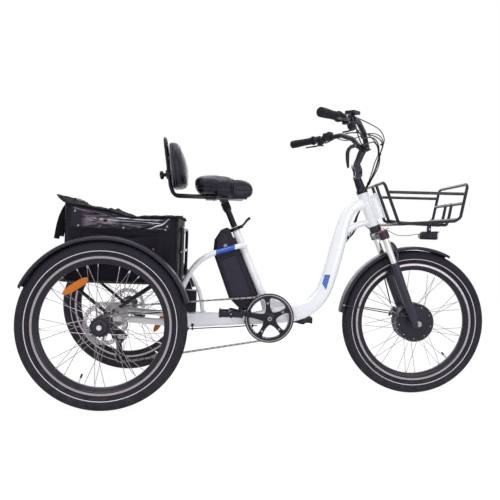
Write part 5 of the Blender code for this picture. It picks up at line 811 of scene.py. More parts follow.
def build_tyre(node, body, x, y):
    """Tyre section turned about the axle, with slanted shoulder blocks cut into it.

    Columns lean with the distance from the middle, so that every groove follows one column; the
    depth is groove(column) times shoulder(distance), plus two round grooves beside the middle.
    """
    half = smooth(TYRE_HALF, 3)
    half[:, 1] = np.maximum(half[:, 1], 0)
    profile = there_and_back(half)
    slope = np.roll(profile, -1, 0) - np.roll(profile, 1, 0)
    normal = np.stack((slope[:, 1], -slope[:, 0]), 1)
    normal /= np.linalg.norm(normal, axis=1)[:, None]
    normal *= np.sign(np.sum(normal * (profile - TYRE_MIDDLE), 1))[:, None]
    columns = np.arange(TYRE_COLUMNS)
    spin = 2 * np.pi * columns / TYRE_COLUMNS
    away = np.abs(profile[:, 1])
    outer = profile[:, 0] > 0.286
    shoulder = ease(0.0085, 0.01, away) * ease(0.286, 0.2885, profile[:, 0]) * outer
    cut = np.array([1.0, 1.0, 0.0, 0.0, 0.0, 0.0])[columns % 6]
    fine = np.array([1.0, 0.0, 0.0])[columns % 3]
    round_cut = np.exp(-((away - 0.0072) / 0.0009) ** 2) * outer
    centre = (away < 0.0055) * outer
    depth = 0.0017 * cut[:, None] * shoulder + 0.0014 * round_cut + 0.0008 * fine[:, None] * centre
    lean_angle = 0.034 * ease(0.006, 0.026, away) * outer
    lean_angle -= 0.01 * (away < 0.006) * away / 0.006 * outer
    reach = profile[:, 0] - depth * normal[:, 0]
    across = profile[:, 1] - depth * normal[:, 1]
    angle = spin[:, None] + lean_angle
    rows = np.stack((reach * np.cos(angle), reach * np.sin(angle), across + 0 * angle), -1)
    band = 0.5 * (profile[:, 0] + np.roll(profile[:, 0], -1))
    wide = 0.5 * (away + np.roll(away, -1))
    slot = ((band > 0.2664) & (band < 0.2688) & (wide > 0.018)).astype(int)
    piece = Piece(node + "_look")
    piece.grid(carried(rows, wheel_frame(x, y)), along=True, around=True, slot=slot[None, :])
    return piece.make(body, ("tyre_rubber", "reflex_stripe"), (node,), angle=32)


RIM_HALF = ((0.221, 0.0), (0.2211, 0.005), (0.2216, 0.0074), (0.223, 0.0088), (0.2262, 0.0102),
            (0.232, 0.0124), (0.2366, 0.0143), (0.2374, 0.015), (0.2408, 0.015), (0.2488, 0.015),
            (0.2522, 0.015), (0.2532, 0.0146), (0.2535, 0.0138), (0.2532, 0.013), (0.25, 0.0122),
            (0.2492, 0.0))
RIM_BAND = (0.2407, 0.2489)
NIPPLE_RADIUS = 0.224
ROTOR_CELLS, ROTOR_HALF, ROTOR_BAND, ROTOR_HOLE = 40, 0.0009, 0.0165, 0.0021
WHEEL_FINISHES = ("rim_black", "machined_band", "spoke_steel", "bright_steel", "motor_black", "satin_steel")


def add_rim(piece, place):
    """Double-walled rim turned about the axle, with a machined band on both flanks."""
    profile = there_and_back(RIM_HALF)
    ends = np.stack((profile[:, 0], np.roll(profile[:, 0], -1)))
    band = (ends.min(0) > RIM_BAND[0]) & (ends.max(0) < RIM_BAND[1])
    piece.turn(profile, place, 144, closed=True, slot=band.astype(int)[None, :])


def add_spokes(piece, place, flange, spacing, middle, reach):
    """Tangent spokes with a bent head at the flange and a nipple at the rim."""
    step = 2 * math.pi / (SPOKES // 2)
    for side in (-1, 1):
        for hole in range(SPOKES // 2):
            lead = 1 if hole % 2 == 0 else -1
            hub = hole * step + (step / 2 if side > 0 else 0)
            rim = hub + lead * math.radians(reach)
            height = middle + side * spacing / 2
            head = Vector((flange * math.cos(hub), flange * math.sin(hub), height - lead * 0.002))
            bend = Vector((flange * math.cos(hub), flange * math.sin(hub), height + lead * 0.0026))
            end = Vector((NIPPLE_RADIUS * math.cos(rim), NIPPLE_RADIUS * math.sin(rim), side * 0.003))
            near = bend.lerp(end, 0.012)
            low = bend.lerp(end, 1 - 0.013 / (end - bend).length)
            piece.sweep([tuple(place @ p) for p in (head, bend, near, low)], 0.0011, 6, slot=2)
            piece.rod(head, head + Vector((0, 0, -lead * 0.0012)), 0.0021, 8, 2, place)
            piece.rod(low, end, 0.0019, 6, 3, place)


def add_rotor(piece, place, height, inner):
    """Brake disc: a wavy band of cells, each with a round hole, on ten swept arms."""
    half = ROTOR_HALF
    low, high = ROTOR_RADIUS - ROTOR_BAND, ROTOR_RADIUS
    around = 2 * np.pi * np.arange(12) / 12
    square = np.stack((np.cos(around), np.sin(around)), 1)
    square /= np.max(np.abs(square), 1)[:, None]
    for row in range(2):
        inside_r = low + (high - low) * row / 2
        outside_r = inside_r + (high - low) / 2
        centre_r = 0.5 * (inside_r + outside_r)
        for cell in range(ROTOR_CELLS):
            middle = 2 * math.pi * (cell + 0.5 * row) / ROTOR_CELLS
            hole_a = middle + ROTOR_HOLE * np.cos(around) / centre_r
            hole_r = centre_r + ROTOR_HOLE * np.sin(around)
            edge_a = middle + square[:, 0] * math.pi / ROTOR_CELLS
            edge_r = centre_r + 0.5 * (outside_r - inside_r) * square[:, 1]
            edge_r = edge_r + 0.0012 * np.cos(10 * edge_a) * (np.abs(edge_r - high) < 0.001)
            rings = [np.stack((r * np.cos(a), r * np.sin(a), height + z + 0 * a), 1)
                     for a, r, z in ((hole_a, hole_r, -half), (edge_a, edge_r, -half),
                                     (edge_a, edge_r, half), (hole_a, hole_r, half))]
            piece.grid(carried(np.array(rings), place), along=True, around=True, slot=5)
    ring = [(inner - 0.003, -half), (inner + 0.009, -half), (inner + 0.009, half), (inner - 0.003, half)]
    piece.turn(np.array(ring) + (0, height), place, 60, closed=True, slot=5)
    flat = [(-half, -0.0022), (half, -0.0022), (half, 0.0022), (-half, 0.0022)]
    for arm in range(10):
        a0 = 2 * math.pi * arm / 10
        swing = 0.42 if arm % 2 == 0 else -0.3
        line = [(inner + 0.006, a0), (0.5 * (inner + low), a0 + swing * 0.5), (low + 0.001, a0 + swing)]
        path = smooth([(r * math.cos(a), r * math.sin(a), height) for r, a in line], 4)
        piece.sweep(carried(path, place), 1.0, ring=flat, slot=5, up=tuple(place.col[2].xyz))
    for bolt in range(6):
        a = 2 * math.pi * bolt / 6
        x, y = (inner + 0.003) * math.cos(a), (inner + 0.003) * math.sin(a)
        piece.rod((x, y, height - 0.0022), (x, y, height + 0.0022), 0.0028, 8, 5, place)


def scallop(angle, reach, height):
    """A wave that rounds the spoke flanges into lobes."""
    return np.where(reach > 0.034, reach - 0.0012 - 0.0016 * np.cos(18 * angle), reach)


def build_rear_wheel(node, body, side):
    """Rim, spokes, scalloped hub, brake disc and half shaft."""
    place = wheel_frame(REAR_X, side * TRACK_HALF)
    piece = Piece(node + "_look")
    add_rim(piece, place)
    add_spokes(piece, place, 0.0325, 0.06, 0.0, 55.0)
    hub = [(0.0, 0.05), (0.0118, 0.05), (0.0135, 0.0485), (0.014, 0.041), (0.0235, 0.04),
           (0.0262, 0.0385), (0.0275, 0.0355), (0.035, 0.0345), (0.0372, 0.033), (0.0372, 0.027),
           (0.035, 0.0255), (0.025, 0.024), (0.0215, 0.019), (0.0205, 0.01), (0.0215, 0.0),
           (0.0205, -0.01), (0.0215, -0.019), (0.025, -0.024), (0.035, -0.0255), (0.0372, -0.027),
           (0.0372, -0.033), (0.035, -0.0345), (0.025, -0.04), (0.024, -0.057), (0.0, -0.057)]
    piece.turn(mirrored(hub, side), place, 144, slot=4, wave=scallop)
    cap = [(0.0, 0.054), (0.005, 0.054), (0.0085, 0.0532), (0.0098, 0.0515), (0.01, 0.0495),
           (0.0, 0.0495)]
    piece.turn(mirrored(cap, side), place, 48, slot=3)
    teeth = [(0.0, 0.0445), (0.0225, 0.0445), (0.0242, 0.0432), (0.0248, 0.0395), (0.0, 0.0395)]
    piece.turn(mirrored(teeth, side), place, 120, slot=4, wave=notched(0.02, 0.0011, 20))
    add_rotor(piece, place, -side * 0.054, 0.024)
    inner = 0.046 if side > 0 else -0.0725
    piece.rod((REAR_X, side * (TRACK_HALF - 0.056), AXLE), (REAR_X, inner, AXLE), 0.01, 28, slot=5)
    return piece.make(body, WHEEL_FINISHES, (node,), angle=34)


def build_front_wheel():
    """Rim, spokes and the hub motor's stepped shell with its screws."""
    place = wheel_frame(FRONT_X, 0.0)
    piece = Piece("front_wheel_look")
    add_rim(piece, place)
    add_spokes(piece, place, 0.0785, 0.052, -0.004, 15.0)
    shell = [(0.0085, -0.0372), (0.019, -0.0376), (0.0215, -0.0366), (0.0235, -0.0352), (0.038, -0.0346),
             (0.059, -0.0336), (0.0603, -0.0322), (0.0625, -0.0316), (0.0745, -0.031), (0.077, -0.0318),
             (0.0805, -0.0316), (0.0818, -0.03), (0.082, -0.0262), (0.0806, -0.025), (0.08, -0.022),
             (0.08, 0.014), (0.0806, 0.017), (0.082, 0.0182), (0.082, 0.0225), (0.0806, 0.0238),
             (0.06, 0.0262), (0.03, 0.0296), (0.0262, 0.0312), (0.0258, 0.0412), (0.0085, 0.0412)]
    piece.turn(shell, place, 120, closed=True, slot=4)
    for screw in range(9):
        a = 2 * math.pi * (screw + 0.3) / 9
        x, y = 0.069 * math.cos(a), 0.069 * math.sin(a)
        piece.rod((x, y, -0.0302), (x, y, -0.0326), 0.0024, 12, 5, place)
    add_rotor(piece, place, 0.0385, 0.018)
    return piece.make("front_hub", WHEEL_FINISHES, ("front_wheel",), angle=34)


def build_valve(name, body, x, y, angle):
    """Tyre valve with its black cap, pointing at the axle."""
    turn = math.radians(angle)
    out = Vector((math.cos(turn), 0, math.sin(turn)))
    centre = Vector((x, y, AXLE))
    piece = Piece(name)
    piece.rod(tuple(centre + out * 0.2215), tuple(centre + out * 0.196), 0.0028, 12)
    piece.rod(tuple(centre + out * 0.201), tuple(centre + out * 0.186), 0.0036, 12, slot=1)
    return piece.make(body, ("bright_steel", "black_plastic"), bevel=0.0005)


def build_reflector(name, body, x, y, angle):
    """Long amber reflector across the spokes: an ellipse-ended bar, crowned, with its clip."""
    turn = math.radians(angle)
    place = Matrix.Translation((x, y, AXLE)) @ SIDE_VIEW @ Matrix.Rotation(turn, 4, "Z")
    place = place @ Matrix.Translation((0.168, 0, 0)) @ Matrix.Rotation(math.radians(90), 4, "Z")
    long = np.linspace(-1, 1, 25)
    half = 0.0135 * np.sqrt(np.clip(1 - np.abs(long) ** 3.2, 0.06, 1))
    thick = 0.0042 * (0.5 + 0.5 * half / 0.0135)
    ring = circle_ring(20, 3.0)
    rows = [np.stack((np.full(20, 0.052 * t), ring[:, 0] * h, ring[:, 1] * d), 1)
            for t, h, d in zip(long, half, thick)]
    piece = Piece(name)
    piece.grid(carried(rows, place))
    piece.block((-0.016, -0.004, -0.007), (0.016, 0.004, -0.0035), place, slot=1)
    return piece.make(body, ("reflector_orange", "black_plastic"), bevel=0.0006)


build_tyre("front_tyre", "front_hub", FRONT_X, 0.0)
build_tyre("rear_tyre_left", "left_wheel", REAR_X, TRACK_HALF)
build_tyre("rear_tyre_right", "right_wheel", REAR_X, -TRACK_HALF)
build_rear_wheel("rear_wheel_left", "left_wheel", 1)
build_rear_wheel("rear_wheel_right", "right_wheel", -1)
build_front_wheel()
build_valve("front_valve", "front_hub", FRONT_X, 0.0, -44)
build_valve("left_valve", "left_wheel", REAR_X, TRACK_HALF, 100)
build_valve("right_valve", "right_wheel", REAR_X, -TRACK_HALF, 250)
build_reflector("right_reflector", "right_wheel", REAR_X, -TRACK_HALF - 0.012, 124)
build_reflector("left_reflector", "left_wheel", REAR_X, TRACK_HALF + 0.012, -30)


# Mudguards
FENDER_HALF = ((-0.012, 0.0322), (-0.0085, 0.0318), (-0.0042, 0.0296), (-0.0016, 0.024),
               (-0.0004, 0.013), (0.0, 0.0))
FENDER_FINISHES = ("fender_plastic", "black_paint", "satin_steel")
STAY_REACH = FENDER_RADIUS - 0.005


def fender_rows(centre, first, last, steps):
    """Closed section of a crowned strip with rolled lips, swept round the axle."""
    half = smooth(FENDER_HALF, 4)
    inner = np.vstack((half, (half * (1, -1))[::-1][1:]))
    outer = np.vstack((half + (0.0022, 0.0), ((half + (0.0022, 0.0)) * (1, -1))[::-1][1:]))
    outer[:, 1] *= 1.055
    section = np.vstack((inner, outer[::-1]))
    rows = []
    for share in np.linspace(0, 1, steps + 1):
        angle = math.radians(first + (last - first) * share)
        end = min(share, 1 - share) * abs(last - first) / 3.2
        narrow = 1.0 if end >= 1 else 0.72 + 0.28 * math.sqrt(max(0.0, 1 - (1 - end) ** 2))
        reach = FENDER_RADIUS + section[:, 0]
        across = section[:, 1] * narrow
        rows.append(centre + np.stack((reach * math.cos(angle), across, reach * math.sin(angle)), 1))
    return np.array(rows)


def build_rear_fender(node, side):
    """Rear mudguard and its two bent stays from the rack, each with a bolt."""
    centre = np.array((REAR_X, side * TRACK_HALF, AXLE))
    piece = Piece(node + "_look")
    piece.grid(fender_rows(centre, 17, 156, 110))
    rack_y = side * (RACK_HALF + 0.0078)
    inner_y = side * (TRACK_HALF - 0.032)
    for angle, rack_x in ((27, -0.384), (150, -0.76)):
        turn = math.radians(angle)
        foot = (centre[0] + STAY_REACH * math.cos(turn), inner_y - side * 0.0005,
                centre[2] + STAY_REACH * math.sin(turn))
        bend = (foot[0], side * 0.265, 0.5 * (foot[2] + RACK_Z))
        start = (rack_x, rack_y, RACK_Z)
        knee = (rack_x, rack_y + side * 0.012, RACK_Z)
        piece.sweep(rounded([start, knee, bend, foot], 0.012), 0.003, 12, slot=1)
        low = (foot[0], foot[1] - side * 0.0012, foot[2])
        piece.rod(low, (foot[0], foot[1] + side * 0.006, foot[2]), 0.0042, 14, slot=2)
    return piece.make("frame", FENDER_FINISHES, (node,), angle=40)


def build_front_fender():
    """Front mudguard with a stay from each fork leg and its bracket at the arch."""
    centre = np.array((FRONT_X, 0.0, AXLE))
    piece = Piece("front_fender_look")
    piece.grid(fender_rows(centre, 63, 174, 96))
    for side in (-1, 1):
        angle = math.radians(168)
        foot = (centre[0] + STAY_REACH * math.cos(angle), side * 0.0318,
                centre[2] + STAY_REACH * math.sin(angle))
        leg = steer(-0.0125, side * LEG_Y, -0.3977)
        bend = (leg[0] - 0.03, leg[1] - side * 0.003, leg[2] + 0.004)
        piece.sweep(rounded([leg, bend, foot], 0.02), 0.0022, 12, slot=1)
        low, high = foot[1] - side * 0.002, foot[1] + side * 0.0045
        piece.rod((foot[0], low, foot[2]), (foot[0], high, foot[2]), 0.0036, 12, slot=2)
    piece.block((0.03, -0.012, -0.1235), (0.05, 0.012, -0.104), STEER, slot=1)
    return piece.make("lowers", FENDER_FINISHES, ("front_fender",), angle=40, bevel=0.0003)


build_rear_fender("rear_fender_left", 1)
build_rear_fender("rear_fender_right", -1)
build_front_fender()


# Frame
BEAM = ((0.414, 0.806, 0.05, 0.038), (0.372, 0.79, 0.05, 0.04), (0.351, 0.775, 0.052, 0.041),
        (0.334, 0.752, 0.054, 0.043), (0.324, 0.726, 0.056, 0.044), (0.315, 0.694, 0.058, 0.045),
        (0.303, 0.64, 0.064, 0.048), (0.282, 0.545, 0.063, 0.05), (0.256, 0.455, 0.065, 0.054),
        (0.233, 0.407, 0.069, 0.056), (0.19, 0.361, 0.073, 0.058), (0.12, 0.331, 0.076, 0.06),
        (0.015, 0.312, 0.068, 0.06), (-0.08, 0.299, 0.05, 0.052), (-0.21, 0.294, 0.06, 0.05),
        (-0.33, 0.289, 0.069, 0.05), (-0.405, 0.287, 0.069, 0.05))
ARCH = ((-0.092, 0.02, 0.604), (-0.112, 0.04, 0.603), (-0.14, 0.05, 0.597), (-0.226, 0.05, 0.568),
        (-0.272, 0.05, 0.54), (-0.307, 0.05, 0.502), (-0.332, 0.047, 0.455), (-0.35, 0.034, 0.412),
        (-0.368, 0.027, 0.365), (-0.39, 0.026, 0.3))


def add_beam(piece):
    """Superellipse rings square to the main tube's line, with a shallow crease along each flank."""
    line = smooth(BEAM, 7)
    centre = np.stack((line[:, 0], 0 * line[:, 0], line[:, 1]), 1)
    ahead = unit_rows(np.gradient(centre, axis=0))
    upright = np.stack((ahead[:, 2], 0 * ahead[:, 0], -ahead[:, 0]), 1)
    ring = circle_ring(40, 2.7)
    flank = np.exp(-((ring[:, 1] - 0.34) / 0.06) ** 2)
    across = ring[:, 0] * (1 - 0.035 * flank)
    rows = (centre[:, None] + np.array((0, 1, 0)) * (across[None, :, None] * line[:, None, 3:4] / 2)
            + upright[:, None] * (ring[None, :, 1:2] * line[:, None, 2:3] / 2))
    piece.grid(rows)


def weld(piece, centre, axis, radius, thick):
    """A rippled bead round a tube: a small ring whose thickness waves as it goes round."""
    axis = Vector(axis).normalized()
    side = axis.orthogonal().normalized()
    other = axis.cross(side)
    around = np.linspace(0, 2 * np.pi, 97)[:-1]
    path = (np.array(centre) + radius * (np.cos(around)[:, None] * np.array(side)
                                         + np.sin(around)[:, None] * np.array(other)))
    piece.sweep(path, thick * (1 + 0.16 * np.cos(24 * around)), 8, closed=True, up=tuple(axis))


def add_head(piece):
    """Head tube with its beads, the gusset tube behind it and the boss and plate ahead of it."""
    piece.rod(steer(0, 0, 0), steer(0, 0, 0.148), 0.023, 40)
    for z in (0.003, 0.145):
        weld(piece, steer(0, 0, z), STEER_UP, 0.0222, 0.0024)
    gusset = [steer(0.0, 0, 0.02), (0.402, 0, 0.716), (0.366, 0, 0.702), (0.322, 0, 0.668)]
    piece.sweep(smooth(gusset, 8), 0.0135, 24)
    piece.block((0.0, -0.019, 0.022), (0.051, 0.019, 0.126), STEER)
    piece.block((0.049, -0.03, 0.018), (0.0535, 0.03, 0.13), STEER)


def add_frame_side(piece, side):
    """One side's arch tube, stay, axle tube and bearing housing, with their beads."""
    cross_x, cross_z = CROSS_TUBE
    piece.sweep(smooth([(x, side * y, z) for x, y, z in ARCH], 7), 0.011, 24)
    weld(piece, (-0.386, side * 0.026, 0.317), (0.02, 0, 1), 0.0112, 0.0022)
    weld(piece, (-0.104, side * 0.032, 0.6035), (0.8, -side * 0.6, 0), 0.0112, 0.0018)
    y = side * STAY_Y
    piece.sweep(rounded([(cross_x, y, cross_z), (-0.47, y, 0.296), (REAR_X, y, AXLE)], 0.05), 0.013, 24)
    weld(piece, (-0.411, y, 0.2925), (1, 0, 0.03), 0.0132, 0.0022)
    weld(piece, (REAR_X + 0.02, y, AXLE - 0.001), (1, 0, 0.06), 0.0132, 0.0022)
    inner = -0.085 if side < 0 else 0.04
    piece.rod((REAR_X, inner, AXLE), (REAR_X, side * 0.245, AXLE), 0.019, 36)
    piece.rod((REAR_X, side * 0.225, AXLE), (REAR_X, side * 0.243, AXLE), 0.027, 40)
    weld(piece, (REAR_X, side * 0.2245, AXLE), (0, 1, 0), 0.0196, 0.002)
    weld(piece, (cross_x, side * 0.0265, cross_z), (0, 1, 0), 0.0165, 0.0022)


def build_main_frame():
    """Main tube, head, seat tube, arches, stays and axle tubes as one welded frame."""
    piece = Piece("main_frame_look")
    crank_x, crank_z = CRANK
    cross_x, cross_z = CROSS_TUBE
    add_beam(piece)
    add_head(piece)
    piece.rod(seat(0, 0, 0), seat(0, 0, -0.375), 0.0165, 32)
    flare = 0.0153 + 0.0117 * np.linspace(0, 1, 7) ** 1.5
    piece.sweep([seat(0, 0, z) for z in np.linspace(-0.29, -0.387, 7)], flare, 32)
    weld(piece, seat(0, 0, -0.372), SEAT.col[2].xyz, 0.0262, 0.003)
    fillet = [(-0.022, 0.428), (-0.006, 0.419), (0.014, 0.399), (0.045, 0.379), (0.09, 0.364),
              (0.105, 0.34), (0.015, 0.318), (-0.01, 0.35)]
    piece.prism(fillet, -0.014, 0.014, SIDE_VIEW)
    piece.rod((crank_x, -0.034, crank_z), (crank_x, 0.034, crank_z), 0.021, 36)
    for y in (-0.02881, 0.02881):
        weld(piece, (crank_x, y, crank_z), (0, 1, 0), 0.0212, 0.002)
    for side in (1, -1):
        add_frame_side(piece, side)
    x, z = BRIDGE
    piece.rod((x, -0.05, z), (x, 0.05, z), 0.008, 18)
    link = [(x, 0.0, z), (-0.298, 0.0, 0.45), (-0.278, 0.0, 0.408), (-0.265, 0.0, 0.355),
            (-0.258, 0.0, 0.305)]
    piece.sweep(smooth(link, 7), np.linspace(0.0068, 0.0088, 29), 18)
    weld(piece, (-0.2575, 0, 0.3235), (0.12, 0, -1), 0.0086, 0.002)
    piece.rod((cross_x, -0.143, cross_z), (cross_x, 0.143, cross_z), 0.016, 28)
    piece.rod(steer(0, 0, 0.1465), steer(0, 0, 0.1505), 0.0238, 36, slot=1)
    for bolt in (0.04, 0.108):
        for y in (-0.022, 0.022):
            piece.rod(steer(0.053, y, bolt), steer(0.0565, y, bolt), 0.0036, HEX, slot=2)
    for x, y, z in ((-0.3, -0.0262, 0.27), (-0.08, -0.0262, 0.29)):
        piece.block((x - 0.005, y, z - 0.008), (x + 0.005, y + 0.01, z + 0.004), slot=1)
    return piece.make("frame", ("frame_white", "black_plastic", "satin_steel"), ("main_frame",), bevel=0.0012)


build_main_frame()


# Fork
def build_fork_crown():
    """Steerer, forged crown and the two bright stanchions."""
    piece = Piece("fork_crown_look")
    piece.rod(steer(0, 0, -0.03), steer(0, 0, 0.1486), 0.0143, 28)
    cup = [(0.0, -0.029), (0.0225, -0.029), (0.0243, -0.027), (0.0247, -0.012), (0.0236, -0.006),
           (0.0236, -0.004), (0.0225, -0.0012), (0.0, -0.0012)]
    piece.turn(cup, STEER, 56)
    share = np.linspace(-1, 1, 33)
    line = np.array([steer(0.004 + 0.004 * s * s, LEG_Y * s, -0.0465 + 0.004 * s * s) for s in share])
    wide = np.stack([circle_ring(28, 3.4) * (0.0135 - 0.0015 * abs(s), 0.0205 - 0.0035 * s * s)
                     for s in share])
    piece.sweep(line, 1.0, ring=wide, up=STEER_UP)
    for side in (-1, 1):
        place = leg_frame(side)
        socket = [(0.0, -0.062), (0.0192, -0.062), (0.0204, -0.0605), (0.0205, -0.033), (0.0196, -0.0296),
                  (0.0168, -0.0282), (0.0, -0.0282)]
        piece.turn(socket, place, 48)
        stanchion = [(0.0, -0.262), (0.0134, -0.262), (0.014, -0.258), (0.014, -0.055), (0.0, -0.055)]
        piece.turn(stanchion, place, 40, slot=1)
        if side > 0:
            cap = [(0.0, -0.0285), (0.0125, -0.0285), (0.0125, -0.0262), (0.0112, -0.025), (0.0, -0.0248)]
            piece.turn(cap, place, 36, slot=2)
        y = side * (LEG_Y - 0.006)
        for z in (-0.04, -0.053):
            piece.rod(steer(-0.0145, y, z), steer(-0.0125, y, z), 0.0026, 10, slot=2)
    return piece.make("fork", ("fork_black", "stanchion", "satin_steel"), ("fork_crown",), bevel=0.0008)


def build_fork_lowers():
    """Sliding legs with wiper lips, cast feet, the arch over the wheel and the fixed axle."""
    axle_x, axle_z = FORK_AXLE
    piece = Piece("fork_lowers_look")
    for side in (-1, 1):
        place = leg_frame(side)
        leg = [(0.0146, -0.26), (0.0146, -0.17), (0.0176, -0.169), (0.0188, -0.1705), (0.019, -0.179),
               (0.0184, -0.181), (0.019, -0.184), (0.019, -0.23), (0.0182, -0.26), (0.0178, -0.36),
               (0.0184, -0.402), (0.0172, -0.418), (0.0158, -0.43), (0.0155, -0.448), (0.013, -0.4527),
               (0.0, -0.4527), (0.0, -0.41), (0.0, -0.26)]
        piece.turn(leg, place, 44, closed=True)
        y = side * LEG_Y
        lug = STEER @ Matrix.Translation((axle_x, y, axle_z)) @ ACROSS
        boss = [(0.0, -0.01), (0.0125, -0.01), (0.0135, -0.009), (0.0135, 0.0118), (0.0123, 0.013),
                (0.0, 0.013)]
        piece.turn(mirrored(boss, side), lug, 36)
        washer = [(0.0, 0.013), (0.0118, 0.013), (0.0118, 0.0144), (0.0, 0.0144)]
        piece.turn(mirrored(washer, side), lug, 30, slot=1)
        for low, high, radius, sides in ((0.0142, 0.023, 0.0095, HEX), (0.0225, 0.0258, 0.0056, 18)):
            piece.rod(steer(axle_x, y + side * low, axle_z), steer(axle_x, y + side * high, axle_z), radius,
                      sides, slot=1)
        piece.block((-0.003, side * 0.0605, -0.452), (0.02, side * 0.0695, -0.425), STEER)
    half = [(LEG_X, -LEG_Y, -0.186), (0.02, -LEG_Y, -0.17), (0.034, -0.0605, -0.142),
            (0.0395, -0.049, -0.113), (0.04, -0.03, -0.0985)]
    arch = half + [(0.04, 0.0, -0.0945)] + [(x, -y, z) for x, y, z in reversed(half)]
    path = np.array([steer(*p) for p in smooth(arch, 5)])
    piece.sweep(path, 1.0, ring=circle_ring(24, 3.0) * (0.006, 0.0085), up=tuple(STEER.col[0].xyz))
    piece.rod(steer(axle_x, -0.085, axle_z), steer(axle_x, 0.085, axle_z), 0.007, 24, slot=1)
    piece.block((0.5595, 0.05, 0.33), (0.6025, 0.0585, 0.3545))
    for x in (0.568, 0.594):
        piece.rod((x, 0.058, 0.3425), (x, 0.0612, 0.3425), 0.0042, HEX, slot=1)
    return piece.make("lowers", ("fork_black", "satin_steel"), ("fork_lowers",), bevel=0.001)


build_fork_crown()
build_fork_lowers()


# Stem and handlebar
def bar_frame(side):
    """Frame on the straight end of the handlebar: Z outwards along it, X up, Y ahead of it."""
    start = Vector((0.3, side * 0.185, 1.11))
    along = (Vector((0.14, side * 0.36, 1.096)) - start).normalized()
    up = (Vector((0, 0, 1)) - along * along.z).normalized()
    ahead = along.cross(up) * side
    return Matrix.Translation(start) @ Matrix((up, ahead, along)).transposed().to_4x4()


def bar_spot(side, up, ahead, along):
    """A point given in the frame of the bar's end."""
    return tuple(bar_frame(side) @ Vector((up, ahead, along)))


BRAKE_PIVOT = (-0.016, 0.021, 0.083)
LEVER_PIVOT = (0.038, 0.346)


def collar(low, high, radius, inner=0.0116, edge=0.001):
    """A bored ring with small chamfers, as a profile of (radius, height)."""
    return [(inner, low), (radius - 0.0008, low), (radius, low + edge), (radius, high - edge),
            (radius - 0.0008, high), (inner, high)]


def build_stem_column():
    """Turned column with a bright ring, and the ears of the tilting joint."""
    piece = Piece("stem_column_look")
    column = [(0.0, 0.1494), (0.0222, 0.1494), (0.0234, 0.1505), (0.0235, 0.16), (0.0224, 0.1622),
              (0.0196, 0.1665), (0.0186, 0.172), (0.0176, 0.195), (0.0166, 0.22), (0.0, 0.22)]
    piece.turn(column, STEER, 56)
    bright = [(0.0, 0.2128), (0.0184, 0.2128), (0.0188, 0.2136), (0.0184, 0.2146), (0.0, 0.2146)]
    piece.turn(bright, STEER, 48, slot=1)
    x, z = TILT_PIVOT
    outline = [(-0.0115, 0.215), (-0.0062, 0.233), (-0.0025, 0.248)]
    outline += [(x + 0.0152 * math.cos(a), z + 0.0152 * math.sin(a)) for a in np.linspace(math.pi, 0, 17)]
    outline += [(x + 0.015, 0.24), (0.02, 0.22), (0.015, 0.213)]
    for low, high in ((0.0132, 0.022), (-0.022, -0.0132)):
        piece.prism(outline, low, high, STEER @ SIDE_VIEW)
    base = [(-0.0122, 0.215), (-0.01, 0.228), (0.024, 0.238), (0.019, 0.217)]
    piece.prism(base, -0.022, 0.022, STEER @ SIDE_VIEW)
    for side in (-1, 1):
        piece.rod(steer(x, side * 0.0215, z), steer(x, side * 0.024, z), 0.0068, 28)
        piece.rod(steer(x, side * 0.0235, z), steer(x, side * 0.025, z), 0.0034, HEX)
    return piece.make("fork", ("black_paint", "satin_steel"), ("stem_column",), bevel=0.001)


def build_stem_head():
    """Tongue of the tilting joint, the swept neck and the split clamp round the bar."""
    piece = Piece("stem_head_look")
    x, z = TILT_PIVOT
    cx, cz = BAR_CLAMP
    piece.rod(steer(x, -0.0122, z), steer(x, 0.0122, z), 0.0153, 48)
    line = smooth([(x, z + 0.002), (x + 0.018, z + 0.018), (0.048, 0.303), (cx - 0.004, cz - 0.004)], 6)
    high = np.linspace(0.0128, 0.0162, len(line))
    rings = np.stack([circle_ring(28, 3.2) * (0.012, h) for h in high])
    piece.sweep([steer(a, 0, b) for a, b in line], 1.0, ring=rings)
    place = STEER @ Matrix.Translation((cx, 0, cz)) @ ACROSS
    clamp = [(0.0117, -0.024), (0.0172, -0.024), (0.0185, -0.0226), (0.0185, 0.0226), (0.0172, 0.024),
             (0.0117, 0.024)]
    piece.turn(clamp, place, 56, closed=True)
    for y in (-0.016, 0.016):
        for lift in (-0.015, 0.015):
            piece.rod(steer(cx + 0.0105, y, cz + lift), steer(cx + 0.0195, y, cz + lift), 0.0042, 16)
            piece.rod(steer(cx + 0.019, y, cz + lift), steer(cx + 0.0208, y, cz + lift), 0.0032, 12, slot=1)
    lug = [(0.032, 0.346), (0.0345, 0.3505), (0.042, 0.352), (cx, cz + 0.015), (cx - 0.018, cz - 0.006)]
    piece.prism(lug, -0.005, 0.005, STEER @ SIDE_VIEW)
    return piece.make("stem", ("black_paint", "satin_steel"), ("stem_head",), bevel=0.001)


def build_stem_lever():
    """Forked clamp lever with a flattened thumb end."""
    piece = Piece("stem_lever_look")
    x, z = LEVER_PIVOT
    line = [(x - 0.012, z + 0.006), (x - 0.036, z - 0.01), (x - 0.05, z - 0.042), (x - 0.06, z - 0.078)]
    line = smooth(line, 7)
    share = np.linspace(0, 1, len(line))
    thick = 0.0062 + 0.003 * np.sin(np.pi * share) - 0.0018 * share
    rings = np.stack([circle_ring(24, 2.6) * (0.0075 + 0.0025 * s, t) for s, t in zip(share, thick)])
    piece.sweep([steer(a, 0, b) for a, b in line], 1.0, ring=rings)
    piece.block((x - 0.02, -0.01, z - 0.002), (x - 0.0085, 0.01, z + 0.0085), STEER)
    for side in (-1, 1):
        piece.block((x - 0.018, side * 0.0056, z - 0.006), (x + 0.007, side * 0.0104, z + 0.009), STEER)
    piece.rod(steer(x, -0.0118, z), steer(x, 0.0118, z), 0.003, 14, slot=1)
    return piece.make("tilt_lever", ("black_paint", "satin_steel"), ("stem_lever",), bevel=0.0012)


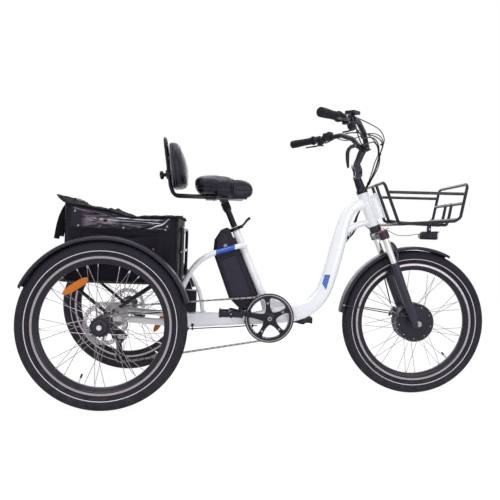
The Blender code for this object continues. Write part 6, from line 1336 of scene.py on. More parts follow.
def build_handlebar():
    """One swept bar, bent up and back on both sides of its clamp."""
    clamp = steer(BAR_CLAMP[0], 0, BAR_CLAMP[1])
    half = [(clamp[0], 0.044, clamp[2]), (0.368, 0.088, 1.086), (0.33, 0.15, 1.112), (0.3, 0.185, 1.11),
            (0.14, 0.36, 1.096)]
    line = [(x, -y, z) for x, y, z in reversed(half)] + half
    piece = Piece("handlebar_look")
    piece.sweep(rounded(line, 0.038, 8), 0.0111, 28)
    return piece.make("stem", ("black_paint",), ("handlebar",))


def build_grip(node, side):
    """Closed-end grip: a flared collar, fine ribs round the palm and a rolled end."""
    end = BAR_END + 0.004
    start = BAR_END - 0.128
    along = np.linspace(start, end, 150)
    share = (along - start) / (end - start)
    swell = 0.0158 + 0.0024 * ease(0.35, 0.9, share) + 0.0007 * (1 - ease(0.0, 0.3, share))
    ribs = 0.00035 * np.cos(2 * np.pi * (along - start) / 0.0034)
    ribs *= ease(0.1, 0.16, share) * (1 - ease(0.84, 0.9, share))
    flare = 0.0205 * (share < 0.045) + (share >= 0.045) * (share < 0.075) * 0.0178
    reach = np.where(flare > 0, flare, swell + ribs)
    tip = np.clip((along - (end - 0.0045)) / 0.0045, 0, 1)
    reach = reach - 0.0035 * tip ** 2
    profile = np.vstack(([0.0, start], np.stack((reach, along), 1), [0.0, end]))
    piece = Piece(node + "_look")
    piece.turn(profile, bar_frame(side), 48)
    return piece.make("stem", ("grip_rubber",), (node,), angle=50)


def build_brake_mount(node, side):
    """Split clamp, perch, barrel adjuster and the clamp's screw."""
    piece = Piece(node + "_look")
    place = bar_frame(side)
    piece.turn(collar(0.072, 0.094, 0.0165, edge=0.0012), place, 44, closed=True)
    for low, high in ((-0.027, -0.0212), (-0.0108, -0.0066)):
        piece.block((low, 0.006, 0.0735), (high, 0.0285, 0.0925), place)
    piece.block((-0.027, 0.004, 0.0735), (-0.0066, 0.012, 0.0925), place)
    for start, end, radius, sides, slot in (
            ((-0.016, 0.012, 0.077), (-0.016, 0.0135, 0.062), 0.0052, 22, 0),
            ((-0.016, 0.0135, 0.0625), (-0.016, 0.014, 0.053), 0.004, 20, 1),
            ((-0.0278, 0.021, 0.083), (-0.0058, 0.021, 0.083), 0.0032, 18, 1),
            ((0.006, 0.0175, 0.083), (-0.004, 0.0205, 0.083), 0.0026, 12, 1)):
        piece.rod(start, end, radius, sides, slot, place)
    return piece.make("stem", ("black_plastic", "satin_steel"), (node,), bevel=0.0008)


def build_brake_lever(node, body, side):
    """Curved two-finger blade with a ball end."""
    up, ahead, along = BRAKE_PIVOT
    line = [(up, ahead, along - 0.002), (up - 0.001, ahead + 0.014, along + 0.018),
            (up - 0.002, ahead + 0.02, along + 0.045), (up - 0.002, ahead + 0.017, along + 0.075),
            (up - 0.001, ahead + 0.02, along + 0.102)]
    path = smooth(line, 9)
    share = np.linspace(0, 1, len(path))
    high = 0.0042 - 0.0008 * share
    wide = 0.0065 - 0.0026 * np.minimum(1, share * 2.2) + 0.0016 * ease(0.93, 0.97, share)
    rings = np.stack([circle_ring(20, 2.5) * (h, w) for h, w in zip(high, wide)])
    piece = Piece(node + "_look")
    turn = bar_frame(side)
    piece.sweep([tuple(turn @ Vector(p)) for p in path], 1.0, ring=rings, up=tuple(turn.col[0].xyz))
    return piece.make(body, ("black_paint",), (node,))


def build_display():
    """Display case on its clamp, with a glass face and three keys."""
    place = bar_frame(-1)
    piece = Piece("display_look")
    piece.turn(collar(-0.004, 0.01, 0.015), place, 40, closed=True)
    piece.block((0.01, -0.005, -0.002), (0.0245, 0.007, 0.008), place)
    face = place @ FACE_VIEW
    piece.prism(rounded_box((-0.022, -0.026), (0.02, 0.03), 0.006, 5), 0.0225, 0.0345, face)
    piece.prism(rounded_box((-0.0185, -0.0225), (0.0085, 0.0265), 0.003, 4), 0.034, 0.0352, face, slot=1)
    for y in (-0.012, 0.002, 0.016):
        piece.block((0.0115, y - 0.0045, 0.034), (0.0165, y + 0.0045, 0.0356), face, slot=2)
    return piece.make("stem", ("black_plastic", "screen_glass", "button_grey"), ("display",), bevel=0.0012)


def build_shifter():
    """Twin-clamp shifter body with a ribbed drum and a small gear window."""
    place = bar_frame(-1)
    piece = Piece("shifter_look")
    ring = [(0.0116, 0.02), (0.0148, 0.02), (0.0155, 0.021), (0.0155, 0.033), (0.0148, 0.034),
            (0.0116, 0.034)]
    piece.turn(ring, place, 40, closed=True)
    start = Vector(bar_spot(-1, -0.012, 0.004, 0.027))
    axis = Vector(bar_spot(-1, -0.034, 0.012, 0.027)) - start
    length = axis.length
    drum = Matrix.Translation(start) @ axis.to_track_quat("Z", "Y").to_matrix().to_4x4()
    profile = [(0.0, 0.0), (0.0125, 0.0), (0.0155, 0.003), (0.0165, 0.008), (0.0165, length - 0.003),
               (0.015, length - 0.0006), (0.011, length), (0.0, length)]
    piece.turn(profile, drum, 90, wave=notched(0.016, 0.0004, 30, above=0.006))
    window = [(0.0, length - 0.0005), (0.0085, length - 0.0005), (0.0078, length + 0.0005),
              (0.0, length + 0.0007)]
    piece.turn(window, drum, 30, slot=1)
    return piece.make("stem", ("black_plastic", "satin_steel"), ("shifter",), bevel=0.0005)


def build_switch_pod():
    """Lamp and horn switches on the left of the bar."""
    place = bar_frame(1)
    piece = Piece("switch_pod_look")
    ring = [(0.0116, 0.008), (0.0148, 0.008), (0.0155, 0.009), (0.0155, 0.043), (0.0148, 0.044),
            (0.0116, 0.044)]
    piece.turn(ring, place, 40, closed=True)
    piece.block((0.004, -0.018, 0.006), (0.0225, 0.01, 0.024), place)
    piece.block((0.004, -0.018, 0.028), (0.02, 0.01, 0.045), place)
    piece.rod((0.0215, -0.01, 0.015), (0.024, -0.01, 0.015), 0.005, 24, 1, place)
    piece.block((0.0195, -0.015, 0.032), (0.0212, -0.002, 0.041), place, slot=1)
    return piece.make("stem", ("black_plastic", "button_grey"), ("switch_pod",), bevel=0.0014)


build_stem_column()
build_stem_head()
build_stem_lever()
build_handlebar()
build_grip("grip_left", 1)
build_grip("grip_right", -1)
build_brake_mount("brake_mount_left", 1)
build_brake_mount("brake_mount_right", -1)
build_brake_lever("brake_lever_left", "left_brake", 1)
build_brake_lever("brake_lever_right", "right_brake", -1)
build_display()
build_shifter()
build_switch_pod()


# Rack and basket
def build_cargo_rack():
    """Platform loop, slats, V-shaped struts to the axle and the hoop before the bag."""
    piece = Piece("cargo_rack_look")
    front, rear, half = RACK_FRONT, RACK_REAR, RACK_HALF
    corners = [(x, y, RACK_Z) for x, y in ((front, -half), (front, half), (rear, half), (rear, -half))]
    piece.sweep(rounded(corners, 0.03, 8, closed=True), 0.0075, 20, closed=True, up=(0, 0, 1))
    for x in SLATS:
        piece.rod((x, -half, RACK_Z), (x, half, RACK_Z), 0.0055, 18)
        for side in (-1, 1):
            weld(piece, (x, side * (half - 0.0068), RACK_Z), (0, 1, 0), 0.0056, 0.0012)
    for y in (-0.08, 0.08):
        piece.rod((front, y, RACK_Z), (rear, y, RACK_Z), 0.0055, 18)
    for side in (-1, 1):
        y = side * 0.195
        for x, foot in ((SLATS[2], -0.62), (SLATS[0], -0.604)):
            line = rounded([(x, y, RACK_Z), (x, y, RACK_Z - 0.018), (foot, y, 0.3323)], 0.014, 6)
            piece.sweep(line, 0.0065, 18)
        piece.block((-0.631, y - 0.011, 0.3245), (-0.593, y + 0.011, 0.338))
        for x in (-0.625, -0.599):
            piece.rod((x, y, 0.3375), (x, y, 0.3415), 0.0042, HEX, slot=1)
    x = front + 0.0085
    hoop = [(x, -0.19, RACK_Z - 0.002), (x, -0.19, 0.664), (x, 0.19, 0.664), (x, 0.19, RACK_Z - 0.002)]
    piece.sweep(rounded(hoop, 0.03, 8), 0.007, 20, up=(1, 0, 0))
    piece.rod((x, -0.19, 0.574), (x, 0.19, 0.574), 0.006, 18)
    for side in (-1, 1):
        weld(piece, (x, side * 0.1835, 0.574), (0, 1, 0), 0.006, 0.0012)
        piece.rod((x - 0.0005, side * 0.19, 0.574), (x - 0.0005, side * 0.1985, 0.574), 0.0036, HEX, slot=1)
    return piece.make("frame", ("black_paint", "satin_steel"), ("cargo_rack",), bevel=0.0006)


def build_front_basket():
    """Wire basket of bent bars, its hooks to the head tube and the lamp's yoke."""
    piece = Piece("front_basket_look")
    half, radius, plane = 0.145, 0.0062, 0.0581
    corner, foot = steer(plane, 0, 0.16), steer(plane, 0, -0.016)
    loop = [(corner[0], corner[2]), (foot[0], foot[2]), (0.742, 0.735), (0.764, 0.75), (0.789, 0.886)]
    around = [(x, -half, z) for x, z in loop] + [(x, half, z) for x, z in reversed(loop)]
    piece.sweep(rounded(around, 0.02, 7, closed=True), radius, 18, closed=True)
    for side in (-1, 1):
        y = side * half
        piece.rod(steer(plane, y, 0.12), (0.7805, y, 0.846), radius, 18)
        inner = side * 0.03
        hook = [steer(plane, inner, 0.16), steer(plane, inner, 0.0), (0.56, inner, 0.725),
                (0.756, inner, 0.7215), (0.766, inner, 0.762), (0.7745, inner, 0.814)]
        piece.sweep(rounded(hook, 0.012, 6), radius, 18)
        for z in (0.04, 0.108):
            piece.rod(steer(plane + 0.0035, inner, z), steer(plane + 0.0078, inner, z), 0.0062, HEX, slot=1)
    for x, z in ((0.774, 0.808), (foot[0], foot[2]), (0.753, 0.742)):
        piece.rod((x, -half, z), (x, half, z), radius, 18)
    tab = [(0.683, 0.726), (0.701, 0.726), (0.7, 0.7026), (0.696, 0.6956), (0.688, 0.6956), (0.684, 0.7026)]
    piece.prism(tab, -0.004, 0.004, SIDE_VIEW)
    piece.block((0.683, -0.032, 0.72), (0.701, 0.032, 0.725))
    return piece.make("frame", ("black_paint", "satin_steel"), ("front_basket",), bevel=0.0004)


LAMP_Z = 0.6763


def build_headlight():
    """Ribbed lamp body with a visor, a bright bezel and a clear lens."""
    piece = Piece("headlight_look")
    share = np.linspace(0, 1, 40)
    x = 0.65 + 0.072 * share
    low = 0.664 - 0.006 * ease(0.0, 0.14, share)
    high = 0.68 + 0.0125 * ease(0.0, 0.2, share) + 0.002 * ease(0.5, 1.0, share)
    fin = 0.0011 * (np.cos(2 * np.pi * share * 12) > 0.2) * (share > 0.15) * (share < 0.55)
    width = 0.015 + 0.0058 * ease(0.0, 0.25, share) - fin
    ring = circle_ring(36, 3.6)
    rows = [np.stack((np.full(36, a), ring[:, 0] * w, 0.5 * (b + c) + ring[:, 1] * 0.5 * (c - b)), 1)
            for a, b, c, w in zip(x, low, high, width)]
    piece.grid(np.array(rows))
    bezel = ((0.7215, 1.0), (0.7262, 1.0), (0.7272, 0.97), (0.7272, 0.86), (0.723, 0.82), (0.7215, 0.8))
    lens = ((0.7236, 0.84), (0.7262, 0.84), (0.7286, 0.7), (0.7296, 0.42), (0.73, 0.1))
    for steps, slot in ((bezel, 2), (lens, 1)):
        rows = [np.stack((np.full(36, a), ring[:, 0] * 0.02 * s, LAMP_Z + ring[:, 1] * 0.0172 * s), 1)
                for a, s in steps]
        piece.grid(np.array(rows), slot=slot)
    visor = [(0.718, 0.6925), (0.7325, 0.6905), (0.7332, 0.6932), (0.718, 0.6948)]
    piece.prism(visor, -0.0195, 0.0195, SIDE_VIEW)
    for side in (-1, 1):
        piece.block((0.685, side * 0.0046, 0.686), (0.699, side * 0.0084, 0.7085))
        piece.rod((0.692, side * 0.008, 0.7026), (0.692, side * 0.0108, 0.7026), 0.0042, HEX, slot=2)
    gland = [(0.0, 0.6495), (0.008, 0.6495), (0.0085, 0.651), (0.0, 0.653)]
    piece.turn(gland, Matrix.Translation((0, 0, 0.672)) @ ALONG, 28, slot=2)
    return piece.make("lamp", ("black_plastic", "lamp_glass", "satin_steel"), ("headlight",), bevel=0.0006)


build_cargo_rack()
build_front_basket()
build_headlight()


# Chain drive
CRANK_ARM = 0.165
CRANK_ANGLES = {-1: math.radians(170), 1: math.radians(350)}
DRIVE = ((CRANK, 44, 1), ((REAR_X, AXLE), 16, 1), ((-0.6, 0.215), 11, -1), ((-0.585, 0.135), 11, 1))


def pitch_radius(teeth):
    """Radius on which the chain's pins lie: pitch / (2 sin(pi / teeth))."""
    return CHAIN_PITCH / (2 * math.sin(math.pi / teeth))


def chain_path():
    """The chain's closed line: for each toothed wheel the arc round it and the run to the next.

    A run leaves at heading = direction to the next centre - atan2(offset, span), with offset the
    difference of the signed pitch radii.
    """
    headings, spans = [], []
    for (first, teeth1, sense1), (second, teeth2, sense2) in zip(DRIVE, DRIVE[1:] + DRIVE[:1]):
        offset = sense2 * pitch_radius(teeth2) - sense1 * pitch_radius(teeth1)
        across, rise = second[0] - first[0], second[1] - first[1]
        span_length = math.sqrt(across ** 2 + rise ** 2 - offset ** 2)
        headings.append(math.atan2(rise, across) - math.atan2(offset, span_length))
        spans.append(span_length)
    pieces = []
    for i, ((x, z), teeth, sense) in enumerate(DRIVE):
        radius = pitch_radius(teeth)
        sweep = (sense * (headings[i] - headings[i - 1])) % (2 * math.pi)
        pieces.append((sweep * radius, (x, z, radius, headings[i - 1] - sense * math.pi / 2, sense)))
        last = headings[i] - sense * math.pi / 2
        pieces.append((spans[i], (x + radius * math.cos(last), z + radius * math.sin(last), headings[i])))
    return pieces


CHAIN_PATH = chain_path()
CHAIN_LENGTH = sum(length for length, _ in CHAIN_PATH)
LINKS = 2 * round(CHAIN_LENGTH / CHAIN_PITCH / 2)
CHAIN_STEP = CHAIN_LENGTH / LINKS


def chain_point(distance):
    """The point at a distance along the chain's line, as (x, z)."""
    distance %= CHAIN_LENGTH
    for length, data in CHAIN_PATH:
        if distance <= length:
            break
        distance -= length
    if len(data) == 5:
        x, z, radius, first, sense = data
        angle = first + sense * distance / radius
        return np.array((x + radius * math.cos(angle), z + radius * math.sin(angle)))
    x, z, heading = data
    return np.array((x + distance * math.cos(heading), z + distance * math.sin(heading)))


def tooth_phase(wheel):
    """Angle of a tooth: half way between the two rollers at the middle of the wrap."""
    before = sum(length for length, _ in CHAIN_PATH[:2 * wheel])
    link = math.floor((before + CHAIN_PATH[2 * wheel][0] / 2) / CHAIN_STEP)
    across, rise = chain_point((link + 0.5) * CHAIN_STEP) - np.array(DRIVE[wheel][0])
    return math.atan2(rise, across)


def build_chain():
    """Roller chain: figure-eight plates in pairs, wide and narrow by turns, on pins and rollers."""
    piece = Piece("chain_look")
    radius, waist = 0.0041, 0.0029
    ends = np.radians(np.linspace(-112, 112, 6))
    for link in range(LINKS):
        first, second = chain_point(link * CHAIN_STEP), chain_point((link + 1) * CHAIN_STEP)
        along = second - first
        length = np.linalg.norm(along)
        outline = [(length / 2 + radius * math.cos(a), radius * math.sin(a)) for a in ends]
        outline += [(0, waist)] + [(-x, -y) for x, y in outline] + [(0, -waist)]
        middle = (first + second) / 2
        place = Matrix.Translation((middle[0], CHAIN_Y, middle[1])) @ SIDE_VIEW
        place = place @ Matrix.Rotation(math.atan2(along[1], along[0]), 4, "Z")
        inner = 0.0028 if link % 2 else 0.0018
        for low, high in ((inner, inner + 0.0009), (-inner - 0.0009, -inner)):
            piece.prism(outline, low, high, place, slot=link % 2)
        x, z = first
        for half, thick, sides in ((0.004, 0.0016, 8), (0.0017, 0.0034, 10)):
            piece.rod((x, CHAIN_Y - half, z), (x, CHAIN_Y + half, z), thick, sides, slot=1)
    return piece.make("frame", ("chain_steel", "satin_steel"), ("chain",), angle=30)


def add_toothed(piece, wheel, thickness, slot, hole=0.0034):
    """A toothed disc: radius = root + (tip - root) * smooth step of the cosine of teeth * angle."""
    (x, z), teeth, _ = DRIVE[wheel]
    radius = pitch_radius(teeth)
    root, tip = radius - 0.004, 0.0026
    steps = teeth * 10
    angle = 2 * np.pi * np.arange(steps) / steps
    wave = ease(0.3, 0.92, 0.5 + 0.5 * np.cos(teeth * (angle - tooth_phase(wheel))))
    reach = root + (radius + tip - root) * wave
    rings = [(np.full(steps, hole), -thickness / 2), (reach - 0.0006, -thickness / 2),
             (reach, -thickness / 4), (reach, thickness / 4), (reach - 0.0006, thickness / 2),
             (np.full(steps, hole), thickness / 2)]
    rows = np.array([np.stack((r * np.cos(angle), r * np.sin(angle), h + 0 * r), 1) for r, h in rings])
    place = Matrix.Translation((x, CHAIN_Y, z)) @ SIDE_VIEW
    piece.grid(carried(rows, place), along=True, around=True, slot=slot)


def build_freewheel():
    """Driven sprocket, guard disc and the ribbed casing of the differential."""
    piece = Piece("freewheel_look")
    add_toothed(piece, 1, 0.0021, 1, hole=0.018)
    place = Matrix.Translation((REAR_X, 0, AXLE)) @ ACROSS
    core = [(0.0, -0.0715), (0.01, -0.0715), (0.0112, -0.0705), (0.0118, -0.069), (0.0185, -0.0605),
            (0.019, -0.059), (0.019, -0.0235), (0.02, -0.0222), (0.033, -0.0185), (0.034, -0.0172),
            (0.034, 0.0172), (0.033, 0.0184), (0.018, 0.0284), (0.016, 0.0305), (0.016, 0.0385),
            (0.0, 0.0385)]
    piece.turn(core, place, 96, wave=notched(0.0335, 0.0009, 16, 0.3))
    guard = [(0.018, -0.035), (0.049, -0.035), (0.05, -0.0345), (0.05, -0.0335), (0.049, -0.033),
             (0.018, -0.033)]
    piece.turn(guard, place, 72, closed=True, slot=1)
    for bolt in range(6):
        a = 2 * math.pi * bolt / 6 + 0.3
        x, z = REAR_X + 0.027 * math.cos(a), AXLE + 0.027 * math.sin(a)
        piece.rod((x, -0.0225, z), (x, -0.0185, z), 0.003, HEX, slot=1)
    return piece.make("sprocket", ("motor_black", "satin_steel"), ("freewheel",), bevel=0.0004)


def build_pulley(node, body, wheel):
    """A toothed pulley of the derailleur's cage with its bearing."""
    piece = Piece(node + "_look")
    add_toothed(piece, wheel, 0.002, 0)
    (x, z), _, _ = DRIVE[wheel]
    place = Matrix.Translation((x, CHAIN_Y, z)) @ SIDE_VIEW
    hub = [(0.0034, -0.0039), (0.0072, -0.0039), (0.008, -0.0032), (0.008, 0.0032), (0.0072, 0.0039),
           (0.0034, 0.0039)]
    piece.turn(hub, place, 32, closed=True, slot=1)
    return piece.make(body, ("black_plastic", "satin_steel"), (node,), bevel=0.0002)


def add_crank_arm(piece, side, inner, outer):
    """A tapered arm between two planes across the axle, with its pedal spindle and end bolt."""
    x, z = CRANK
    turn = CRANK_ANGLES[side]
    away = Vector((math.cos(turn), 0, math.sin(turn)))
    centre = Vector((x, 0.5 * (inner + outer), z))
    share = np.linspace(-0.09, 1.06, 36)
    wide = 0.0165 - 0.0055 * ease(0.0, 0.45, share) + 0.0015 * ease(0.75, 1.0, share)
    wide *= np.sqrt(np.clip(1 - np.clip((np.abs(share - 0.485) - 0.5) / 0.08, 0, 1) ** 2, 0.05, 1))
    thick = np.where(share < 0.1, 0.007, 0.0058) + 0.0012 * ease(0.85, 1.0, share)
    rings = np.stack([circle_ring(28, 2.8) * (t, w) for t, w in zip(thick, wide)])
    piece.sweep([tuple(centre + away * (CRANK_ARM * s)) for s in share], 1.0, ring=rings)
    eye = centre + away * CRANK_ARM
    piece.rod((eye.x, inner + side * 0.002, eye.z), (eye.x, side * 0.18, eye.z), 0.0045, 20, slot=2)
    piece.rod((x, outer - side * 0.004, z), (x, outer + side * 0.0012, z), 0.009, 30, slot=2)
    piece.rod((x, outer + side * 0.0008, z), (x, outer + side * 0.0022, z), 0.005, HEX)


def build_crankset():
    """Chainring behind a guard disc with five rounded windows, tapered arms and pedal spindles."""
    x, z = CRANK
    piece = Piece("crankset_look")
    add_toothed(piece, 0, 0.0021, 2, hole=0.08)
    guard = Matrix.Translation((x, -0.0555, z)) @ SIDE_VIEW
    band = [(0.085, -0.0015), (0.1008, -0.0015), (0.102, -0.0006), (0.102, 0.0006), (0.1008, 0.0015),
            (0.097, 0.0015), (0.0966, 0.0012), (0.0932, 0.0012), (0.0928, 0.0015), (0.085, 0.0015)]
    slots = np.array([0, 0, 0, 0, 0, 0, 2, 0, 0, 0])
    piece.turn(band, guard, 160, closed=True, slot=slots[None, :])
    boss = [(0.0, -0.003), (0.0225, -0.003), (0.024, -0.001), (0.024, 0.003), (0.021, 0.005),
            (0.0, 0.005)]
    piece.turn(boss, guard, 48)
    inside_r, outside_r = 0.018, 0.0875
    reach = np.linspace(inside_r, outside_r, 44)
    half = 0.0082 + 0.0175 * np.exp(-(outside_r - reach) / 0.0062)
    half += 0.013 * np.exp(-(reach - inside_r) / 0.011)
    outline = list(zip(reach, half)) + list(zip(reach[::-1], -half[::-1]))
    for arm in range(5):
        turn = guard @ Matrix.Rotation(math.radians(170 - 72 * arm), 4, "Z")
        piece.prism(outline, -0.0014, 0.0026, turn)
        piece.rod((0.062, 0, 0.0024), (0.062, 0, 0.004), 0.0046, 20, 2, turn)
        piece.rod((0.062, 0, -0.0096), (0.062, 0, 0.0024), 0.004, 16, 2, turn)
    piece.rod((x, -0.074, z), (x, 0.074, z), 0.0095, 28, slot=2)
    for side, inner, outer in ((-1, -0.064, -0.078), (1, 0.062, 0.076)):
        add_crank_arm(piece, side, inner, outer)
    return piece.make("crank", ("black_paint", "bright_steel", "satin_steel"), ("crankset",), bevel=0.0005)


def build_pedal(node, body, side):
    """Platform cage: two serrated side plates, end bars, the barrel and an amber reflector each way."""
    turn = CRANK_ANGLES[side]
    place = Matrix.Translation((CRANK[0] + CRANK_ARM * math.cos(turn), side * 0.15,
                                CRANK[1] + CRANK_ARM * math.sin(turn)))
    piece = Piece(node + "_look")
    along = np.linspace(-0.0445, 0.0445, 61)
    tooth = 0.013 - 0.0022 * (np.cos(2 * np.pi * along / 0.0081) < -0.2)
    outline = list(zip(along, tooth)) + list(zip(along[::-1], -tooth[::-1]))
    for end in (-1, 1):
        piece.prism(outline, *sorted((end * 0.0375, end * 0.0465)), place @ FACE_VIEW)
        for y in (-1, 1):
            piece.block((end * 0.01, y * 0.038, -0.0105), (end * 0.0385, y * 0.0445, 0.0105), place)
        piece.block((end * 0.0462, -0.026, -0.007), (end * 0.0476, 0.026, 0.007), place, slot=1)
    barrel = [(0.0056, -0.0445), (0.012, -0.0445), (0.0128, -0.0435), (0.0128, -0.033), (0.0108, -0.03),
              (0.01, 0.0), (0.0108, 0.03), (0.0128, 0.033), (0.0128, 0.0435), (0.012, 0.0445),
              (0.0056, 0.0445)]
    piece.turn(barrel, place @ ACROSS, 36, closed=True)
    return piece.make(body, ("black_plastic", "reflector_orange"), (node,), bevel=0.0008)


build_chain()
build_freewheel()
build_pulley("guide_pulley", "upper_pulley", 2)
build_pulley("tension_pulley", "lower_pulley", 3)
build_crankset()
build_pedal("pedal_left", "left_pedal", 1)
build_pedal("pedal_right", "right_pedal", -1)


# Padded seat and backrest
def baked(obj):
    """Apply every modifier of an object to its mesh."""
    bpy.context.view_layer.update()
    result = bpy.data.meshes.new_from_object(obj.evaluated_get(bpy.context.evaluated_depsgraph_get()))
    obj.modifiers.clear()
    obj.data = result
    return obj


def points_of(mesh):
    """A mesh's points as an array."""
    values = np.empty(len(mesh.vertices) * 3)
    mesh.vertices.foreach_get("co", values)
    return values.reshape(-1, 3)


def move_points(mesh, points):
    """Give a mesh's points new places."""
    mesh.vertices.foreach_set("co", points.reshape(-1))
    mesh.update()


CLOTH_FRAMES, CLOTH_PRESSURE, VOXEL, PADDED_SIDES = 20, 4.0, 0.005, 64


def blow_up(obj, cap, weight):
    """A short cloth run under inner pressure; no point moves further than cap * weight."""
    rest = points_of(obj.data)
    cloth = obj.modifiers.new("cloth", "CLOTH")
    cloth.settings.use_pressure = True
    cloth.settings.uniform_pressure_force = CLOTH_PRESSURE
    cloth.settings.effector_weights.gravity = 0
    cloth.settings.quality = 5
    cloth.settings.bending_stiffness = 0.8
    cloth.collision_settings.use_collision = False
    cloth.point_cache.frame_start, cloth.point_cache.frame_end = 1, CLOTH_FRAMES
    for number in range(1, CLOTH_FRAMES + 1):
        SCENE.frame_set(number)
    shape = obj.evaluated_get(bpy.context.evaluated_depsgraph_get())
    moved = points_of(shape.to_mesh())
    shape.to_mesh_clear()
    obj.modifiers.remove(cloth)
    SCENE.frame_set(1)
    shift = moved - rest
    far = np.linalg.norm(shift, axis=1)
    limit = cap * weight(rest)
    shift *= np.minimum(1, limit / np.maximum(far, 1e-9))[:, None]
    move_points(obj.data, rest + shift)


def stuffed(name, rows, cap, weight):
    """Closed rings, remeshed evenly, blown up as cloth and subdivided once."""
    piece = Piece(name)
    piece.grid(rows)
    obj = bpy.data.objects.new(name, piece.mesh())
    SCENE.collection.objects.link(obj)
    step = obj.modifiers.new("even", "REMESH")
    step.mode = "VOXEL"
    step.voxel_size = VOXEL
    baked(obj)
    blow_up(obj, cap, weight)
    step = obj.modifiers.new("soften", "SMOOTH")
    step.iterations = 3
    step = obj.modifiers.new("refine", "SUBSURF")
    step.levels = step.render_levels = 1
    return baked(obj)


def loop_on(obj, centre, first, second, lift=(0, 0, 0), count=160):
    """Where rays from a centre, turning in the plane of two directions, meet the surface."""
    bm = bmesh.new()
    bm.from_mesh(obj.data)
    tree = BVHTree.FromBMesh(bm)
    bm.free()
    centre = Vector(centre) + Vector(SHIFT)
    path = []
    for i in range(count):
        turn = 2 * math.pi * i / count
        ray = Vector(first) * math.cos(turn) + Vector(second) * math.sin(turn) + Vector(lift)
        hit = tree.ray_cast(centre, ray.normalized(), 1.0)[0]
        if hit is not None:
            path.append(hit)
    return np.array(path) - SHIFT


def press(obj, path, depth, width):
    """Draw the surface in along a line: depth * exp(-(distance / width) squared)."""
    points = points_of(obj.data)
    normals = np.empty(points.shape)
    obj.data.vertices.foreach_get("normal", normals.reshape(-1))
    line = np.asarray(path) + SHIFT
    near = np.full(len(points), 9.0)
    for start in range(0, len(line), 40):
        gap = np.linalg.norm(points[:, None] - line[None, start:start + 40], axis=2).min(1)
        near = np.minimum(near, gap)
    move_points(obj.data, points - normals * (depth * np.exp(-(near / width) ** 2))[:, None])


def dress(obj, body, material, node):
    """Finish of a padded piece, the body it rides on and the node it stands for."""
    obj.data.materials.clear()
    obj.data.materials.append(MATERIALS[material])
    obj.data.shade_smooth()
    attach(obj, body)
    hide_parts(node)


SADDLE = (
    # x, half width, top, underside
    (-0.311, 0.05, 0.865, 0.843), (-0.3065, 0.078, 0.8745, 0.829), (-0.2965, 0.101, 0.8805, 0.819),
    (-0.278, 0.116, 0.884, 0.8118), (-0.248, 0.118, 0.8845, 0.811), (-0.224, 0.113, 0.8835, 0.8105),
    (-0.216, 0.109, 0.883, 0.801), (-0.185, 0.092, 0.8815, 0.8), (-0.166, 0.075, 0.8785, 0.8),
    (-0.15, 0.05, 0.873, 0.8), (-0.118, 0.04, 0.8715, 0.8), (-0.092, 0.034, 0.869, 0.8045),
    (-0.075, 0.028, 0.86, 0.812), (-0.065, 0.016, 0.843, 0.824))


def saddle_rows():
    """Rings across the saddle: crowned top, tucked-in flanks and a flat underside."""
    c, s = unit_circle(PADDED_SIDES)
    rows = []
    for x, half, top, low in smooth(SADDLE, 5):
        middle = low + 0.56 * (top - low)
        across = half * np.sign(c) * np.abs(c) ** 0.72
        up = middle + (top - middle) * np.abs(s) ** 0.8
        down = middle - (middle - low) * np.minimum(1, np.abs(s) * 1.35) ** 0.85
        across = np.where(s > 0, across, across * (1 - 0.2 * np.abs(s) ** 1.5))
        rows.append(np.stack((np.full_like(c, x), across, np.where(s > 0, up, down)), 1))
    return np.array(rows)


def build_saddle():
    """Saddle cover over foam, with a seam before the nose, a lower welt and its plastic base."""
    obj = stuffed("saddle_look", saddle_rows(), 0.006, lambda p: ease(0.803, 0.828, p[:, 2]))
    seams = [loop_on(obj, (-0.142, 0, 0.842), (0.12, 1, 0), (0, 0, 1)),
             loop_on(obj, (-0.21, 0, 0.8285), (1, 0, 0), (0, 1, 0), count=360)]
    press(obj, seams[0], 0.0026, 0.0045)
    press(obj, seams[1], 0.0016, 0.0032)
    crest = np.stack((np.linspace(-0.285, -0.15, 90), np.zeros(90), np.full(90, 0.886)), 1)
    press(obj, crest, 0.003, 0.012)
    dress(obj, "seat", "seat_vinyl", "saddle")
    piece = Piece("saddle_base")
    for path in seams:
        # seam piping in the pale finish that paints a highlight along the seam
        piece.sweep(path * (1, 0.992, 1), 0.0009, 8, closed=True, slot=1)
    keep = saddle_rows()[12:-10]
    keep = keep[keep[:, 0, 0] > -0.224]
    outline = np.vstack((keep[:, 40], keep[::-1, 56]))
    steps = ((0.9, 0.812), (0.95, 0.8085), (0.99, 0.801), (0.97, 0.799), (0.88, 0.7984))
    piece.grid([outline * (1, s, 0) + (0, 0, z) for s, z in steps])
    piece.block((-0.23, -0.034, 0.7946), (-0.206, 0.034, 0.81))
    return piece.make("seat", ("black_plastic", "piping_painted_highlight"), bevel=0.0012, angle=40)


PAD = (
    # height along the bars, rear, front, half width
    (-0.0245, 0.014, 0.043, 0.062), (-0.018, 0.0115, 0.06, 0.096), (0.005, 0.0115, 0.069, 0.116),
    (0.035, 0.0118, 0.073, 0.123), (0.07, 0.0122, 0.0725, 0.1235), (0.105, 0.0138, 0.065, 0.121),
    (0.133, 0.015, 0.056, 0.111), (0.153, 0.0165, 0.048, 0.094), (0.16, 0.019, 0.039, 0.07))


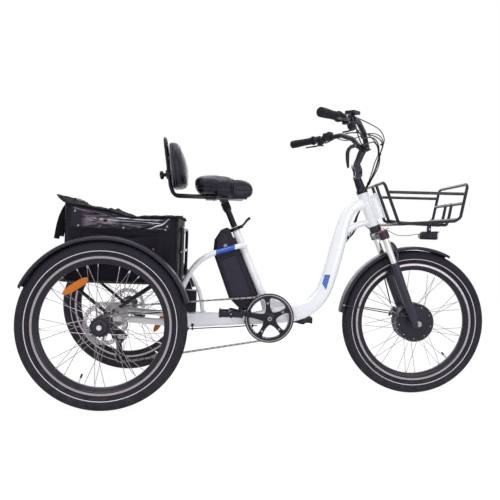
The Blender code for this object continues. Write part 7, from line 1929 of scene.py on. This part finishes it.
def build_backrest_pad():
    """Crowned pad with piping between its front and its side panel, and the clamp behind it."""
    c, s = unit_circle(PADDED_SIDES)
    rows = []
    for height, rear, front, half in smooth(PAD, 6):
        depth = front - rear
        ahead = rear + depth * (0.35 + 0.65 * np.abs(s) ** 0.9)
        behind = rear + depth * 0.35 * (1 - np.minimum(1, np.abs(s) * 1.3) ** 0.8)
        across = half * np.sign(c) * np.abs(c) ** 0.8
        points = np.stack((np.where(s > 0, ahead, behind), across, np.full_like(c, height)), 1)
        rows.append(carried(points, BACK))
    plane = BACK.inverted()
    obj = stuffed("backrest_look", np.array(rows), 0.005,
                  lambda p: ease(0.014, 0.03, carried(p - SHIFT, plane)[:, 0]))
    ahead = tuple(BACK.col[0].xyz * 0.3)
    up = tuple(BACK.col[2].xyz)
    seams = [loop_on(obj, back(x, 0, 0.068), (0, 1, 0), up, lift, 300)
             for x, lift in ((0.03, ahead), (0.026, (0, 0, 0)))]
    press(obj, seams[0], 0.0022, 0.004)
    press(obj, seams[1], 0.0012, 0.003)
    dress(obj, "back_pad", "seat_vinyl", "backrest_pad")
    piece = Piece("backrest_clamp")
    for path in seams:
        # seam piping in the pale finish that paints a highlight along the side seam
        piece.sweep(path, 0.0013, 10, closed=True, slot=1)
    piece.block((0.0068, -0.044, 0.026), (0.0235, 0.044, 0.112), BACK)
    piece.block((-0.0135, -0.019, 0.022), (0.0095, 0.019, 0.056), BACK)
    for side in (-1, 1):
        for z in (0.038, 0.1):
            piece.rod(back(0.0045, side * 0.037, z), back(0.0072, side * 0.037, z), 0.0042, HEX, slot=2)
    return piece.make("back_pad", ("black_plastic", "piping_painted_highlight", "satin_steel"), bevel=0.0012)


def build_backrest_bar():
    """One bent bar: two level legs under the saddle and the upright loop behind it."""
    half = [(-0.229, BACK_Y, 0.8015), (-0.395, BACK_Y, 0.8015), back(0, BACK_Y, -0.01),
            back(0, BACK_Y, 0.186)]
    line = half + [(x, -y, z) for x, y, z in reversed(half)]
    piece = Piece("backrest_bar_look")
    piece.sweep(rounded(line, 0.026, 8), 0.0075, 22)
    for side in (-1, 1):
        for z in (0.06, 0.12, 0.15):
            piece.rod(back(-0.0078, side * BACK_Y, z), back(-0.007, side * BACK_Y, z), 0.003, 14, slot=1)
    return piece.make("seat", ("black_paint", "cable_black"), ("backrest_bar",))


def lobes(angle, reach, height):
    """A wave that rounds the knob's rim into six lobes."""
    return np.where(reach > 0.012, reach - 0.0018 * (1 - np.cos(6 * angle)) * reach / 0.0175, reach)


def build_backrest_knob():
    """Lobed hand knob with a bright stud."""
    piece = Piece("backrest_knob_look")
    place = BACK @ Matrix.Translation((-0.032, 0, 0.039)) @ ALONG
    head = [(0.0, -0.008), (0.009, -0.008), (0.0155, -0.0062), (0.0175, -0.002), (0.0172, 0.004),
            (0.014, 0.0075), (0.008, 0.008), (0.0, 0.008)]
    piece.turn(head, place, 120, wave=lobes)
    piece.rod(back(-0.03, 0, 0.039), back(-0.0138, 0, 0.039), 0.008, 28)
    piece.rod(back(-0.0408, 0, 0.039), back(-0.0395, 0, 0.039), 0.0045, 20, slot=1)
    return piece.make("knob", ("black_plastic", "satin_steel"), ("backrest_knob",), bevel=0.0006)


def build_seatpost():
    """Hollow seatpost with the rings of its ribbed head."""
    piece = Piece("seatpost_look")
    post = [(0.0, -0.13), (0.0127, -0.13), (0.0127, 0.068), (0.014, 0.07), (0.0164, 0.0715),
            (0.0165, 0.0745), (0.0158, 0.0752), (0.0165, 0.076), (0.0165, 0.079), (0.0158, 0.0798),
            (0.0165, 0.0806), (0.0163, 0.0815), (0.015, 0.0828), (0.0106, 0.0828), (0.0106, -0.02),
            (0.0, -0.02)]
    piece.turn(post, SEAT, 48)
    return piece.make("post", ("black_paint",), ("seatpost",))


def build_slider():
    """Sprung slider with the saddle's rails and their clamp, and its pleated rubber sleeve."""
    piece = Piece("seatpost_slider_look")
    piece.turn([(0.0, 0.045), (0.0098, 0.045), (0.01, 0.047), (0.01, 0.116), (0.0, 0.116)], SEAT, 36, slot=1)
    piece.block((-0.206, -0.028, 0.7845), (-0.17, 0.028, 0.7912))
    for side in (-1, 1):
        y = side * 0.022
        line = rounded([(-0.232, y, 0.7895), (-0.212, y, 0.7952), (-0.11, y, 0.7952)], 0.03)
        piece.sweep(line, 0.0035, 16, slot=1)
        for x in (-0.198, -0.178):
            piece.rod((x, side * 0.01, 0.781), (x, side * 0.01, 0.785), 0.0045, HEX, slot=1)
    piece.block((-0.264, -0.038, 0.7882), (-0.224, 0.038, 0.7945))
    pivot = [(0.0, -0.019), (0.0105, -0.019), (0.0112, -0.017), (0.0112, 0.017), (0.0105, 0.019),
             (0.0, 0.019)]
    piece.turn(pivot, Matrix.Translation((-0.188, 0, 0.7835)) @ ACROSS, 30)
    piece.make("seat", ("black_paint", "satin_steel"), ("seatpost_slider",), bevel=0.0008)
    piece = Piece("seatpost_sleeve")
    share = np.linspace(0, 1, 65)
    ribs = [(0.0178 + 0.0009 * math.cos(12 * math.pi * s), 0.11 - 0.03 * s) for s in share]
    bore = [(0.0169, 0.08), (0.0169, 0.107), (0.0102, 0.1075), (0.0102, 0.1115), (0.015, 0.1115)]
    piece.turn(bore + ribs, SEAT, 40, closed=True)
    return piece.make("seat", ("grip_rubber",), angle=70)


def build_seat_clamp():
    """Slit clamp on the seat tube's top and its quick-release lever."""
    piece = Piece("seat_clamp_look")
    piece.turn(collar(-0.016, -0.002, 0.022, 0.0168), SEAT, 44, closed=True)
    for low, high in ((0.0018, 0.01), (-0.01, -0.0018)):
        piece.block((0.0185, low, -0.0155), (0.033, high, -0.0025), SEAT)
    piece.rod(seat(0.0275, 0.0095, -0.009), seat(0.0275, 0.0145, -0.009), 0.005, 22, slot=1)
    piece.make("frame", ("black_paint", "satin_steel"), ("seat_clamp",), bevel=0.0008)
    piece = Piece("seat_clamp_lever_look")
    piece.rod(seat(0.0275, -0.0165, -0.016), seat(0.0275, -0.0165, -0.002), 0.0058, 28)
    line = smooth([(0.0275, -0.017, -0.009), (0.0415, -0.02, -0.003), (0.0575, -0.017, 0.006),
                   (0.0735, -0.016, 0.011)], 8)
    share = np.linspace(0, 1, len(line))
    rings = np.stack([circle_ring(18, 2.6) * (0.003 - 0.0008 * s, 0.0038 + 0.0022 * s) for s in share])
    piece.sweep([seat(*p) for p in line], 1.0, ring=rings)
    return piece.make("seat_lever", ("black_paint",), ("seat_clamp_lever",), bevel=0.0006)


build_saddle()
build_backrest_pad()
build_backrest_bar()
build_backrest_knob()
build_seatpost()
build_slider()
build_seat_clamp()


# Cargo bag
BAG_FRONT, BAG_REAR, BAG_HALF = -0.353, -0.785, 0.25
BAG_LOW = RACK_Z + 0.0068
UNDERSIDE_X = (-0.785, -0.617, -0.532, -0.353)
UNDERSIDE_Z = (0.743, 0.719, 0.697, 0.704)
SEAM = 0.65
GUSSET_FOLDS = ((0, 0.15, 0.3, 0.45, 0.6, 0.74, 1.0),
                (0.015, 0.009, 0.001, 0.004, 0.0095, 0.002, 0.003))
FILM_REAR, FILM_FRONT = -0.762, -0.388
BAG_STUDS = ((-0.738, 0.712), (-0.724, 0.66), (-0.56, 0.656), (-0.398, 0.668), (-0.404, 0.656),
             (-0.446, 0.58))
CREASES = (
    # start x, z, end x, z, depth, width
    (-0.7395, 0.72, -0.601, 0.69, -0.005, 0.0042), (-0.735, 0.706, -0.61, 0.68, 0.0042, 0.0055),
    (-0.601, 0.69, -0.437, 0.6835, -0.005, 0.004), (-0.59, 0.678, -0.45, 0.672, 0.005, 0.006),
    (-0.437, 0.6835, -0.405, 0.697, -0.004, 0.004), (-0.505, 0.657, -0.434, 0.676, -0.0065, 0.0045),
    (-0.434, 0.676, -0.404, 0.7, -0.005, 0.004), (-0.52, 0.65, -0.42, 0.664, 0.0035, 0.0055),
    (-0.7395, 0.72, -0.707, 0.684, -0.0045, 0.0042), (-0.707, 0.684, -0.601, 0.668, -0.0045, 0.0045),
    (-0.681, 0.708, -0.623, 0.696, -0.0035, 0.004), (-0.6, 0.704, -0.49, 0.697, -0.004, 0.004),
    (-0.66, 0.66, -0.61, 0.69, 0.004, 0.006), (-0.7, 0.635, -0.52, 0.618, 0.003, 0.008),
    (-0.63, 0.61, -0.43, 0.63, 0.0035, 0.007), (-0.7, 0.59, -0.56, 0.52, 0.004, 0.01),
    (-0.62, 0.585, -0.47, 0.5, -0.0035, 0.012), (-0.52, 0.59, -0.4, 0.53, 0.0045, 0.01))


def underside(x):
    """Height of the lid's underside over a place along the bag."""
    return np.interp(x, UNDERSIDE_X, UNDERSIDE_Z)


def bag_outline(count=640, corner=0.035):
    """Even points round the bag's rounded rectangle with their outward directions."""
    middle, half = (BAG_FRONT + BAG_REAR) / 2, (BAG_FRONT - BAG_REAR) / 2
    line = rounded([(middle + half, -BAG_HALF, 0), (middle + half, BAG_HALF, 0), (middle - half, BAG_HALF, 0),
                    (middle - half, -BAG_HALF, 0)], corner, 12, closed=True)[:, :2]
    closed = np.vstack((line, line[:1]))
    run = np.concatenate(([0], np.cumsum(np.linalg.norm(np.diff(closed, axis=0), axis=1))))
    places = np.linspace(0, run[-1], count + 1)[:-1]
    even = np.stack([np.interp(places, run, closed[:, k]) for k in (0, 1)], 1)
    along = unit_rows(np.roll(even, -1, 0) - np.roll(even, 1, 0))
    return even, np.stack((along[:, 1], -along[:, 0]), 1)


def bag_ring(level, even, outward, shrink):
    """Bag wall at a share of its height: bulging sides with folds, gussets creased inwards.

    Each crease is a groove or ridge along a line: depth * exp(-(distance / width) squared), fading
    with the sine of the share along it.
    """
    x, y = even[:, 0], even[:, 1]
    swell = math.sin(math.pi * level)
    z = BAG_LOW + level * (underside(x) - 0.0006 - BAG_LOW)
    flank = np.abs(outward[:, 1]) ** 4
    gusset = np.abs(outward[:, 0]) ** 4
    fold = np.abs(y) / BAG_HALF
    crease = np.interp(fold, *GUSSET_FOLDS)
    crease += 0.0016 * np.cos(2 * np.pi * (y * 11 + 0.6 * level))
    draw = flank * (0.008 * (1 - swell) + 0.0026 * np.cos(x * 55) * swell)
    draw += gusset * (0.003 + crease * (0.35 + 0.65 * swell))
    draw += (1 - flank - gusset).clip(0) * 0.005 * (1 - 0.5 * swell)
    for x0, z0, x1, z1, depth, width in CREASES:
        run, rise = x1 - x0, z1 - z0
        share = np.clip(((x - x0) * run + (z - z0) * rise) / (run ** 2 + rise ** 2), 0, 1)
        gap = np.hypot(x - x0 - share * run, z - z0 - share * rise)
        fading = np.sin(np.pi * np.clip(share, 0.12, 0.88))
        draw += flank * depth * 0.8 * np.exp(-(gap / width) ** 2) * fading
    draw += flank * 0.0035 * np.exp(-((x + 0.572) / 0.05) ** 2) * np.exp(-((z - 0.5) / 0.03) ** 2)
    draw -= 0.0014 * np.exp(-((z - SEAM) / 0.005) ** 4)
    lifted = z + (shrink if level == 0 else 0)
    return np.column_stack((even - outward * (draw + shrink)[:, None], lifted))


def add_bag_trim(piece, shell, even, outward):
    """Piping on the edges and round the films, tape down the walls, an arched tab and studs."""
    side = np.abs(outward[:, 1]) > 0.99
    corners = [int(np.argmin(np.abs(even[:, 0] - cx) + np.abs(even[:, 1] - cy)))
               for cx in (BAG_FRONT - 0.01, BAG_REAR + 0.01) for cy in (-BAG_HALF + 0.01, BAG_HALF - 0.01)]
    lift = np.column_stack((outward, 0 * outward[:, 0]))
    for j in corners:
        piece.sweep(shell[1:-1, j] + lift[j] * 0.0006, 0.0019, 10, slot=2)
    for level in (-2, 2):
        piece.sweep(shell[level] + lift * 0.0004, 0.0019, 10, closed=True, slot=2)

    def column(sign, x):
        """The wall's column nearest to a place along one side."""
        return int(np.argmin(np.abs(even[:, 0] - x) + 9 * (even[:, 1] * sign < 0) + 9 * ~side))

    def row(j, z):
        """The first point of a column at or over a height."""
        return int(np.searchsorted(shell[:, j, 2], z))

    for sign in (-1, 1):
        edge = [j for j in np.flatnonzero(side)
                if even[j, 1] * sign > 0 and FILM_REAR - 0.002 < even[j, 0] < FILM_FRONT + 0.002]
        edge.sort(key=lambda j: even[j, 0])
        line = [[np.interp(SEAM + 0.0045, shell[:, j, 2], shell[:, j, k]) for k in range(3)] for j in edge]
        piece.sweep(line, 0.0017, 8, slot=2, up=(0, 1, 0))
        for x in (FILM_REAR, FILM_FRONT):
            j = column(sign, x)
            piece.sweep(shell[row(j, SEAM + 0.004):-2, j], 0.0017, 8, slot=2)
    tape = np.array([(-0.0008, -0.0125), (0.001, -0.0125), (0.0014, -0.0108), (0.0014, 0.0108),
                     (0.001, 0.0125), (-0.0008, 0.0125)])
    for sign in (-1, 1):
        for x in (-0.424, -0.726):
            j = column(sign, x)
            piece.sweep(shell[1:row(j, SEAM - 0.008), j], 1.0, ring=tape, slot=2, up=tuple(lift[j]))
        j = column(sign, -0.562)
        centre = shell[row(j, SEAM - 0.034), j]
        arch = [(0.029 * math.cos(a), 0.021 * math.sin(a) + 0.005) for a in np.linspace(0, math.pi, 17)]
        arch = [(0.032, -0.03)] + arch + [(-0.032, -0.03)]
        piece.prism(arch, -0.0016, 0.0016, Matrix.Translation(centre + lift[j] * 0.0004) @ SIDE_VIEW, slot=2)
        for x, z in BAG_STUDS:
            j = column(sign, x)
            centre = shell[row(j, z), j]
            piece.rod(centre - lift[j] * 0.002, centre + lift[j] * 0.0026, 0.0036, 16, slot=3)


def build_cargo_bag():
    """Soft bag: folded cloth walls with a glossy film above a webbing seam on each side."""
    even, outward = bag_outline()
    levels = np.linspace(0, 1, 101)
    outer = [bag_ring(level, even, outward, 0.0) for level in levels]
    inner = [bag_ring(level, even, outward, 0.004) for level in levels[::-10]]
    rows = np.array(outer + inner)
    piece = Piece("cargo_bag_look")
    side = np.abs(outward[:, 1]) > 0.99
    slot = np.zeros((len(rows) - 1, len(even)), int)
    high = rows[:-1, :, 2]
    film = (high > SEAM + 0.004) & side & (even[:, 0] > FILM_REAR) & (even[:, 0] < FILM_FRONT)
    slot[:98][film[:98]] = 1
    slot[:98][np.abs(high[:98] - SEAM) < 0.0048] = 2
    piece.grid(rows, slot=slot)
    add_bag_trim(piece, np.array(outer), even, outward)
    return piece.make("frame", ("bag_cloth", "bag_gloss", "webbing", "satin_steel"), ("cargo_bag",), angle=60)


LID_POINTS = 71
LID = (
    # x, rise over the bag's rim, thickness
    (-0.353, 0.0, 0.01), (-0.4, 0.0, 0.012), (-0.43, 0.0, 0.009), (-0.471, 0.0, 0.011),
    (-0.532, 0.0, 0.006), (-0.575, 0.0, 0.009), (-0.605, 0.0, 0.012), (-0.617, 0.0, 0.015),
    (-0.628, 0.0, 0.01), (-0.686, 0.0, 0.009), (-0.751, 0.0, 0.01), (-0.775, 0.002, 0.011),
    (-0.792, 0.013, 0.008), (-0.803, 0.026, 0.005))


def build_bag_lid():
    """Soft lid: crowned and rippled cloth with a turned-up rear edge, bound edges and a strap."""
    rows, rim = [], [[], []]
    share = np.sin(np.linspace(-1, 1, LID_POINTS) * math.pi / 2)
    for x, rise, thickness in smooth(LID, 7):
        low = float(underside(x)) + max(rise, 0)
        y = (BAG_HALF - 0.001) * share
        waves = 0.0024 * np.cos(share * 7 + x * 30) + 0.0016 * np.cos(x * 83 - share * 4.5 + 1.1)
        waves += 0.0012 * np.cos(x * 150 + share * 11)
        crown = thickness * (1 - 0.75 * np.abs(share) ** 6) + waves * (1 - share ** 2)
        sag = 0.0018 * np.cos(x * 61) * np.abs(share) ** 8
        under = np.stack((np.full_like(y, x), y, np.full_like(y, low)), 1)
        over = np.stack((np.full_like(y, x), y, low + np.maximum(crown + sag, 0.0022)), 1)
        rows.append(np.vstack((under, over[::-1])))
        for k, end in ((0, 0), (1, -1)):
            rim[k].append(0.5 * (under[end] + over[end]))
    piece = Piece("bag_lid_look")
    piece.grid(np.array(rows))
    front, rear = (0.5 * (rows[k] + rows[k][::-1])[1:LID_POINTS - 1] for k in (0, -1))
    edge = np.vstack((rim[0], rear, rim[1][::-1], front[::-1]))
    piece.sweep(edge, 0.0022, 10, closed=True, slot=1, up=(0, 0, 1))
    for y, reach, turned in ((-0.03, 1.0, 62), (0.004, 0.82, -48), (0.04, 0.94, 70)):
        line = smooth([(-0.788, y, 0.7725), (-0.806, y, 0.764), (-0.83, y, 0.764 - 0.036 * reach),
                       (-0.849, y, 0.764 - 0.092 * reach), (-0.86, y, 0.764 - 0.158 * reach)], 8)
        share = np.linspace(0, 1, len(line))
        flat = circle_ring(16, 5.0) * (0.011, 0.0012)
        angle = math.radians(turned) * ease(0.12, 0.7, share)
        rings = np.stack([flat @ ((math.cos(a), math.sin(a)), (-math.sin(a), math.cos(a))) for a in angle])
        piece.sweep(line, 1.0, ring=rings, slot=1, up=(0, 1, 0))
        piece.block((-0.803, y - 0.015, 0.764), (-0.782, y + 0.015, 0.7725), slot=2)
    return piece.make("lid", ("lid_cloth", "webbing", "black_plastic"), ("bag_lid",), angle=60)


build_cargo_bag()
build_bag_lid()


# Cables
def build_bar_cables():
    """Brake, gear and display lines from the bar, arching forward before they drop to the frame."""
    piece = Piece("bar_cables")
    lines = ((0.0028,
              [bar_spot(1, -0.016, 0.014, 0.0535), bar_spot(1, -0.016, 0.0165, 0.045),
               (0.352, 0.196, 1.126), (0.402, 0.15, 1.128), (0.452, 0.09, 1.108), (0.478, 0.042, 1.08),
               (0.479, 0.014, 1.048), (0.466, 0.006, 1.01)]),
             (0.0028,
              [bar_spot(-1, -0.016, 0.014, 0.0535), bar_spot(-1, -0.016, 0.0165, 0.045),
               (0.334, -0.178, 1.058), (0.352, -0.132, 1.052), (0.398, -0.084, 1.066),
               (0.436, -0.036, 1.064), (0.458, -0.006, 1.04), (0.461, 0.002, 1.008)]),
             (0.0025,
              [bar_spot(-1, -0.024, 0.022, 0.02), (0.322, -0.19, 1.05), (0.35, -0.15, 1.024),
               (0.39, -0.1, 1.04), (0.424, -0.052, 1.052), (0.45, -0.018, 1.036), (0.459, 0.0, 1.004)]),
             (0.0021,
              [bar_spot(-1, 0.014, 0.006, 0.002), (0.35, -0.15, 1.118), (0.404, -0.104, 1.11),
               (0.45, -0.052, 1.1), (0.477, -0.016, 1.072), (0.474, 0.002, 1.036), (0.464, 0.0045, 1.006)]),
             (0.0021,
              [bar_spot(1, 0.006, 0.014, 0.016), (0.35, 0.15, 1.09), (0.394, 0.11, 1.1),
               (0.44, 0.07, 1.112), (0.472, 0.036, 1.096), (0.482, 0.012, 1.06), (0.468, 0.008, 1.008)]),
             (0.0021,
              [(0.356, 0.02, 1.1), (0.384, 0.02, 1.114), (0.42, 0.03, 1.098), (0.45, 0.022, 1.066),
               (0.462, 0.01, 1.034), (0.464, 0.006, 1.004)]))
    for radius, points in lines:
        piece.sweep(smooth(points, 9), radius, 12)
    tie = [(0.0, -0.003), (0.0072, -0.003), (0.0078, -0.002), (0.0078, 0.002), (0.0072, 0.003),
           (0.0, 0.003)]
    for centre in ((0.477, 0.015, 1.056), (0.4655, 0.0055, 1.012)):
        piece.turn(tie, Matrix.Translation(centre), 20)
    obj = piece.make(None, ("cable_black",))
    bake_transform(obj)
    return obj


def build_loom():
    """Bundle of lines before the stem, spread in the middle and tied at both ends."""
    line = smooth([(0.465, 0.004, 1.02), (0.461, 0.004, 0.998), (0.45, 0.004, 0.955), (0.43, 0.008, 0.9),
                   (0.418, 0.028, 0.862), (0.424, 0.0365, 0.835), (0.434, 0.0365, 0.808)], 14)
    share = np.linspace(0, 1, len(line))
    _, side, other = path_frames(line, False, (0, 1, 0))
    spread = 0.0026 + 0.0085 * np.exp(-((share - 0.3) / 0.16) ** 2)
    piece = Piece("cable_loom_look")
    for k in range(5):
        angle = 2 * math.pi * k / 5 + 0.4
        across = side * math.cos(angle) + other * math.sin(angle) * (1.0 if k % 2 else 0.7)
        piece.sweep(line + across * spread[:, None] * (0.8 + 0.12 * k), 0.0022, 12)
    for i in (4, 44, 62):
        piece.sweep(line[i:i + 4], 0.0066, 16)
    obj = piece.make(None, ("cable_black",), ("cable_loom",))
    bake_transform(obj)
    return obj


def build_head_cables():
    """Lines from the loom behind the head tube into the main tube, and the loop to the crown."""
    piece = Piece("head_cables")
    for k in (-1, 0, 1):
        line = [(0.434, 0.0365, 0.81), (0.41, 0.033 + 0.002 * k, 0.79), (0.388 + 0.002 * k, 0.027, 0.755),
                (0.372 + 0.005 * k, 0.023, 0.708), (0.356 + 0.008 * k, 0.019, 0.67 - 0.003 * k),
                (0.34, 0.012 + 0.002 * k, 0.648), (0.327, 0.004 * k + 0.004, 0.63)]
        piece.sweep(smooth(line, 9), 0.0022, 12)
    piece.make("frame", ("cable_black",))
    piece = Piece("crown_cables")
    for k in (-1, 1):
        line = [(0.327, 0.006 * k, 0.633), (0.342, 0.014, 0.643 - 0.004 * k),
                (0.366, 0.023, 0.67 + 0.004 * k), (0.386, 0.027, 0.7 + 0.005 * k),
                (0.408, 0.03, 0.712 + 0.003 * k), (0.428, 0.03, 0.706), (0.442, 0.028, 0.694)]
        piece.sweep(smooth(line, 9), 0.002, 12)
    obj = piece.make(None, ("cable_black",))
    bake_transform(obj)
    return obj


def build_leg_cable():
    """Motor and brake line from the crown down the left leg."""
    line = [steer(0.0252, 0.012, -0.046), steer(0.0252, 0.028, -0.046), steer(0.03, 0.044, -0.047),
            steer(0.036, 0.06, -0.052), steer(0.029, 0.084, -0.068), steer(0.016, 0.094, -0.1),
            steer(-0.002, 0.0905, -0.155), steer(-0.012, 0.0875, -0.26), steer(-0.024, 0.081, -0.355)]
    piece = Piece("front_cable_look")
    piece.sweep(smooth(line, 8), 0.0026, 14)
    obj = piece.make(None, ("cable_black",), ("front_cable",))
    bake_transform(obj)
    return obj


def build_frame_cables():
    """Gear and brake lines along the stays and the wire clipped under the main tube."""
    piece = Piece("rear_cables_look")
    piece.sweep(smooth([(-0.28, 0.0272, 0.296), (-0.34, 0.05, 0.312), (-0.395, 0.062, 0.3185),
                        (-0.47, 0.062, 0.302), (-0.588, 0.062, 0.3)], 9), 0.003, 14)
    under = [(-0.03, -0.014, 0.272), (-0.08, -0.018, 0.27), (-0.14, -0.019, 0.264), (-0.21, -0.019, 0.2595),
             (-0.27, -0.019, 0.255), (-0.33, -0.019, 0.25), (-0.38, -0.019, 0.249)]
    piece.sweep(smooth(under, 8), 0.0022, 12)
    for x, z in ((-0.05, 0.2715), (-0.3, 0.2525)):
        piece.block((x - 0.003, -0.0225, z - 0.006), (x + 0.003, -0.0155, z + 0.006))
    return piece.make("frame", ("cable_black",), ("rear_cables",), bevel=0.0004)


def build_lamp_wire():
    """Thin wire from the head tube to the back of the headlight."""
    line = smooth([(0.456, 0.006, 0.706), (0.486, 0.003, 0.701), (0.519, 0.0, 0.688), (0.558, -0.001, 0.672),
                   (0.606, 0.0, 0.673), (0.64, 0.0, 0.68), (0.653, 0.0, 0.675)], 10)
    piece = Piece("lamp_wire")
    piece.sweep(line, 0.0013, 10)
    obj = piece.make(None, ("cable_black",))
    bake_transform(obj)
    return obj


build_bar_cables()
build_loom()
build_head_cables()
build_leg_cable()
build_frame_cables()
build_lamp_wire()


# Fittings on solids that keep their shape
def build_battery_trim():
    """Side panels in the battery's recesses, its lock, charge lights and top grip."""
    outline = [(-0.0425, -0.109), (-0.104, -0.109), (-0.115, -0.26), (-0.099, -0.2915), (-0.079, -0.299),
               (-0.0425, -0.278)]
    grip = [(-0.044, -0.014), (-0.06, -0.014), (-0.103, -0.06), (-0.108, -0.088), (-0.044, -0.088)]
    piece = Piece("battery_trim")
    for points, inner, outer, slot in ((outline, 0.0325, 0.035, 0), (grip, 0.0352, 0.0366, 1)):
        shape = rounded([(x, z, 0) for x, z in points], 0.008, 5, closed=True)[:, :2]
        for low, high in ((inner, outer), (-outer, -inner)):
            piece.prism(shape, low, high, SEAT @ SIDE_VIEW, slot=slot)
    piece.rod(seat(-0.066, -0.036, -0.058), seat(-0.066, -0.0385, -0.058), 0.0075, 32, slot=2)
    piece.block((-0.0668, -0.039, -0.0625), (-0.0652, -0.0383, -0.0535), SEAT, slot=3)
    for i in range(4):
        x = -0.06 - 0.007 * i
        piece.rod(seat(x, 0.0362, -0.075), seat(x, 0.0372, -0.075), 0.002, 14, slot=2)
    return piece.make("battery_pack", ("battery_shell", "fender_plastic", "satin_steel", "cable_black"),
                      bevel=0.0007)


def build_controller_trim():
    """Cooling ribs and cover screws of the controller housing, with its cable glands."""
    piece = Piece("controller_trim")
    for side in (-1, 1):
        for i in range(8):
            z = 0.334 + 0.0095 * i
            piece.block((-0.331, side * 0.0328, z), (-0.293, side * 0.035, z + 0.0042))
    for y in (-0.012, 0.012):
        for low, high, radius, sides in ((0.3165, 0.3245, 0.0058, 20), (0.312, 0.317, 0.0034, 16)):
            piece.rod((-0.312, y, low), (-0.312, y, high), radius, sides)
    return piece.make("frame", ("black_plastic",), bevel=0.0006)


def build_brake_trim():
    """Bolts and cable arms of the three calipers."""
    for name, body, centre, angle, inner in (
            ("front_caliper_trim", "lowers", (FRONT_X, 0.0385, AXLE), 152, 0.011),
            ("left_caliper_trim", "frame", (REAR_X, CALIPER_Y, AXLE), -38, 0.013),
            ("right_caliper_trim", "frame", (REAR_X, -CALIPER_Y, AXLE), -38, 0.013)):
        place = Matrix.Translation(centre) @ Matrix.Rotation(-math.radians(angle), 4, "Y")
        side = -1 if centre[1] < 0.1 else 1
        piece = Piece(name)
        for z in (-0.012, 0.012):
            for face in (-1, 1):
                y = inner - 0.0005
                piece.rod((0.084, face * y, z), (0.084, face * (y + 0.0028), z), 0.0034, HEX, 0, place)
        y = inner - 0.001
        piece.rod((0.074, side * y, 0), (0.074, side * (y + 0.004), 0), 0.0082, 28, 0, place)
        arm = ((0.074, side * (inner + 0.004), 0.0), (0.086, side * (inner + 0.0045), 0.006),
               (0.0945, side * (inner + 0.004), 0.013))
        arm = [tuple(place @ Vector(p)) for p in arm]
        piece.sweep(smooth(arm, 5), 1.0, ring=circle_ring(14, 3.0) * (0.0015, 0.004), up=(0, 1, 0))
        piece.make(body, ("satin_steel",), bevel=0.0004)


def build_derailleur_trim():
    """Cage screws, the return spring's barrel and the gear line to it."""
    piece = Piece("derailleur_trim")
    for (x, z), _, _ in DRIVE[2:]:
        piece.rod((x, -0.0545, z), (x, -0.0565, z), 0.0052, 24)
        piece.rod((x, -0.0562, z), (x, -0.0572, z), 0.0026, HEX, slot=1)
    piece.rod((-0.606, -0.0825, 0.214), (-0.606, -0.085, 0.214), 0.007, 26)
    piece.rod((-0.614, -0.1075, 0.262), (-0.614, -0.11, 0.262), 0.006, HEX)
    line = smooth([(-0.588, 0.06, 0.286), (-0.572, 0.02, 0.262), (-0.57, -0.03, 0.246), (-0.58, -0.07, 0.244),
                   (-0.598, -0.086, 0.252)], 8)
    piece.sweep(line, 0.0022, 12, slot=1)
    return piece.make("frame", ("satin_steel", "cable_black"), bevel=0.0004)


build_battery_trim()
build_controller_trim()
build_brake_trim()
build_derailleur_trim()


# Solids kept in shape, with rounded edges
PLAIN = (("battery_rail", "black_plastic", 0.0008), ("controller_box", "black_plastic", 0.0012),
         ("rear_caliper_left", "black_paint", 0.0008), ("rear_caliper_right", "black_paint", 0.0008),
         ("front_caliper", "black_paint", 0.0008), ("derailleur", "black_paint", 0.0006),
         ("battery", "black_plastic", 0.0015), ("lockout_lever", "lever_red", 0.0005),
         ("shift_lever", "black_plastic", 0.0008), ("throttle_lever", "black_plastic", 0.0006))
for node_name, finish, rounding in PLAIN:
    refine(node_name, finish, rounding)
